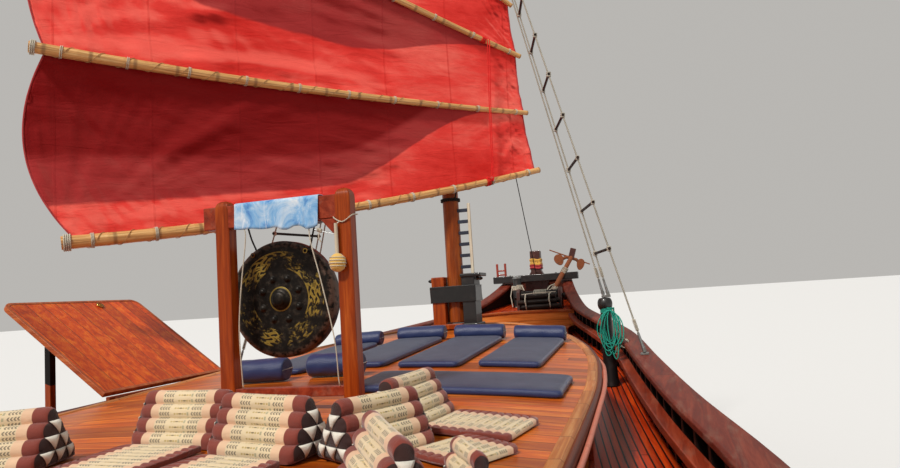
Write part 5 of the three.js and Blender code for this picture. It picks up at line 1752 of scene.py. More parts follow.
@dataclass
class Foredeck:
    """The raised foredeck, its break wall and step, and the gear that stands on it."""

    lines: Lines
    shop: Workshop
    aft: float = 9.2
    fore: float = 11.13
    inset: float = 0.1303
    step: tuple = (0.44, 0.92, 8.3)
    bitt: Point = (-0.3, 10.15, 3.515)
    windlass: Point = (0.24, 9.64, 3.06)
    barrel: tuple = (0.374, 0.13, 0.045)
    beam: tuple = (10.71, 0.18, 0.92)

    def build(self) -> None:
        """Builds the foredeck and its gear."""
        self.deck()
        self.bitt_post()
        self.stem_post()
        self.cross_beam()
        self.windlass_gear()
        self.anchor()

    def deck(self) -> None:
        """Builds the deck planks, the break wall with its rail, and the step."""
        lines = self.lines
        shape = Shape()
        rows = []
        for y in steps(self.aft, self.fore, 20):
            x, low, top = lines.half(y) - self.inset, lines.deck(y) + 0.002, lines.foredeck(y)
            rows.append([(-x, y, low), (x, y, low), (x, y, top), (0, y, top + 0.012), (-x, y, top)])
        shape.grid(rows, ring=True)
        for row in (rows[0], rows[-1]):
            base = len(shape.points)
            shape.points.extend(Vector(p) for p in row)
            shape.face(range(base, base + len(row)), 1, [(p[0], p[2]) for p in row])
        shape.build("foredeck_planks", [Finishes.side_deck, Finishes.front], slot="varnish",
                    replaces=["foredeck"])
        rail = Shape()
        x, top = lines.half(self.aft) - self.inset - 0.004, lines.foredeck(self.aft)
        rows = []
        for t in steps(-x, x, 15):
            crown = top + 0.034 - 0.03 * (t / x) ** 2
            rows.append([(t, self.aft - 0.03, crown - 0.045), (t, self.aft + 0.05, crown - 0.045),
                         (t, self.aft + 0.05, crown), (t, self.aft - 0.03, crown)])
        rail.grid(rows, ring=True, capped=True)
        left, right, low_y = self.step
        height = lines.deck(low_y) + 0.152
        rail.box((left, low_y, lines.deck(low_y)), (right, self.aft - 0.002, height))
        rail.box((left - 0.02, low_y - 0.02, height - 0.004),
                 (right + 0.02, self.aft - 0.004, height + 0.024))
        rail.build("break_rail", Finishes.rim_x, slot="varnish", bevel=0.008)

    def bitt_post(self) -> None:
        """Builds the bitt, its cap and the rope turns on it."""
        x, y, top = self.bitt
        low = self.lines.foredeck(y) - 0.01
        post = Shape()
        post.lathe([(0, low), (0.112, low), (0.104, low + 0.1), (0.102, top - 0.22), (0.084, top - 0.18),
                    (0.086, top - 0.05), (0.05, top - 0.01), (0, top - 0.008)], (x, y, 0), sides=28)
        post.build("bitt_post", Finishes.black, slot="black_wood")
        cap = Shape()
        rim = [(0, top), (0.062, top - 0.004), (0.09, top - 0.03), (0.092, top - 0.055),
               (0.085, top - 0.056)]
        cap.lathe(rim, (x, y, 0), sides=28)
        cap.build("bitt_cap", Finishes.steel, slot="black_wood")
        turns = coil((x, y, top - 0.3), (x, y, top - 0.2), 0.112, 5.5)
        tails = [
            along([(x - 0.1, y - 0.06, top - 0.22), (x - 0.135, y - 0.1, top - 0.42),
                   (x - 0.13, y - 0.12, low + 0.25), (x - 0.1, y - 0.14, low + 0.02)], 8),
            along([(x + 0.1, y - 0.05, top - 0.2), (x + 0.17, y - 0.1, top - 0.36),
                   (x + 0.16, y - 0.16, low + 0.2), (x + 0.1, y - 0.2, low + 0.02),
                   (x - 0.02, y - 0.26, low + 0.02)], 8),
            coil((x + 0.12, y - 0.26, low + 0.02), (x + 0.12, y - 0.26, low + 0.05), 0.09, 2.4),
        ]
        self.shop.ropes("bitt_rope", [turns, *tails], 0.011, Finishes.rope, slot="rope")

    def stem_post(self) -> None:
        """Builds the stem post, its base and the sashes tied round it."""
        y0, y1 = 10.83, 11.05
        low = self.lines.foredeck(y0) - 0.01
        post = Shape()
        post.box((-0.11, y0, low), (0.11, y1, 4.055))
        base = [(-0.25, low), (0.25, low), (0.25, 3.365), (0.11, 3.615), (-0.11, 3.615), (-0.25, 3.365)]
        post.prism([(x, y0 + 0.01, z) for x, z in base], (0, 0.2, 0))
        post.build("stem_timber", Finishes.dark_paint, slot="dark_paint", bevel=0.014)
        for name, low_z, high_z, reach, finish in (
            ("sash_gold", 3.74, 3.88, 0.008, Finishes.sash_gold),
            ("sash_red", 3.66, 3.75, 0.014, Finishes.sash),
        ):
            shape = Shape()
            rows = []
            corners = [(-0.11, y0), (0.11, y0), (0.11, y1), (-0.11, y1)]
            for i in range(49):
                side, t = divmod(i / 12, 1)
                a, b = corners[int(side) % 4], corners[(int(side) + 1) % 4]
                x, y = lerp(a[0], b[0], t), lerp(a[1], b[1], t)
                middle = Vector((x, y - (y0 + y1) / 2, 0)).normalized()
                out = reach + 0.006 * math.sin(i * 1.9)
                rows.append([
                    (x + middle.x * (out + 0.008 * math.sin(v * 9)),
                     y + middle.y * (out + 0.008 * math.sin(v * 9)),
                     lerp(low_z, high_z, v) + 0.012 * math.sin(i * 0.52)) for v in steps(0, 1, 8)
                ])
            shape.grid(rows)
            cloth = shape.build(name, finish, smooth=80, wall=0.003, slot="sail_cloth")

    def cross_beam(self) -> None:
        """Builds the beam across the bow and the fairlead frame on it."""
        y, depth, half = self.beam
        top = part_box("crossbeam")[1].z - 0.29
        beam = Shape()
        beam.box((-half, y - depth / 2, top - 0.15), (half, y + depth / 2, top))
        for x in (-0.55, 0.45):
            beam.lathe([(0, 0.004), (0.02, 0.0), (0.026, -0.012), (0.026, -0.02)], (x, y, top + 0.014),
                       sides=12)
        beam.build("bow_beam", Finishes.black, slot="black_wood", bevel=0.012, replaces=["crossbeam"])
        frame = Shape()
        for x in (-0.83, -0.65):
            frame.box((x - 0.022, y - 0.022, top - 0.002), (x + 0.022, y + 0.022, top + 0.28))
            frame.lathe([(0, 0.03), (0.02, 0.026), (0.03, 0.01), (0.026, 0), (0.02, 0)], (x, y, top + 0.26),
                        sides=14)
        for rise in (0.04, 0.13):
            frame.box((-0.83, y - 0.016, top + rise - 0.016), (-0.65, y + 0.016, top + rise + 0.016))
        frame.build("fairlead_frame", Finishes.red_paint, slot="dark_paint", bevel=0.005)

    def windlass_gear(self) -> None:
        """Builds the windlass, the spare timbers stacked by it and their ropes."""
        x, y, z = self.windlass
        half, radius, shaft = self.barrel
        low = self.lines.foredeck(y) - 0.004
        frame = Shape()
        for side in (-1, 1):
            near = x + side * 0.38
            rows = [(near, y - 0.15, low), (near, y + 0.15, low), (near, y + 0.12, z + 0.1),
                    (near, y + 0.06, z + 0.17), (near, y - 0.06, z + 0.17), (near, y - 0.12, z + 0.1)]
            frame.prism(rows, (side * 0.07, 0, 0))
        frame.box((x - 0.38, y - 0.09, low), (x + 0.38, y + 0.09, low + 0.05))
        frame.build("windlass_cheeks", Finishes.dark_paint, slot="dark_paint", bevel=0.01,
                    replaces=["windlass_frame"])
        drum = Shape()
        profile = [(0, -half - 0.13), (shaft, -half - 0.13), (shaft, -half), (radius, -half + 0.006)]
        for t in steps(-half + 0.03, half - 0.03, 9):
            profile.append((radius * (0.93 + 0.05 * abs(t) / half), t))
        profile += [(radius, half - 0.006), (shaft, half), (shaft, half + 0.13), (0, half + 0.13)]
        drum.lathe(profile, (x, y, z), Axis.X, 16)
        for k in range(4):
            turn = Matrix.Translation((x, y, z)) @ Matrix.Rotation(k * math.pi / 4, 4, "X")
            drum.box((-half + 0.05, -0.02, radius * 0.9), (-half + 0.09, 0.02, radius + 0.012), 0, turn)
        drum.build("windlass_drum", Finishes.tarred_wood, "windlass", slot="dark_paint", bevel=0.004,
                   replaces=["windlass_barrel"])
        turns = coil((x - 0.1, y, z), (x + 0.16, y, z), radius * 0.97 + 0.01, 9)
        self.shop.ropes("windlass_rope", [turns], 0.012, Finishes.grey_rope, "windlass", slot="rope")
        logs = Shape()
        for i, (dy, dz, left, right) in enumerate((
            (-0.3, 0.055, -0.36, 0.42), (-0.41, 0.055, -0.3, 0.46), (-0.355, 0.15, -0.38, 0.38),
            (-0.25, 0.16, -0.34, 0.44), (-0.3, 0.25, -0.3, 0.36),
        )):
            logs.tube([(x + left, y + dy, low + dz), (x, y + dy + 0.006 * i, low + dz),
                       (x + right, y + dy - 0.01, low + dz + 0.006)], [0.05, 0.055, 0.05], 14)
        logs.build("spare_timbers", Finishes.tarred_wood_x, slot="black_wood")
        ties = [coil((x + dx, y - 0.33, low + 0.15), (x + dx + 0.02, y - 0.33, low + 0.15), 0.17, 2)
                for dx in (-0.22, 0.25)]
        lead = along([(x - 0.3, y - 0.36, low + 0.31), (x - 0.05, y - 0.38, low + 0.325),
                      (x + 0.38, y - 0.37, low + 0.33)], 8)
        self.shop.ropes("timber_rope", [*ties, lead], 0.009, Finishes.rope, slot="rope")

    def anchor(self) -> None:
        """Builds the anchor on the starboard bow and its lashings."""
        iron = Shape()
        iron.tube([(0.27, 9.99, 2.86), (0.53, 10.48, 3.37), (0.79, 10.975, 3.88)], [0.042, 0.05, 0.046], 12)
        iron.tube([(0.32, 10.9, 4.05), (0.74, 10.94, 3.865), (1.16, 10.98, 3.68)], [0.012, 0.017, 0.012], 10)
        iron.tube([(0.51, 10.925, 3.8), (0.66, 10.95, 3.87), (0.8, 10.95, 3.85)], [0.03, 0.04, 0.038], 10)
        iron.tube([(0.96, 10.985, 3.69), (0.88, 10.98, 3.8), (0.74, 10.955, 3.85)], [0.028, 0.036, 0.034],
                  10)
        iron.lathe([(0, -0.02), (0.05, -0.02), (0.055, 0), (0.05, 0.02), (0, 0.02)], (0.79, 10.975, 3.88),
                   Axis.Y, 16)
        for (cx, cy, cz), (rx, rz), lean in (
            ((0.515, 10.907, 3.82), (0.1, 0.125), 0.35), ((0.96, 10.975, 3.69), (0.08, 0.125), -0.3),
        ):
            outline = []
            for t in (math.tau * k / 22 for k in range(22)):
                flare = 1 + 0.18 * math.cos(t - math.pi / 2)
                x, z = rx * math.cos(t) * flare, rz * math.sin(t)
                outline.append((cx + x * math.cos(lean) - z * math.sin(lean), cy - 0.03,
                                cz + x * math.sin(lean) + z * math.cos(lean)))
            iron.prism(outline, (0, 0.045, 0))
        iron.build("anchor_iron", Finishes.iron, slot="anchor_iron", bevel=0.005, replaces=["anchor"])
        blade = Shape()
        turn = Matrix.Translation((0.8, 10.95, 3.93)) @ Matrix.Rotation(math.radians(18), 4, "Y")
        blade.box((-0.062, -0.03, -0.13), (0.062, 0.03, 0.125), 0, turn)
        blade.build("anchor_blade", Finishes.dark_paint, slot="dark_paint", bevel=0.008)
        turns = [
            coil((0.42, 10.28, 3.16), (0.46, 10.35, 3.23), 0.056, 4),
            coil((0.6, 10.62, 3.51), (0.66, 10.73, 3.62), 0.06, 5),
            along([(0.4, 10.26, 3.2), (0.2, 10.1, 3.12), (-0.05, 9.95, 2.95), (-0.12, 9.9, 2.82)], 8),
            along([(0.46, 10.36, 3.3), (0.36, 10.15, 3.24), (0.25, 9.95, 3.0), (0.2, 9.84, 2.82)], 8),
        ]
        self.shop.ropes("anchor_lashing", turns, 0.01, Finishes.rope, slot="rope")


@dataclass
class MastGear:
    """The main mast with its tabernacle, iron band and ladder, and the bare top."""

    lines: Lines
    shop: Workshop
    y: float = 4.45
    foot_radius: float = 0.112
    head_radius: float = 0.07
    head: float = 13.2
    ladder_x: float = 0.25
    ladder: tuple = (3.44, 4.37, 6)

    def radius(self, z: float) -> float:
        """Gives the mast's radius at a height."""
        low = self.lines.roof_top(0, self.y)
        return lerp(self.foot_radius, self.head_radius, (z - low) / (self.head - low))

    def build(self) -> None:
        """Builds the mast and what is round its foot."""
        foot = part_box("main_mast")[0].z
        pole = Shape()
        profile = [(0, foot), *[(self.radius(z) * 0.995, z) for z in steps(foot, self.head - 0.06, 40)],
                   (self.head_radius * 0.8, self.head - 0.02), (0, self.head)]
        pole.lathe(profile, (0, self.y, 0), sides=40)
        pole.build("mast_pole", Finishes.mast, slot="varnish", replaces=["main_mast"])
        self.tabernacle()
        self.steps_up()
        self.head_gear()

    def tabernacle(self) -> None:
        """Builds the cheeks, the base plate, the iron band and its bolts."""
        low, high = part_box("tabernacle")
        base = self.lines.roof_top(0, self.y)
        port, starboard = Shape(), Shape()
        port.box((low.x, self.y - 0.15, base), (-0.117, self.y + 0.15, 3.425))
        port.box((low.x - 0.03, self.y - 0.19, base), (0.115, self.y + 0.19, base + 0.07))
        starboard.box((0.117, self.y - 0.15, base), (high.x, self.y + 0.15, high.z - 0.03))
        starboard.box((0.115, self.y - 0.19, base), (high.x + 0.03, self.y + 0.19, base + 0.07))
        starboard.box((0.105, self.y - 0.17, high.z - 0.045), (high.x + 0.09, self.y + 0.17, high.z))
        port.build("port_cheek", Finishes.varnish_z, slot="varnish", bevel=0.012, replaces=["tabernacle"])
        starboard.build("starboard_cheek", Finishes.black, slot="black_wood", bevel=0.012)
        band = Shape()
        inner, outer, strap = 0.15, 0.168, 0.014
        for z, height in ((3.09, 0.2), (3.27, 0.03)):
            band.box((low.x - strap, self.y - outer, z), (high.x + strap, self.y - inner, z + height))
            band.box((low.x - strap, self.y + inner, z), (high.x + strap, self.y + outer, z + height))
            for x in (low.x - strap, high.x):
                band.box((x, self.y - outer, z), (x + strap, self.y + outer, z + height))
        for x in (low.x - strap, high.x + strap):
            side = 1 if x > 0 else -1
            for y in (self.y - 0.08, self.y + 0.08):
                bolt = [(0, 0), (0.024, 0), (0.024, side * 0.02), (0.01, side * 0.045), (0, side * 0.045)]
                band.lathe(bolt, (x, y, 3.38), Axis.X, 8)
        band.build("mast_band", Finishes.tar, slot="black_wood", bevel=0.004)

    def steps_up(self) -> None:
        """Builds the ladder from the cheek up the mast."""
        low, high, count = self.ladder
        rails = Shape()
        rails.box((self.ladder_x - 0.018, self.y - 0.05, low), (self.ladder_x + 0.018, self.y - 0.01, high))
        rails.build("ladder_stile", Finishes.white_wood, slot="rope", bevel=0.005)
        rung = Shape()
        rung.box((0, -0.05, -0.022), (1, -0.012, 0.022))
        places = []
        for z in steps(low + 0.1, high - 0.09, count):
            start = self.radius(z) - 0.01
            places.append(((start, self.y, z), (0, 0, 0), (self.ladder_x - 0.012 - start, 1, 1)))
        self.shop.rows("ladder_rungs", rung, places, Finishes.blue_paint, slot="black_wood", bevel=0.004)

    def head_gear(self) -> None:
        """Builds the hounds' bands and the cap of the mast."""
        gear = Shape()
        for z in (11.1, 11.24):
            r = self.radius(z)
            gear.lathe([(r, 0), (r + 0.022, 0), (r + 0.022, 0.06), (r, 0.06)], (0, self.y, z), sides=24)
        gear.lathe([(0, 0.05), (0.075, 0.04), (0.095, 0.0), (0.085, -0.02), (0.06, -0.02)],
                   (0, self.y, self.head - 0.02), sides=24)
        gear.build("mast_bands", Finishes.tar, slot="black_wood", bevel=0.003)


@dataclass
class Rigging:
    """Shroud posts, shrouds with their rungs, the forestay and the ropes made fast to them."""

    lines: Lines
    shop: Workshop
    mast: MastGear
    post_y: float = 4.0
    rail_y: float = 3.0
    post_top: float = 3.04
    hounds: float = 11.2
    stay_radius: float = 0.0105
    rungs: int = 13
    rung_spacing: float = 0.52

    def build(self) -> None:
        """Builds the rigging of both sides."""
        for word, side in (("port", -1), ("starboard", 1)):
            self.post(word)
            self.shrouds(word, side)
        self.forestay()
        self.hung_coil()

    def post_x(self, side: int) -> float:
        """Gives the place of a shroud post."""
        return side * (self.lines.half(self.post_y) - 0.395)

    def post(self, word: str) -> None:
        """Builds a post with its neck and round knob."""
        low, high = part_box(f"shroud_post_{word}")
        middle = ((low.x + high.x) / 2, (low.y + high.y) / 2, 0)
        foot, top = low.z, self.post_top
        shape = Shape()
        profile = [(0, foot), (0.091, foot), (0.084, foot + 0.1), (0.078, foot + 0.24), (0.069, foot + 0.48),
                   (0.066, top - 0.22), (0.058, top - 0.17)]
        profile += [(0.05 + 0.036 * math.sin(t), top - 0.075 - 0.07 * math.cos(t))
                    for t in steps(0.3, 2.8, 9)]
        profile += [(0.03, top - 0.004), (0, top - 0.002)]
        shape.lathe(profile, middle, sides=30)
        shape.build(f"shroud_bollard_{word}", Finishes.black, slot="black_wood",
                    replaces=[f"shroud_post_{word}"])

    def feet(self, side: int) -> list[Vector]:
        """Gives the foot of each shroud of one side."""
        x, rail_x = self.post_x(side), side * (self.lines.half(self.rail_y) - 0.12)
        return [
            Vector((x - side * 0.03, self.post_y + 0.022, self.post_top + 0.0223)),
            Vector((x + side * 0.028, self.post_y - 0.02, self.post_top + 0.0263)),
            Vector((rail_x, self.rail_y, self.lines.rail(self.rail_y) + 0.026)),
        ]

    def shrouds(self, word: str, side: int) -> None:
        """Builds the shrouds of one side, their rungs, lashings and fittings."""
        head = Vector((side * (self.mast.radius(11.14) + 0.036), self.mast.y, self.hounds))
        feet = self.feet(side)
        paths = [[foot.lerp(head, t) for t in steps(0, 1, 30)] for foot in feet]
        piece = self.shop.ropes(f"shroud_ropes_{word}", paths, self.stay_radius, Finishes.grey_rope,
                                slot="rope", replaces=[f"shrouds_{word}"])
        log.info("%s holds %d shrouds", piece.name, len(paths))
        rung = Shape()
        rung.tube([(0, 0, 0), (0.5, 0, 0), (1, 0, 0)], 0.016, 8)
        tie = Shape()
        knot = [(0.012, -0.03), (0.026, -0.022), (0.023, -0.008), (0.028, 0), (0.023, 0.008),
                (0.026, 0.022), (0.012, 0.03)]
        tie.lathe(knot, (0, 0, 0), sides=10)
        bars, ties = [], []
        for i in range(1, self.rungs + 1):
            z = self.post_top + i * self.rung_spacing
            ends = [foot.lerp(head, (z - foot.z) / (head.z - foot.z)) for foot in feet[1:]]
            reach = ends[1] - ends[0]
            turn = math.atan2(reach.y, reach.x)
            start = ends[0] - reach.normalized() * 0.03
            bars.append((start, (0, 0, turn), (reach.length + 0.06, 1, 1)))
            ties += [(end, (0.1, 0, 0.3 * i)) for end in ends]
        self.shop.rows(f"ratlines_{word}", rung, bars, Finishes.tarred_wood_x, slot="black_wood")
        self.shop.rows(f"ratline_ties_{word}", tie, ties, Finishes.grey_rope, spread=0.12, slot="rope")
        fittings = Shape()
        fittings.box((self.post_x(side) - 0.05, self.post_y - 0.042, self.post_top - 0.002),
                     (self.post_x(side) + 0.05, self.post_y + 0.042, self.post_top + 0.03))
        foot = feet[2]
        fittings.box((foot.x - 0.04, foot.y - 0.06, foot.z - 0.03),
                     (foot.x + 0.04, foot.y + 0.06, foot.z - 0.012))
        for spot, way in ((foot, head - foot), (feet[0], head - feet[0]), (feet[1], head - feet[1])):
            heading = way.normalized()
            fittings.tube([spot - heading * 0.01, spot + heading * 0.05], 0.02, 12)
            fittings.tube([spot + heading * 0.05, spot + heading * 0.2], [0.016, 0.012], 12)
        radius = self.mast.radius(self.hounds)
        near, far = sorted((side * radius * 0.95, side * (radius + 0.08)))
        fittings.box((near, self.mast.y - 0.035, 11.14), (far, self.mast.y + 0.035, 11.26))
        fittings.build(f"shroud_fittings_{word}", Finishes.steel, slot="anchor_iron", bevel=0.004)
        ways = [(spot, (head - spot).normalized()) for spot in feet]
        seizing = [coil(spot + way * 0.22, spot + way * 0.34, 0.016, 9, 10) for spot, way in ways]
        self.shop.ropes(f"shroud_seizings_{word}", seizing, 0.005, Finishes.rope, slot="rope")

    def forestay(self) -> None:
        """Builds the stay from the crossbeam to the mast head."""
        low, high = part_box("forestay")
        start, end = Vector((0, high.y, low.z)), Vector((0, low.y, high.z))
        path = [start.lerp(end, t) for t in steps(0.0, 1, 24)]
        self.shop.ropes("forestay_rope", [path], self.stay_radius, Finishes.dark_rope,
                        slot="tarred_rope", replaces=["forestay"])

    def hung_coil(self) -> None:
        """Hangs the bunched green rope and its lashing on the starboard post."""
        x, y, top = self.post_x(1), self.post_y - 0.085, self.post_top - 0.16
        loops = []
        for i in range(9):
            drop, width = 0.34 + 0.05 * (i * 5 % 9) / 2, 0.035 + 0.012 * (i * 4 % 9)
            lean = 0.05 * math.sin(i * 2.1)
            loop = []
            for t in steps(0, math.tau, 25):
                fall = (1 - math.cos(t)) / 2
                loop.append(Vector((
                    x + 0.03 + width * math.sin(t) + lean * fall,
                    y - 0.006 * i - 0.02 * fall + 0.01 * math.sin(2 * t),
                    top - drop * fall + 0.01 * math.sin(3 * t + i),
                )))
            loops.append(loop)
        loops.append(coil((x, self.post_y, top - 0.02), (x, self.post_y, top + 0.035), 0.078, 4.5))
        self.shop.ropes("green_coil", loops, 0.0075, Finishes.sea_rope, slot="rope")
        rail = self.lines.rail(self.post_y)
        tie = coil((x + 0.16, self.post_y - 0.02, rail - 0.02), (x + 0.17, self.post_y + 0.05, rail - 0.02),
                   0.05, 3)
        lead = along([(x + 0.06, self.post_y - 0.05, top + 0.02),
                      (x + 0.12, self.post_y - 0.05, rail + 0.12),
                      (x + 0.17, self.post_y - 0.03, rail + 0.035)], 6)
        self.shop.ropes("white_lashing", [tie, lead], 0.007, Finishes.rope, slot="rope")


@dataclass(frozen=True)
class Spar:
    """One spar in its sail's own plane: metres behind the mast and heights of its luff and leech ends."""

    name: str
    luff: tuple[float, float]
    leech: tuple[float, float]
    sag: float
    leech_radius: float
    luff_radius: float

    def at(self, t: float) -> tuple[float, float]:
        """Gives a point of its centre line, from 0 at the luff to 1 at the leech."""
        droop = self.sag * 4 * t * (1 - t)
        return (lerp(self.luff[0], self.leech[0], t), lerp(self.luff[1], self.leech[1], t) - droop)

    def radius(self, t: float) -> float:
        """Gives its radius."""
        return lerp(self.luff_radius, self.leech_radius, t)


@dataclass
class FanSail:
    """A battened fan sail: cloth, bamboo spars, their lashings, the lacing and the parrel."""

    shop: Workshop
    mast: MastGear
    name: str
    body: str
    swing: float
    offset: float
    cloth: float
    spars: tuple[Spar, ...]
    parrel_z: float
    nodes: tuple[str, ...]
    lacing: tuple = ()
    bulge: float = 0.105
    pleats: tuple = (
        (0, (0.8, 0.42), (0.58, 0.96), 0.024), (0, (0.77, 0.5), (0.5, 0.97), 0.016),
        (0, (0.95, 0.06), (0.6, 0.17), 0.02), (0, (0.04, 0.85), (0.36, 0.3), 0.028),
        (0, (0.05, 0.75), (0.3, 0.12), 0.024), (0, (0.05, 0.9), (0.5, 0.28), 0.02),
        (0, (0.03, 0.6), (0.18, 0.08), 0.02), (1, (0.96, 0.04), (0.45, 0.13), 0.024),
        (1, (0.95, 0.1), (0.66, 0.46), 0.02), (1, (0.8, 0.36), (0.6, 0.46), 0.014),
        (1, (0.03, 0.92), (0.45, 0.42), 0.02), (1, (0.03, 0.82), (0.36, 0.2), 0.026),
        (1, (0.03, 0.7), (0.25, 0.06), 0.024), (1, (0.04, 0.5), (0.14, 0.04), 0.02),
        (2, (0.95, 0.1), (0.5, 0.4), 0.024), (2, (0.04, 0.85), (0.6, 0.35), 0.026),
        (2, (0.05, 0.7), (0.3, 0.1), 0.02), (3, (0.95, 0.1), (0.4, 0.5), 0.024),
        (3, (0.05, 0.8), (0.6, 0.3), 0.022), (4, (0.95, 0.1), (0.3, 0.6), 0.024),
    )
    short: float = 0.975
    billow: float = 0.1
    columns: int = 180
    rows: int = 37

    def build(self) -> None:
        """Builds the sail."""
        self.canvas()
        self.poles()
        self.ties()
        self.parrel()

    def place(self, aft: float, out: float, z: float) -> Vector:
        """Turns a place in the sail's plane into the boat's."""
        turn = math.radians(self.swing)
        x = out * math.cos(turn) - aft * math.sin(turn)
        return Vector((x, self.mast.y - aft * math.cos(turn) - out * math.sin(turn), z))

    def flat_at(self, k: int, t: float, v: float) -> tuple[float, float]:
        """Gives a point of the flat cloth between two spars."""
        low, high = self.spars[k].at(t), self.spars[k + 1].at(t)
        ends = [self.spars[i].at(self.short) for i in (k, k + 1)]
        way = Vector((ends[1][1] - ends[0][1], ends[0][0] - ends[1][0])).normalized()
        push = self.bulge * 4 * v * (1 - v) * max((t / self.short - 0.4) / 0.6, 0) ** 2
        return (lerp(low[0], high[0], v) + way.x * push, lerp(low[1], high[1], v) + way.y * push)

    def folds(self, k: int) -> list[tuple]:
        """Gives each long pleat between two spars as its start, way, length and depth."""
        lines = []
        for panel, start, end, depth in self.pleats:
            if panel == k:
                p, q = (Vector(self.flat_at(k, *spot)) for spot in (start, end))
                lines.append((p, (q - p).normalized(), (q - p).length, depth))
        return lines

    def crease(self, k: int, a: float, z: float, v: float, height: float, folds: list[tuple]) -> float:
        """Gives how far the cloth's creases stand out."""
        pull = 0.0
        for edge, level in ((v * height, 0.0), ((1 - v) * height, 3.0)):
            pull += 0.014 * math.cos(math.tau * a / 0.62 + level) * math.exp(-edge / 0.25)
        rays = 0.0
        for spar, level in ((self.spars[k], 0.0), (self.spars[k + 1], 4.0)):
            for end in (0.0, 1.0):
                a0, z0 = spar.at(end)
                away = math.hypot(a - a0, z - z0) + 0.15
                angle = math.atan2(z - z0, a - a0)
                sharp = 1 - abs(noise.noise(Vector((angle * 11, away * 0.3, level + 7 * end))))
                rays += 0.032 * sharp ** 4 * min(away, 1.0) * math.exp(-away / 1.9)
        wide = noise.noise(Vector((a * 0.35, z * 0.7, self.swing + 9)))
        fine = noise.noise(Vector((a * 0.8 + z, (z - a * 0.2) * 7.0, 5.0)))
        spot, bend = Vector((a, z)), 0.07 * noise.noise(Vector((a, z, 3.0)))
        for start, way, length, depth in folds:
            run = min(max((spot - start).dot(way) / length, 0), 1)
            off = (spot - start).cross(way) + bend
            if abs(off) < 0.3:
                crest = math.exp(-((off / 0.1) ** 2)) * (1 + off / 0.14)
                rays += depth * math.sin(math.pi * run) ** 0.5 * crest
        slack = math.sin(math.pi * v)
        return pull * (1 - 0.5 * slack) + rays + slack * (0.05 * wide + 0.012 * fine)

    def shadow_depth(self, k: int, t: float, v: float) -> float:
        """Gives how far a spot lies in the painted shadow under the next batten: a half at its edge."""
        luff, low, most = (0.06, 0.2, 1.0) if k == 0 else (0.0, 0.42, 0.76)
        climb = 0.0 if k == 0 else 0.45 * eased((t - 0.7) / 0.28)
        edge = low + (1 - low) * (1 - eased((t - luff) / 0.45)) + climb
        return min(max(0.5 + (v - edge) * 1.2, 0), most)

    def canvas(self) -> None:
        """Builds the cloth with its belly, creases and hems."""
        shape = Shape()
        grid, flats, bands, areas = [], [], [], 0.0
        for k in range(len(self.spars) - 1):
            last, folds = k == len(self.spars) - 2, self.folds(k)
            for v in steps(0, 1, self.rows)[:None if last else -1]:
                row, flat = [], []
                for t in steps(0.01, self.short, self.columns):
                    a, z = self.flat_at(k, t, v)
                    height = abs(self.spars[k + 1].at(t)[1] - self.spars[k].at(t)[1])
                    free = eased((abs(a) - 0.3) / 0.9)
                    sag = self.billow * math.sin(math.pi * v) * (0.4 + 0.6 * t)
                    out = self.offset + self.cloth / 2 - 0.004
                    crease = self.crease(k, a, z, v, height, folds)
                    out += free * (crease - sag) - (1 - free) * 0.012 * math.sin(math.pi * v)
                    row.append(self.place(a, out, z))
                    flat.append((a, z))
                    # Each spot's depth in the painted shadow under the next batten.
                    bands.append(self.shadow_depth(k, t, v))
                grid.append(row)
                flats.append(flat)
        for low, high in zip(flats, flats[1:]):
            ring = [*low, *reversed(high)]
            areas += abs(sum(p[0] * q[1] - q[0] * p[1] for p, q in zip(ring, [*ring[1:], ring[0]]))) / 2
        shape.grid(grid, marks=lambda i, j: flats[i][min(j, self.columns - 1)])
        canvas = shape.build(f"{self.name}_canvas", Finishes.sail, self.body, smooth=180, wall=0.004,
                             slot="sail_cloth", replaces=[f"{self.name}_sail"])
        self.paint_shading(canvas, bands)
        hem = Shape()
        for edge in ([row[-1] for row in grid], [row[0] for row in grid]):
            hem.tube([Vector(p) for p in edge], 0.009, 8)
        hem.build(f"{self.name}_hem", Finishes.sail_edge, self.body, slot="sail_cloth")

    def paint_shading(self, canvas: bpy.types.Object, bands: Sequence[float]) -> None:
        """Marks the cloth's painted shadow bands, and which way each spot leans, for a painted highlight and
        painted shade.
        """
        # The painted shadow bands under the battens.
        mark = canvas.data.attributes.new("band", "FLOAT", "POINT")
        mark.data.foreach_set("value", bands)
        out = self.place(0, 1, 0) - self.place(0, 0, 0)
        values = []
        for vertex in canvas.data.vertices:
            normal = vertex.normal if vertex.normal.dot(out) > 0 else -vertex.normal
            lean = normal - out
            # Leaning up and forward gives the painted highlight, leaning down the painted shade.
            values.append(min(max(0.56 + 2.0 * (lean.z + 0.5 * lean.y), 0.0), 1.0))
        mark = canvas.data.attributes.new("fold", "FLOAT", "POINT")
        mark.data.foreach_set("value", values)

    def centre(self, spar: Spar, t: float) -> Vector:
        """Gives a point on a spar's centre line in the boat's frame."""
        a, z = spar.at(t)
        out = self.offset + self.cloth / 2 + 0.0003 + spar.radius(t) * math.cos(math.radians(22.5))
        return self.place(a, out, z)

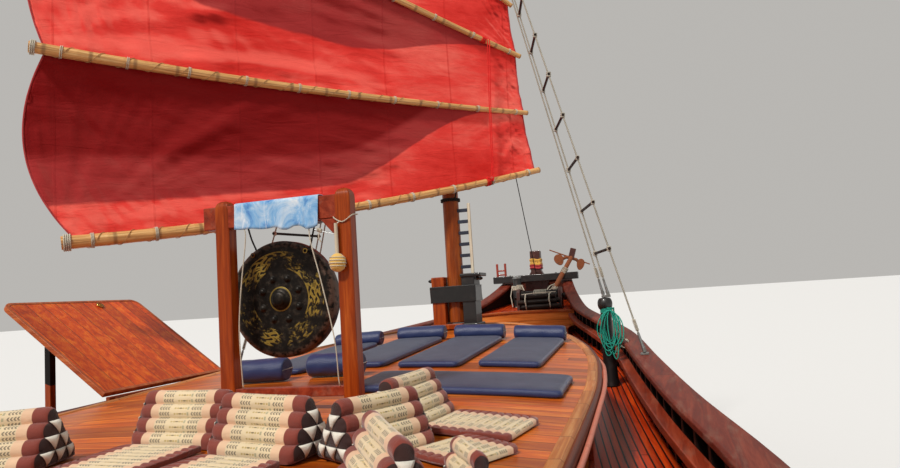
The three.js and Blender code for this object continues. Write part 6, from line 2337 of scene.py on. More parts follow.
    def poles(self) -> None:
        """Builds the bamboo spars with their joints and hollow ends, the bores painted near-black as painted
        shade.
        """
        for spar, nodes in zip(self.spars, self.nodes):
            shape = Shape()
            length = (self.centre(spar, 1) - self.centre(spar, 0)).length
            joints = max(round(length / 0.42), 2)
            path = []
            for i in range(joints):
                for step, swell in ((0.0, 1.03), (0.03, 0.985), (0.5, 0.955), (0.97, 0.985)):
                    path.append(((i + step) / joints, swell))
            path.append((1.0, 1.0))
            line = [self.centre(spar, t) for t, _ in path]
            radii = [spar.radius(t) * swell * 0.97 for t, swell in path]
            shape.tube(line, radii, 18, capped=False)
            rows = shape.points[-18:]
            middle = sum(rows, Vector()) / 18
            heading = (line[-1] - line[-2]).normalized()
            inner = [middle + (p - middle) * 0.78 for p in rows]
            deep = [p - heading * 0.1 for p in inner]
            shape.grid([rows, inner], ring=True)
            # The bore's wall and its far end take the second finish, a near-black painted shade.
            shape.grid([inner, deep], 1, ring=True)
            base = len(shape.points)
            shape.points.extend(deep)
            shape.face(range(base, base + 18), 1, [(0, 0)] * 18)
            shape.points.extend(shape.points[:18])
            shape.face(range(base + 18, base + 36), 0, [(0, 0)] * 18)
            shape.build(f"{self.name}_{spar.name}_pole", [Finishes.bamboo, Finishes.bamboo_end], self.body,
                        smooth=50, slot="bamboo", replaces=[node for node in nodes.split() if node])

    def ties(self) -> None:
        """Winds the lashings round the spars and laces the sail."""
        white, winding, red = [], [], []
        for k, spar in enumerate(self.spars):
            length = (self.centre(spar, 1) - self.centre(spar, 0)).length
            for t in steps(0.03, 0.95, max(round(length / 0.62), 3)):
                a, b = self.centre(spar, t), self.centre(spar, t + 0.035 / length)
                white.append(coil(a, b, spar.radius(t) + 0.004, 2.2 if k else 3.2, 12))
            if k < 2:
                count = round(length / 0.3)
                turns = [self.centre(spar, t) for t in steps(0.02, 0.97, count + 1)]
                for i, (a, b) in enumerate(zip(turns, turns[1:])):
                    winding.append(coil(a, b, spar.radius(i / count) + 0.002, 1, 16))
        self.shop.ropes(f"{self.name}_ties", white, 0.005, Finishes.rope, self.body, slot="rope")
        self.shop.ropes(f"{self.name}_winding", winding, 0.004, Finishes.tan_rope, self.body, slot="rope")
        for start, end in self.lacing:
            low, high = self.spars[start[0]], self.spars[end[0]]
            a, b = self.centre(low, start[1]), self.centre(high, end[1])
            out = self.place(0, 1, 0) - self.place(0, 0, 0)
            shift = out * (low.radius(start[1]) + 0.012)
            for slip in (0.0, 0.02):
                middle = a.lerp(b, 0.5) + shift * (0.8 + slip) + Vector((slip, 0, -0.01))
                red.append([a + shift + Vector((slip, 0, 0)), middle,
                            b + shift + Vector((slip * 1.4, 0, 0))])
            red.append(coil(a - (b - a).normalized() * 0.01, a + (b - a).normalized() * 0.05,
                            low.radius(start[1]) + 0.01, 3, 12))
            for spar, t in ((low, start[1]), (high, end[1])):
                red.append(coil(self.centre(spar, t), self.centre(spar, t + 0.012), spar.radius(t) + 0.006,
                                4, 14))
        if red:
            self.shop.ropes(f"{self.name}_lacing", red, 0.0075, Finishes.red_rope, self.body, slot="rope")
        boom = self.spars[0]
        tip = self.centre(boom, 0.985)
        knots = [coil(tip, self.centre(boom, 0.997), boom.radius(1) + 0.008, 4, 16)]
        upper = self.centre(self.spars[1], 0.99)
        knots.append(coil(upper, self.centre(self.spars[1], 0.998), self.spars[1].radius(1) + 0.008, 3, 16))
        self.shop.ropes(f"{self.name}_end_knots", knots, 0.009, Finishes.rope, self.body, slot="rope")

    def parrel(self) -> None:
        """Builds the rope ring that holds the boom to the mast."""
        inner = self.mast.radius(self.parrel_z)
        ring = [Vector(((inner + 0.016) * math.cos(t), self.mast.y + (inner + 0.016) * math.sin(t), z))
                for z in (self.parrel_z + 0.014, self.parrel_z + 0.036) for t in steps(0, math.tau, 25)]
        boom = self.spars[0]
        t = -boom.luff[0] / (boom.leech[0] - boom.luff[0])
        turn = math.radians(self.swing)
        foot = Vector(((inner + 0.02) * math.cos(turn), self.mast.y - (inner + 0.02) * math.sin(turn),
                       self.parrel_z + 0.025))
        paths = [ring, [foot, foot.lerp(self.centre(boom, t), 0.5), self.centre(boom, t)]]
        self.shop.ropes(f"{self.name}_parrel", paths, 0.0125, Finishes.dark_rope, self.body, slot="rope")


MAIN_SPARS = (
    Spar("boom", (-1.34, 4.85), (4.52, 3.93), 0.11, 0.072, 0.042),
    Spar("batten_2", (-1.22, 5.66), (4.78, 5.9), 0.07, 0.062, 0.034),
    Spar("batten_3", (-1.17, 6.47), (4.44, 8.28), 0.06, 0.06, 0.034),
    Spar("batten_4", (-1.09, 7.2), (3.85, 10.05), 0.05, 0.058, 0.032),
    Spar("batten_5", (-1.0, 7.8), (3.01, 11.41), 0.04, 0.056, 0.032),
    Spar("yard", (-0.85, 8.3), (1.75, 12.45), 0.0, 0.076, 0.048),
)
MIZZEN_SPARS = (
    Spar("boom", (-0.7, 6.0), (2.4, 5.75), 0.05, 0.05, 0.032),
    Spar("batten_2", (-0.64, 6.55), (2.45, 6.9), 0.03, 0.042, 0.028),
    Spar("batten_3", (-0.58, 7.05), (2.15, 8.05), 0.03, 0.042, 0.028),
    Spar("yard", (-0.5, 7.45), (1.15, 9.55), 0.0, 0.052, 0.036),
)


@dataclass
class MizzenMast(MastGear):
    """The mizzen mast, which stands on the poop."""

    y: float = -9.0
    foot_radius: float = 0.088
    head_radius: float = 0.05
    head: float = 10.3
    step: float = 3.64

    def radius(self, z: float) -> float:
        """Gives the mast's radius at a height."""
        return lerp(self.foot_radius, self.head_radius, (z - self.step) / (self.head - self.step))

    def build(self) -> None:
        """Builds the mast, its step and its bands."""
        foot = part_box("mizzen_mast")[0].z
        pole = Shape()
        profile = [(0, foot), *[(self.radius(z) * 0.995, z) for z in steps(foot, self.head - 0.05, 30)],
                   (self.head_radius * 0.8, self.head - 0.015), (0, self.head)]
        pole.lathe(profile, (0, self.y, 0), sides=36)
        pole.build("mizzen_pole", Finishes.mast, slot="varnish", replaces=["mizzen_mast"])
        gear = Shape()
        for z, height in ((foot + 0.002, 0.05), (8.9, 0.05), (9.6, 0.05)):
            r = self.radius(z)
            gear.lathe([(r * 0.98, 0), (r + 0.03, 0), (r + 0.02, height), (r * 0.98, height)],
                       (0, self.y, z), sides=24)
        gear.build("mizzen_bands", Finishes.tar, slot="black_wood", bevel=0.003)


@dataclass
class GongStand:
    """Frame on the roof with its gong, cloth, beater and strings."""

    lines: Lines
    shop: Workshop
    posts: tuple = (-0.19, 0.685)
    post_half: tuple = (0.053, 0.048)
    y: float = -0.35
    top: float = 3.89
    peg_height: float = 3.775
    string_foot: float = 2.652
    gong: tuple = GONG_CENTRE
    bosses: tuple = (8, 0.145, 0.022)

    def build(self) -> None:
        """Builds the frame and what hangs on it."""
        self.frame()
        self.disc()
        self.cloth()
        self.beater()

    def frame(self) -> None:
        """Builds the posts with their domed tops, the beam and the low bar."""
        half_x, half_y = self.post_half
        shape, beam = Shape(), Shape()
        for x in self.posts:
            foot = self.lines.roof_top(x, self.y) - 0.005
            dome = [(1.0, 0.0), (0.975, 0.018), (0.89, 0.035), (0.74, 0.049), (0.52, 0.058), (0.26, 0.063),
                    (0.01, 0.064)]
            base = self.top - 0.065
            rows = [[(x + sx * half_x, self.y + sy * half_y, z) for sx, sy in self.corners()]
                    for z in (foot, base)]
            for scale, rise in dome[1:]:
                rows.append([(x + sx * half_x * scale, self.y + sy * half_y * scale, base + rise)
                             for sx, sy in self.corners()])
            shape.grid(rows, ring=True, capped=True)
        shape.build("gong_posts", Finishes.varnish_z, bevel=0.007, slot="varnish", replaces=["gong_frame"])
        low, high = self.posts
        beam.box((low - 0.14, self.y - 0.045, 3.7), (high + 0.03, self.y + 0.045, 3.85))
        beam.box((low, self.y - 0.035, 2.59), (high, self.y + 0.035, 2.65))
        beam.prism([(high - half_x, self.y - 0.04, 3.58), (high - half_x, self.y - 0.04, 3.7),
                    (high - 0.16, self.y - 0.04, 3.7)], (0, 0.08, 0))
        beam.build("gong_beams", Finishes.redwood, bevel=0.006, slot="redwood")
        pegs = Shape()
        for x in (-0.17, 0.37):
            pegs.tube([(x, self.y + 0.04, self.peg_height), (x, -0.09, self.peg_height)], 0.012)
        pegs.build("gong_pegs", Finishes.tar, slot="black_wood")

    @staticmethod
    def corners() -> list[tuple[float, float]]:
        """Gives a post's chamfered section as signs of its half sizes."""
        cut = 0.86
        return [(1, -cut), (1, cut), (cut, 1), (-cut, 1), (-1, cut), (-1, -cut), (-cut, -1), (cut, -1)]

    def disc(self) -> None:
        """Builds the gong with its boss and the ring of small bosses, on its hangers."""
        x, y, z = self.gong
        profile = [
            (0.0, -0.095), (0.018, -0.094), (0.034, -0.0915), (0.044, -0.087), (0.056, -0.071),
            (0.068, -0.055), (0.076, -0.0505), (0.085, -0.05), (0.2, -0.05), (0.33, -0.05),
            (0.36, -0.0497), (0.372, -0.047), (0.388, -0.036), (0.3945, -0.026), (0.395, 0.046),
            (0.393, 0.05), (0.385, 0.05), (0.383, 0.046), (0.383, -0.024), (0.375, -0.033),
            (0.361, -0.038), (0.08, -0.038), (0.058, -0.074), (0.0, -0.083),
        ]
        shape = Shape()
        shape.lathe(profile, self.gong, Axis.Y, 96)
        shape.build("gong_disc", Finishes.gong, "gong", smooth=50, slot="gong_bronze", replaces=["gong"])
        count, ring, radius = self.bosses
        knob, holes = Shape(), Shape()
        knob.lathe([(radius * 1.25, 0.004), (radius * 1.2, -0.003), (radius, -0.006), (radius * 0.8, -0.014),
                    (radius * 0.4, -0.019), (0.0, -0.02)], (0, 0, 0), Axis.Y, 20)
        turns = [math.tau * (k + 0.5) / count for k in range(count)]
        places = [((x + ring * math.cos(t), y - 0.05, z + ring * math.sin(t)),) for t in turns]
        self.shop.rows("gong_bosses", knob, places, Finishes.gong, "gong", slot="gong_bronze")
        for side in (-1, 1):
            holes.lathe([(0.012, -0.004), (0.012, 0.002), (0.017, 0.002), (0.017, -0.004)],
                        (x + side * 0.2, y - 0.05, z + 0.312), Axis.Y, 16, closed=True)
        holes.build("gong_eyelets", Finishes.brass, "gong", slot="gong_bronze")
        cords = []
        for side in (-1, 1):
            top = Vector((x + side * 0.27, y, 3.7625))
            cords.append(along([(x + side * 0.2, y - 0.05, 3.527), (x + side * 0.204, y + 0.01, 3.548),
                                (x + side * 0.237, y, 3.645), top], 6))
            cords.append(coil(top - Vector((0, 0.03, -0.012)), top - Vector((0, -0.03, -0.012)), 0.0175, 3))
        self.shop.ropes("gong_hangers", cords, 0.007, Finishes.dark_rope, "gong", slot="tarred_rope")

    def cloth(self) -> None:
        """Drapes the tie-dyed cloth over the beam between the posts."""
        low, high = self.posts[0] + 0.105, self.posts[1] - 0.16
        count, reach = 56, 26
        shape = Shape()
        rows = []
        for i in range(count + 1):
            t = i / count
            x = lerp(low, high, t)
            crumple = 0.25 + 0.75 * min(max((t - 0.42) / 0.2, 0), 1)
            drop = lerp(0.17, 0.205, t) + 0.012 * crumple * math.sin(t * 23)
            wave = 0.006 * crumple * math.sin(t * 41) + 0.004 * math.sin(t * 17 + 1)
            row = []
            for j in range(reach + 1):
                s = j / reach
                hang = abs(2 * s - 1)
                flat = 0.22
                face = -1 if s < 0.5 else 1
                if hang < flat:
                    row.append((x, self.y + 0.05 * (2 * s - 1) / flat,
                                3.8575 + 0.004 * (1 - (hang / flat) ** 2)))
                else:
                    fall = (hang - flat) / (1 - flat)
                    depth = drop if face < 0 else drop * 0.8
                    out = 0.052 + 0.01 * fall + abs(wave) * fall * 1.6
                    row.append((x + wave * fall, self.y + face * out, 3.855 - depth * fall))
            rows.append(row)
        shape.grid(rows)
        piece = shape.build("beam_cloth", Finishes.tie_dye, smooth=80, wall=0.003)

    def beater(self) -> None:
        """Builds the steel rod, the beater with its loop and the loose strings' made-fast ends."""
        y, post = self.y - 0.07, self.posts[1]
        self.shop.ropes("beam_rod", [[(0.5, y, 3.63), (post - 0.03, y, 3.59)]], 0.005, Finishes.steel,
                        lay=1.0)
        front = self.y - self.post_half[1]
        side, back = self.post_half[0] + 0.006, self.y + self.post_half[1] + 0.006
        loop = [(post - side, self.y, 3.715), (post - side, front - 0.004, 3.70),
                (post, front - 0.006, 3.668), (post + side, front - 0.004, 3.70),
                (post + side, self.y, 3.715), (post + side, back, 3.72), (post, back, 3.722),
                (post - side, back, 3.72), (post - side, self.y, 3.715)]
        head = Vector((post - 0.035, y - 0.005, 3.41))
        hold = [(post - 0.02, front - 0.006, 3.672), (post - 0.03, y - 0.004, 3.655), (head.x, head.y, 3.64)]
        left = along([(-0.02, front - 0.005, 3.7), (0.0, y, 3.61), (-0.045, y, 3.3), (-0.07, y, 3.03),
                      (-0.072, y + 0.02, 2.7), (-0.072, self.y - 0.035, self.string_foot)], 6)
        right = along([(0.45, front - 0.005, 3.68), (0.47, y, 3.55), (0.53, y, 3.3), (0.6, y, 2.95),
                       (0.607, y + 0.02, 2.7), (0.607, self.y - 0.036, self.string_foot)], 6)
        tails = [along([(0.535, y, 3.62), (0.53, y - 0.01, 3.58), (0.545, y - 0.005, 3.55)], 4),
                 coil((0.52, y, 3.632), (0.55, y, 3.62), 0.01, 4)]
        self.shop.ropes("stand_strings", [along(loop, 4), hold, left, right, *tails], 0.0045, Finishes.rope,
                        slot="rope")
        handle, wound = Shape(), Shape()
        handle.tube([(head.x, head.y, 3.66), (head.x, head.y, 3.40)], [0.011, 0.012], 12)
        handle.build("beater_handle", Finishes.white_wood, slot="varnish")
        rows = [(0.004, 0.062), (0.02, 0.058), (0.036, 0.048), (0.047, 0.03), (0.052, 0.008), (0.05, -0.015),
                (0.041, -0.036), (0.026, -0.05), (0.01, -0.056), (0.0, -0.057)]
        wound.lathe([(r + 0.002 * math.sin(i * 2.4), z) for i, (r, z) in enumerate(rows)], head, Axis.Z, 28)
        wound.build("beater_head", Finishes.yarn, smooth=70, slot="rope")
        yarn = [coil(head + Vector((0, 0, lift)), head + Vector((0, 0, lift + 0.012)), width, 1.1, 20)
                for lift, width in ((0.03, 0.0475), (0.012, 0.052), (-0.006, 0.0525), (-0.024, 0.048))]
        self.shop.ropes("beater_winding", yarn, 0.0035, Finishes.rope, slot="rope")


@dataclass
class SideLeaf:
    """The varnished leaf on the port side of the roof, with its prop."""

    lines: Lines
    hinge: tuple = (-2.118, 2.494)
    tilt: float = 36.5
    reach: tuple = (0.014, 1.44)
    width: tuple = (0.63, 2.36)
    half: float = 0.0225
    planks: int = 10
    prop: tuple = (0.68, 0.032, 0.055)
    corner: float = 0.1

    def spot(self, out: float, y: float, up: float) -> Vector:
        """Gives a point by its way out from the hinge, its station and its height over the leaf's middle."""
        turn = math.radians(self.tilt)
        return Vector((
            self.hinge[0] - out * math.cos(turn) + up * math.sin(turn), y,
            self.hinge[1] + out * math.sin(turn) + up * math.cos(turn),
        ))

    def plate(self, shape: Shape, out: tuple, y: tuple, up: tuple, slot: int = 0) -> None:
        """Adds a block by its reaches out, fore and aft, and up."""
        ring = ((out[0], y[0]), (out[1], y[0]), (out[1], y[1]), (out[0], y[1]))
        rows = [[self.spot(reach, along_edge, rise) for reach, along_edge in ring] for rise in up]
        shape.grid(rows, slot, ring=True, capped=True)

    def build(self) -> None:
        """Builds the planks, edge strips, battens, ring and prop."""
        boards, strips = Shape(), Shape()
        edge = 0.035
        bounds = steps(self.width[0] + edge, self.width[1] - edge, self.planks + 1)
        for low, high in zip(bounds, bounds[1:]):
            self.plate(boards, (self.reach[0] + edge, self.reach[1] - edge), (low + 0.0004, high - 0.0004),
                       (-self.half + 0.006, self.half - 0.004))
        boards.build("leaf_boards", Finishes.leaf, "leaf", bevel=0.0012, slot="varnish",
                     replaces=["side_leaf"])
        outer, inner = self.outline(0.0), self.outline(edge)
        rings = ((outer, -1), (outer, 1), (inner, 1), (inner, -1), (outer, -1))
        strips.grid([[self.spot(o, y, sign * self.half) for o, y in ring] for ring, sign in rings],
                    ring=True)
        for out in (0.32, 1.1):
            self.plate(strips, (out, out + 0.09), (self.width[0] + edge, self.width[1] - edge),
                       (-self.half - 0.001, -self.half + 0.01))
        strips.build("leaf_edges", Finishes.rim_x, "leaf", bevel=0.006, slot="varnish")
        ledge, rows = Shape(), []
        for y in steps(*self.width, 12):
            wall, low = -self.lines.roof_half(y) + 0.03, self.hinge[1] - 0.045
            rows.append([(self.hinge[0] + 0.012, y, low), (wall, y, low), (wall, y, low + 0.038),
                         (self.hinge[0] + 0.012, y, low + 0.038)])
        ledge.grid(rows, ring=True, capped=True)
        ledge.build("leaf_ledge", Finishes.rim, slot="varnish", bevel=0.004)
        ring = Shape()
        out, y = self.reach[1] - 0.1, lerp(*self.width, 0.64)
        centre = self.spot(out, y, self.half + 0.004)
        loop = [self.spot(out + 0.035 * math.cos(t), y + 0.035 * math.sin(t), self.half + 0.006)
                for t in steps(0, math.tau, 25)]
        ring.tube(loop, 0.006, 10, capped=False)
        ring.lathe([(0.018, -0.006), (0.018, 0.0), (0.012, 0.008), (0.0, 0.01)], centre, Axis.Z, 20)
        ring.build("leaf_ring", Finishes.brass, "leaf", slot="propeller_bronze")
        self.stand()

    def outline(self, inset: float) -> list[tuple[float, float]]:
        """Gives the leaf's edge with its two outer corners rounded, as ways out and stations."""
        (near, far), (aft, fore) = self.reach, self.width
        points = [(near + inset, aft + inset)]
        for y, sign in ((aft, -1), (fore, 1)):
            for turn in steps(0, math.pi / 2, 7)[::sign]:
                points.append((far - self.corner + (self.corner - inset) * math.cos(turn),
                               y - sign * (self.corner - (self.corner - inset) * math.sin(turn))))
        return [*points, (near + inset, fore - inset)]

    def stand(self) -> None:
        """Builds the prop between the rail and the leaf."""
        y, half, inset = self.prop
        x = -self.lines.half(y) + inset
        foot = self.lines.rail(y) + 0.001
        tops = []
        for side in (-1, 1):
            out = (self.hinge[0] - (x + side * half)) / math.cos(math.radians(self.tilt))
            tops.append(self.spot(out, y, -self.half - 0.004).z - 0.02)
        shape = Shape()
        rows = []
        for share in (0.0, 0.45, 1.0):
            rows.append([(x + sx * half, y + sy * half, lerp(foot, tops[0 if sx < 0 else 1], share))
                         for sx, sy in ((-1, -1), (1, -1), (1, 1), (-1, 1))])
        shape.grid(rows[:2], 0, ring=True)
        shape.grid(rows[1:], 1, ring=True)
        shape.face([0, 1, 2, 3], 0, [(0, 0)] * 4)
        last = len(shape.points) - 4
        shape.face([last, last + 1, last + 2, last + 3], 1, [(0, 0)] * 4)
        shape.build("leaf_prop", [Finishes.varnish_z, Finishes.tarred_wood], bevel=0.006, slot="black_wood",
                    replaces=["leaf_post"])


@dataclass
class Padding:
    """Shapes padded cloth that lies on the cambered roof."""

    lines: Lines
    lift: float = 0.003

    def laid(self, point: Sequence[float], spot: tuple[float, float, float]) -> Vector:
        """Sets a point of a pad on the roof, with the pad's middle and turn in degrees."""
        x0, y0, turn = spot
        c, s = math.cos(math.radians(turn)), math.sin(math.radians(turn))
        x, y = x0 + point[0] * c - point[1] * s, y0 + point[0] * s + point[1] * c
        return Vector((x, y, self.lines.roof_top(x, y) + self.lift + point[2]))

    def pad(self, shape: Shape, spot: tuple[float, float, float], size: tuple[float, float, float]) -> None:
        """Adds a flat pad with rounded edges, waisted sides and a crowned top.

        Args:
            shape: takes the pad, its sides in the second finish.
            spot: its middle and turn.
            size: its width, length and thickness.
        """
        width, length, thick = size
        count = 112

        def ring(inset: float, level: float, scale: float = 1.0) -> list[Vector]:
            """Gives the outline at a height."""
            row = []
            for k in range(count):
                t = math.tau * (k + 0.5) / count
                c, s = math.cos(t), math.sin(t)
                x, y = math.copysign(abs(c) ** 0.14, c), math.copysign(abs(s) ** 0.14, s)
                waist = 1 - 0.035 * (1 - y * y)
                ends = 1 - 0.012 * (1 - x * x)
                row.append(self.laid((x * (width / 2 - inset) * waist * scale,
                                      y * (length / 2 - inset) * ends * scale, level), spot))
            return row

        sides = [ring(0.014, 0.0), ring(0.004, 0.006), ring(0.0, thick * 0.3), ring(0.001, thick * 0.55),
                 ring(0.008, thick * 0.74), ring(0.016, thick * 0.8)]
        top = [sides[-1], ring(0.022, thick * 0.84), ring(0.036, thick * 0.9)]
        top += [ring(0.036, thick * (1.0 - 0.1 * scale ** 4), scale)
                for scale in (0.85, 0.6, 0.35, 0.12, 0.01)]
        shape.grid([ring(0.014, 0.0, 0.02), *sides], 1, ring=True, capped=False)
        shape.grid(top, 0, ring=True)
        for row, slot in ((ring(0.036, thick, 0.01), 0), (ring(0.014, 0.0, 0.02), 1)):
            base = len(shape.points)
            shape.points.extend(row)
            shape.face(range(base, base + count), slot, [(0.0, 0.0)] * count)

    def roll(
        self, shape: Shape, spot: tuple[float, float, float], length: float, radius: float, height: float,
    ) -> None:
        """Adds a round bolster with gathered ends along its local X, its axis at a height."""
        rows = []
        half = length / 2
        ends = [(1.0, 0.004), (0.985, 0.3), (0.975, 0.62), (0.985, 0.86), (0.955, 0.94), (0.9, 0.985)]
        places = [(-half * p, r) for p, r in ends] + [(x * half, 1.0) for x in steps(-0.8, 0.8, 15)]
        places += [(half * p, r) for p, r in reversed(ends)]
        for x, share in places:
            row = []
            for k in range(36):
                t = math.tau * k / 36
                wrinkle = 1 + 0.012 * math.sin(5 * t + x * 31) + 0.01 * math.sin(3 * t - x * 17)
                flat = radius * share * wrinkle
                row.append(self.laid((x, flat * math.cos(t), height + flat * 0.96 * math.sin(t)), spot))
            rows.append(row)
        shape.grid(rows, ring=True, capped=True)

    def bands(
        self, shape: Shape, spot: tuple[float, float, float], width: float,
        section: Sequence[Sequence[float]], ends: Sequence[tuple[float, float]], sag: float,
    ) -> list[list[Vector]]:
        """Adds a padded piece of one section across its width, and gives its two end rings.

        Args:
            shape: takes the piece.
            spot: its middle and turn.
            width: its width.
            section: its scalloped section.
            ends: how far from each end, and how much smaller, the rounded rings are.
            sag: how far its middle drops and pulls in.
        """
        points = [Vector((0.0, *p)) for p in section]
        centre = sum(points, Vector()) / len(points)
        round_ = [0.0]
        for before, after in zip(points, [*points[1:], points[0]]):
            round_.append(round_[-1] + (after - before).length)
        places = [(-width / 2 + d, s) for d, s in ends]
        places += [(x, 1.0) for x in steps(-width / 2 + 0.06, width / 2 - 0.06, 13)]
        places += [(width / 2 - d, s) for d, s in reversed(ends)]
        rows = []
        for x, scale in places:
            dip = 1 - sag * (1 - (2 * x / width) ** 2)
            row = []
            for p in points:
                y, z = centre.y + (p.y - centre.y) * scale, centre.z + (p.z - centre.z) * scale
                row.append(self.laid((x, y * dip, z * dip), spot))
            rows.append(row)
        marks = [place[0] / width + 0.5 for place in places]
        shape.grid(rows, ring=True, marks=lambda i, j: (marks[i], round_[j]))
        return [rows[0], rows[-1]]

    @staticmethod
    def scallops(
        start: tuple[float, float], end: tuple[float, float], count: int, bulge: float, points: int = 8,
    ) -> list[tuple[float, float]]:
        """Gives a line of stuffed rolls from start to end, without its last point."""
        a, b = Vector(start), Vector(end)
        out = Vector((b.y - a.y, a.x - b.x)).normalized()
        line = []
        for k in range(count):
            for i in range(points):
                t = i / points
                rise = bulge * (math.sin(math.pi * t) ** 0.62) - bulge * 0.25
                spot = a.lerp(b, (k + t) / count) + out * rise
                line.append((spot.x, spot.y))
        return line


@dataclass
class Bedding:
    """Mattresses with their head bolsters, and the round bolsters."""

    lines: Lines
    shop: Workshop
    # Name, middle, width, length, whether it has a head bolster
    beds: tuple = (
        ("starboard", 1.29, 2.2, 0.55, 1.65, True), ("middle", 0.59, 2.25, 0.57, 1.85, True),
        ("port", -0.11, 2.3, 0.57, 1.85, True), ("outer_port", -0.81, 2.1, 0.57, 1.85, True),
        ("across", 1.13, 0.54, 1.54, 0.68, False),
    )
    rolls: tuple = (("bolster_port", -0.7, 0.85, 0.48, 0.105), ("bolster_middle", -0.08, 0.98, 0.48, 0.105))
    thick: float = 0.06

    def build(self) -> None:
        """Builds every mattress and bolster."""
        padding = Padding(self.lines)
        rings = []
        for name, x, y, width, length, headed in self.beds:
            bed = Shape()
            padding.pad(bed, (x, y, 0.0), (width, length, self.thick))
            piece = bed.build(f"bed_{name}", [Finishes.mattress, Finishes.navy], smooth=60,
                              slot="navy_fabric", replaces=[f"mattress_{name}"])
            if headed:
                head = Shape()
                spot = (x, y + length / 2 + 0.078, 0.0)
                padding.roll(head, spot, width, 0.085, 0.085)
                head.build(f"head_bolster_{name}", Finishes.navy, smooth=60, slot="navy_fabric")
                rings.append((spot, width, 0.085, 0.085))
        for name, x, y, length, radius in self.rolls:
            roll = Shape()
            padding.roll(roll, (x, y, 0.0), length, radius - 0.004, radius - 0.008)
            piece = roll.build(f"round_{name}", Finishes.navy, smooth=60, slot="navy_fabric",
                               replaces=[name])
            rings.append(((x, y, 0.0), length, radius - 0.004, radius - 0.008))
        white, dark = [], []
        for spot, length, radius, height in rings:
            for side, lines in ((1, white), (-1, dark)):
                lines.append([padding.laid((side * length / 2 * 0.985, radius * 0.87 * math.cos(t),
                                            height + radius * 0.84 * math.sin(t)), spot)
                              for t in steps(0, math.tau, 37)])
        self.shop.ropes("bolster_piping_white", white, 0.006, Finishes.white_piping, lay=1.0,
                        slot="navy_fabric")
        self.shop.ropes("bolster_piping_dark", dark, 0.006, Finishes.piping, lay=1.0, slot="navy_fabric")


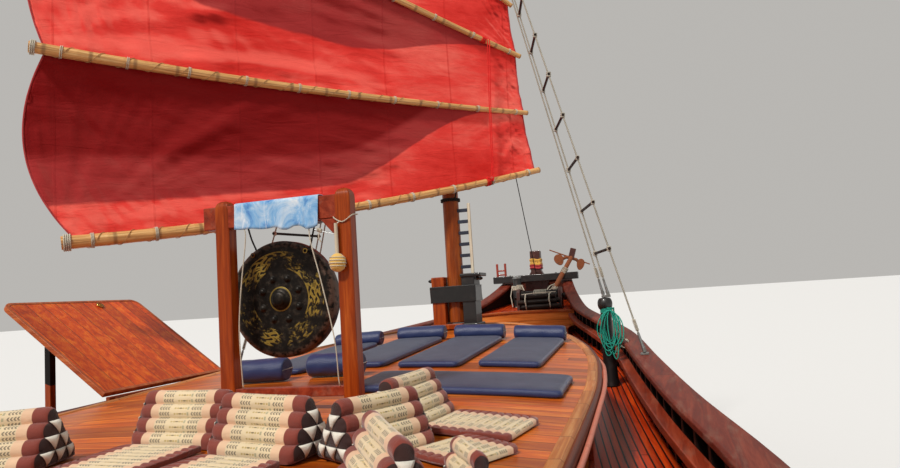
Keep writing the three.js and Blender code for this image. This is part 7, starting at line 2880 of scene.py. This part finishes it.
@dataclass
class Cushions:
    """Thai triangle cushions with their fold-out mats."""

    lines: Lines
    # Middle, turn, width, depth, height
    wedges: tuple = (
        (-0.6, -1.68, 12, 0.56, 0.34, 0.26), (0.12, -1.17, -3, 0.52, 0.34, 0.25),
        (0.7, -1.36, -8, 0.5, 0.34, 0.26), (1.21, -1.27, 64, 0.48, 0.31, 0.26),
        (1.51, -1.92, 125, 0.54, 0.3, 0.27), (1.13, -0.62, 80, 0.5, 0.36, 0.25),
        (1.835, -1.93, 125, 0.26, 0.2, 0.22),
    )
    # Middle, turn, width, length
    mats: tuple = (
        (-0.53, -2.13, 12, 0.54, 0.52), (0.09, -1.63, -3, 0.5, 0.52), (0.635, -1.82, -8, 0.48, 0.52),
        (1.615, -1.21, 64, 0.44, 0.34), (1.567, -0.677, 80, 0.5, 0.5), (1.24, -2.1, 125, 0.46, 0.32),
    )
    slab: float = 0.037
    rolls: int = 4

    def build(self) -> None:
        """Builds every cushion and mat."""
        padding = Padding(self.lines)
        for number, wedge in enumerate(self.wedges, 1):
            self.wedge(padding, number, wedge)
        for number, (x, y, turn, width, length) in enumerate(self.mats, 1):
            shape = Shape()
            half, count = length / 2, round(length / 0.052)
            top = padding.scallops((half, 0.03), (-half, 0.03), count, 0.011, 7)
            section = [(half, 0.006), *top, (-half, 0.03), (-half, 0.006), (0.0, 0.0)]
            ends = [(0.001, 0.5), (0.004, 0.72), (0.012, 0.9), (0.026, 0.985)]
            for ring in padding.bands(shape, (x, y, turn), width, section, ends, 0.0):
                base = len(shape.points)
                shape.points.extend(ring)
                shape.face(range(base, base + len(ring)), 0, [(0.0, 0.0)] * len(ring))
            piece = shape.build(f"cushion_mat_{number}", Finishes.cushion, smooth=70, slot="cushion_fabric")

    def wedge(self, padding: Padding, number: int, sizes: tuple) -> None:
        """Builds one triangle cushion with its end insets.

        Args:
            padding: lays it on the roof.
            number: its number.
            sizes: its row in the table.
        """
        x, y, turn, width, depth, height = sizes
        spot = (x, y, turn)
        high = height + self.slab
        front, back, apex = (-depth / 2, 0.014), (depth / 2, 0.014), (-0.06 * depth, high - 0.008)
        bulge = 0.085 * high
        section = [
            *padding.scallops(back, apex, self.rolls, bulge),
            *padding.scallops(apex, front, self.rolls, bulge),
            (front[0], 0.004), (front[0] + 0.02, 0.0), (0.0, 0.0), (back[0] - 0.02, 0.0), (back[0], 0.004),
        ]
        shape, insets = Shape(), Shape()
        ends = [(0.0, 0.9), (0.004, 0.94), (0.014, 0.975), (0.032, 0.995)]
        rings = padding.bands(shape, spot, width, section, ends, 0.02)

        def puff(py: float, pz: float) -> float:
            """Gives how far the end face swells at a point."""
            (fy, fz), (by, bz), (ay, az) = front, back, apex
            whole = (by - fy) * (az - fz) - (bz - fz) * (ay - fy)
            a = ((by - py) * (az - pz) - (bz - pz) * (ay - py)) / whole
            b = ((ay - py) * (fz - pz) - (az - pz) * (fy - py)) / whole
            return 0.03 * math.sqrt(max(27 * a * b * (1 - a - b), 0.0))

        flat = [Vector(p) for p in section]
        middle = sum(flat, Vector((0.0, 0.0))) / len(flat)
        for side, ring in zip((-1, 1), rings):
            rows = [ring]
            for scale in (0.8, 0.66, 0.52, 0.38, 0.24, 0.1, 0.01):
                row = []
                for p in flat:
                    q = middle + (p - middle) * scale
                    row.append(padding.laid((side * (width / 2 + puff(q.x, q.y)), q.x, q.y), spot))
                rows.append(row)
            shape.grid(rows, 1, ring=True)
            base = len(shape.points)
            shape.points.extend(rows[-1])
            shape.face(range(base, base + len(flat)), 1, [(0.0, 0.0)] * len(flat))
            self.insets(padding, insets, spot, (side, width, front, back, apex), puff)
        piece = shape.build(f"triangle_cushion_{number}", [Finishes.cushion, Finishes.dark_inset], smooth=70,
                            slot="cushion_fabric", replaces=[f"cushion_{number}"])
        piece = insets.build(f"cushion_insets_{number}", Finishes.inset_cloth, smooth=70, wall=0.004,
                             slot="cushion_fabric")

    def insets(
        self, padding: Padding, shape: Shape, spot: tuple, end: tuple, puff: Callable[[float, float], float],
    ) -> None:
        """Adds the pale hanging triangles of one end face.

        Args:
            padding: lays them on the cushion.
            shape: takes them.
            spot: the cushion's middle and turn.
            end: the side, the width and the face's three corners.
            puff: gives how far the face swells.
        """
        side, width, *corners = end
        front, back, apex = (Vector(p) for p in corners)
        rolls, parts = self.rolls, 5

        def knot(k: int, j: int) -> Vector:
            """Gives a crossing of the seams, k rows down and j across."""
            return apex + (front - apex) * ((k - j) / rolls) + (back - apex) * (j / rolls)

        for k in range(2, rolls + 1):
            for j in range(k - 1):
                tips = [knot(k - 1, j), knot(k - 1, j + 1), knot(k, j + 1)]
                heart = sum(tips, Vector((0.0, 0.0))) / 3
                tips = [heart + (p - heart) * 0.94 for p in tips]
                base = len(shape.points)
                index = {}
                for a in range(parts + 1):
                    for b in range(parts + 1 - a):
                        u, v = a / parts, b / parts
                        w = 1 - u - v
                        q = tips[0] * u + tips[1] * v + tips[2] * w
                        out = width / 2 + puff(q.x, q.y) + 0.003 + 0.009 * math.sqrt(max(27 * u * v * w, 0))
                        index[a, b] = len(index)
                        shape.points.append(padding.laid((side * out, q.x, q.y), spot))
                for a in range(parts):
                    for b in range(parts - a):
                        faces = [((a, b), (a + 1, b), (a, b + 1))]
                        if a + b < parts - 1:
                            faces.append(((a + 1, b), (a + 1, b + 1), (a, b + 1)))
                        for face in faces:
                            ids = [base + index[spot_] for spot_ in face]
                            shape.face(ids, 0, [(0.0, 0.0)] * 3)


@dataclass
class Poop:
    """House at the stern with its windows, door, deck and balustrade."""

    shop: Workshop
    half: float = 1.7
    ends: tuple = (-10.65, -6.4)
    side_windows: tuple = (-9.7, -8.5, -7.3)
    window_heights: tuple = (2.75, 3.2)
    floor: float = 3.6403

    def build(self) -> None:
        """Dresses the house and adds what its solids leave out."""
        redress("poop_house", Finishes.walls)
        redress("poop_front", Finishes.front)
        redress("poop_deck", Finishes.rim_x)
        redress("poop_rail", Finishes.varnish_y)
        self.windows()
        self.mouldings()
        self.door()
        self.planking()

    def windows(self) -> None:
        """Builds the frames, panes and bars of the windows."""
        low, high = self.window_heights
        middle, tall = (low + high) / 2, high - low
        frames, panes, bars = Shape(), Shape(), Shape()
        for side in (-1, 1):
            wall = side * self.half
            near, far = sorted((wall - side * 0.01, wall + side * 0.024))
            for y in self.side_windows:
                framed(frames, Axis.X, (near, far), (y, 0.66), (middle, tall), 0.05)
                deep = wall - side * 0.035
                panes.box((deep - 0.004, y - 0.335, low - 0.005), (deep + 0.004, y + 0.335, high + 0.005))
                bars.box((deep - 0.012, y - 0.014, low), (deep + 0.012, y + 0.014, high))
                bars.box((deep - 0.012, y - 0.33, middle - 0.014), (deep + 0.012, y + 0.33, middle + 0.014))
        front = self.ends[1]
        for x in (-1.1, 1.1):
            framed(frames, Axis.Y, (front - 0.01, front + 0.024), (x, 0.6), (middle, tall), 0.05)
            panes.box((x - 0.305, front - 0.039, low - 0.005), (x + 0.305, front - 0.031, high + 0.005))
            bars.box((x - 0.014, front - 0.047, low), (x + 0.014, front - 0.023, high))
            bars.box((x - 0.3, front - 0.047, middle - 0.014), (x + 0.3, front - 0.023, middle + 0.014))
        frames.build("poop_window_frames", Finishes.redwood, slot="redwood", bevel=0.005)
        panes.build("poop_window_panes", Finishes.glass, slot="dark_paint")
        bars.build("poop_window_bars", Finishes.redwood, slot="redwood", bevel=0.003)

    def mouldings(self) -> None:
        """Builds the moulding under the eaves, the corner boards and the vents."""
        shape = Shape()
        aft, fore = self.ends
        for side in (-1, 1):
            near, far = sorted((side * self.half, side * (self.half + 0.035)))
            shape.box((near, aft, 3.49), (far, fore, 3.553))
            for y0, y1 in ((aft, aft + 0.12), (fore - 0.12, fore)):
                near, far = sorted((side * self.half, side * (self.half + 0.016)))
                shape.box((near, y0, 2.6), (far, y1, 3.488))
        shape.build("poop_mouldings", Finishes.rim_x, bevel=0.006, slot="varnish")
        louvre = Shape()
        louvre.box((-0.17, -0.006, -0.016), (0.17, 0.006, 0.016),
                   turn=Matrix.Rotation(math.radians(35), 4, "X"))
        places = [((x, fore + 0.012, z), (0, 0, 0)) for x in (-1.1, 1.1) for z in steps(2.36, 2.56, 6)]
        self.shop.rows("poop_louvres", louvre, places, Finishes.redwood, slot="redwood")
        surround = Shape()
        for x in (-1.1, 1.1):
            framed(surround, Axis.Y, (fore, fore + 0.022), (x, 0.34), (2.46, 0.26), 0.035)
        surround.build("poop_vents", Finishes.redwood, bevel=0.004, slot="redwood")

    def door(self) -> None:
        """Builds the panelled door with its knob and hinges."""
        low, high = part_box("poop_door")
        shape = Shape()
        face = high.y
        redress("poop_door", Finishes.redwood)
        middle = (low.z + high.z) / 2
        for z0, z1 in ((low.z + 0.1, middle - 0.04), (middle + 0.04, high.z - 0.1)):
            for x0, x1 in ((-0.28, -0.03), (0.03, 0.28)):
                framed(shape, Axis.Y, (face - 0.004, face + 0.006), ((x0 + x1) / 2, x1 - x0 - 0.03),
                       ((z0 + z1) / 2, z1 - z0 - 0.03), 0.016)
        shape.build("door_panels", Finishes.varnish_z, "door", bevel=0.003, slot="redwood")
        knob = Shape()
        knob.lathe([(0.024, -0.001), (0.024, 0.004), (0.009, 0.008), (0.009, 0.022), (0.02, 0.03),
                    (0.023, 0.04), (0.017, 0.05), (0.0, 0.053)], (0.27, face, middle), Axis.Y, 24)
        knob.build("door_knob", Finishes.brass, "door", slot="propeller_bronze")

    def planking(self) -> None:
        """Builds the planks of the poop deck."""
        deck = Shape()
        aft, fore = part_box("poop_rail")[0].y + 0.1, -6.27
        edge = 1.76
        bounds = steps(-edge, edge, 27)
        for low, high in zip(bounds, bounds[1:]):
            deck.box((low + 0.003, aft, self.floor - 0.002), (high - 0.003, fore, self.floor + 0.006))
        deck.build("poop_planks", Finishes.side_deck, slot="varnish")


@dataclass
class Steering:
    """Rudder with its straps, tiller fittings, and the propeller."""

    rudder_y: float = -11.64
    screw: tuple = (0.0, -10.65, -0.76)
    radius: float = 0.43
    blades: int = 3
    pitch: float = 35.0

    def build(self) -> None:
        """Dresses the rudder and builds the propeller."""
        redress("rudder", Finishes.topsides)
        self.straps()
        self.propeller()

    def straps(self) -> None:
        """Builds the iron straps on the rudder's blade with their bolts, and the tiller's ferrule."""
        shape = Shape()
        for z, reach in ((-0.85, 0.95), (-0.2, 0.9), (0.55, 0.8)):
            for side in (-1, 1):
                x = side * 0.0505
                near, far = sorted((x - side * 0.004, x + side * 0.006))
                shape.box((near, self.rudder_y - reach, z - 0.035), (far, self.rudder_y - 0.1, z + 0.035))
                for y in steps(self.rudder_y - reach + 0.07, self.rudder_y - 0.2, 4):
                    shape.lathe([(0.016, 0.0), (0.014, side * 0.006), (0.0, side * 0.009)],
                                (x + side * 0.005, y, z), Axis.X, 10)
        shape.build("rudder_straps", Finishes.iron, "rudder", bevel=0.003, slot="anchor_iron")
        ferrule = Shape()
        ferrule.lathe([(0.034, -0.03), (0.036, -0.03), (0.036, 0.03), (0.034, 0.03)],
                      (0.0, -9.95, 4.617), Axis.Y, 24, closed=True)
        ferrule.build("tiller_ferrule", Finishes.brass, "rudder", slot="propeller_bronze")

    def propeller(self) -> None:
        """Builds the hub, the cone, the shaft and the twisted blades."""
        x0, y0, z0 = self.screw
        shape = Shape()
        shape.lathe([(0.0, -0.165), (0.018, -0.163), (0.04, -0.145), (0.055, -0.112), (0.07, -0.1),
                     (0.09, -0.085), (0.095, -0.04), (0.095, 0.05), (0.088, 0.085), (0.05, 0.1),
                     (0.04, 0.105), (0.04, 0.4994), (0.0, 0.4994)], self.screw, Axis.Y, 48)
        for blade in range(self.blades):
            turn = math.tau * blade / self.blades
            rows = []
            for share in steps(0.0, 1.0, 15):
                r = lerp(0.075, self.radius, share)
                width = 0.15 * (1 + 0.9 * math.sin(math.pi * min(share * 0.62 + 0.1, 1.0)))
                width *= math.sqrt(max(1 - (max(share - 0.55, 0) / 0.46) ** 2, 0.003))
                angle = math.radians(lerp(52, self.pitch - 12, share))
                thick = lerp(0.03, 0.007, share)
                row = []
                for k in range(16):
                    t = math.tau * k / 16
                    chord = 0.5 * width * math.cos(t)
                    lift = 0.5 * thick * math.sin(t) * (1 - 0.4 * math.cos(t))
                    side = chord * math.cos(angle) - lift * math.sin(angle)
                    fore = chord * math.sin(angle) + lift * math.cos(angle)
                    swing = turn + side / max(r, 0.12)
                    row.append((x0 + r * math.sin(swing), y0 + fore * 0.8, z0 + r * math.cos(swing)))
                rows.append(row)
            shape.grid(rows, ring=True, capped=True)
        shape.build("screw", Finishes.bronze, "propeller", smooth=50, slot="propeller_bronze",
                    replaces=["propeller"])


def main() -> None:
    """Builds the boat's looks over the frame."""
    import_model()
    lines = Lines()
    shop = Workshop()
    mast, mizzen = MastGear(lines, shop), MizzenMast(lines, shop)
    main_sail = FanSail(
        shop, mast, "main", "main_rig", 45, 0.14, 0.016, MAIN_SPARS, 4.405,
        ("main_boom", "main_batten_2", "main_batten_3", "main_batten_4", "main_batten_5", "main_yard"),
        lacing=(((0, 0.14), (2, 0.1)),), bulge=0.33,
    )
    mizzen_sail = FanSail(
        shop, mizzen, "mizzen", "mizzen_rig", 20, 0.115, 0.014, MIZZEN_SPARS, 5.7,
        ("mizzen_boom", "", "", "mizzen_yard"), columns=60, rows=11, billow=0.07, bulge=0.13,
    )
    for part in (
        Hull(lines, shop), Bulwarks(lines, shop), Cabin(lines, shop), Foredeck(lines, shop), mast, mizzen,
        Rigging(lines, shop, mast), main_sail, mizzen_sail, GongStand(lines, shop), SideLeaf(lines),
        Bedding(lines, shop), Cushions(lines), Poop(shop), Steering(), Studio(),
    ):
        part.build()


if __name__ == "__main__":
    logging.basicConfig(level=logging.INFO, format="%(message)s")
    main()
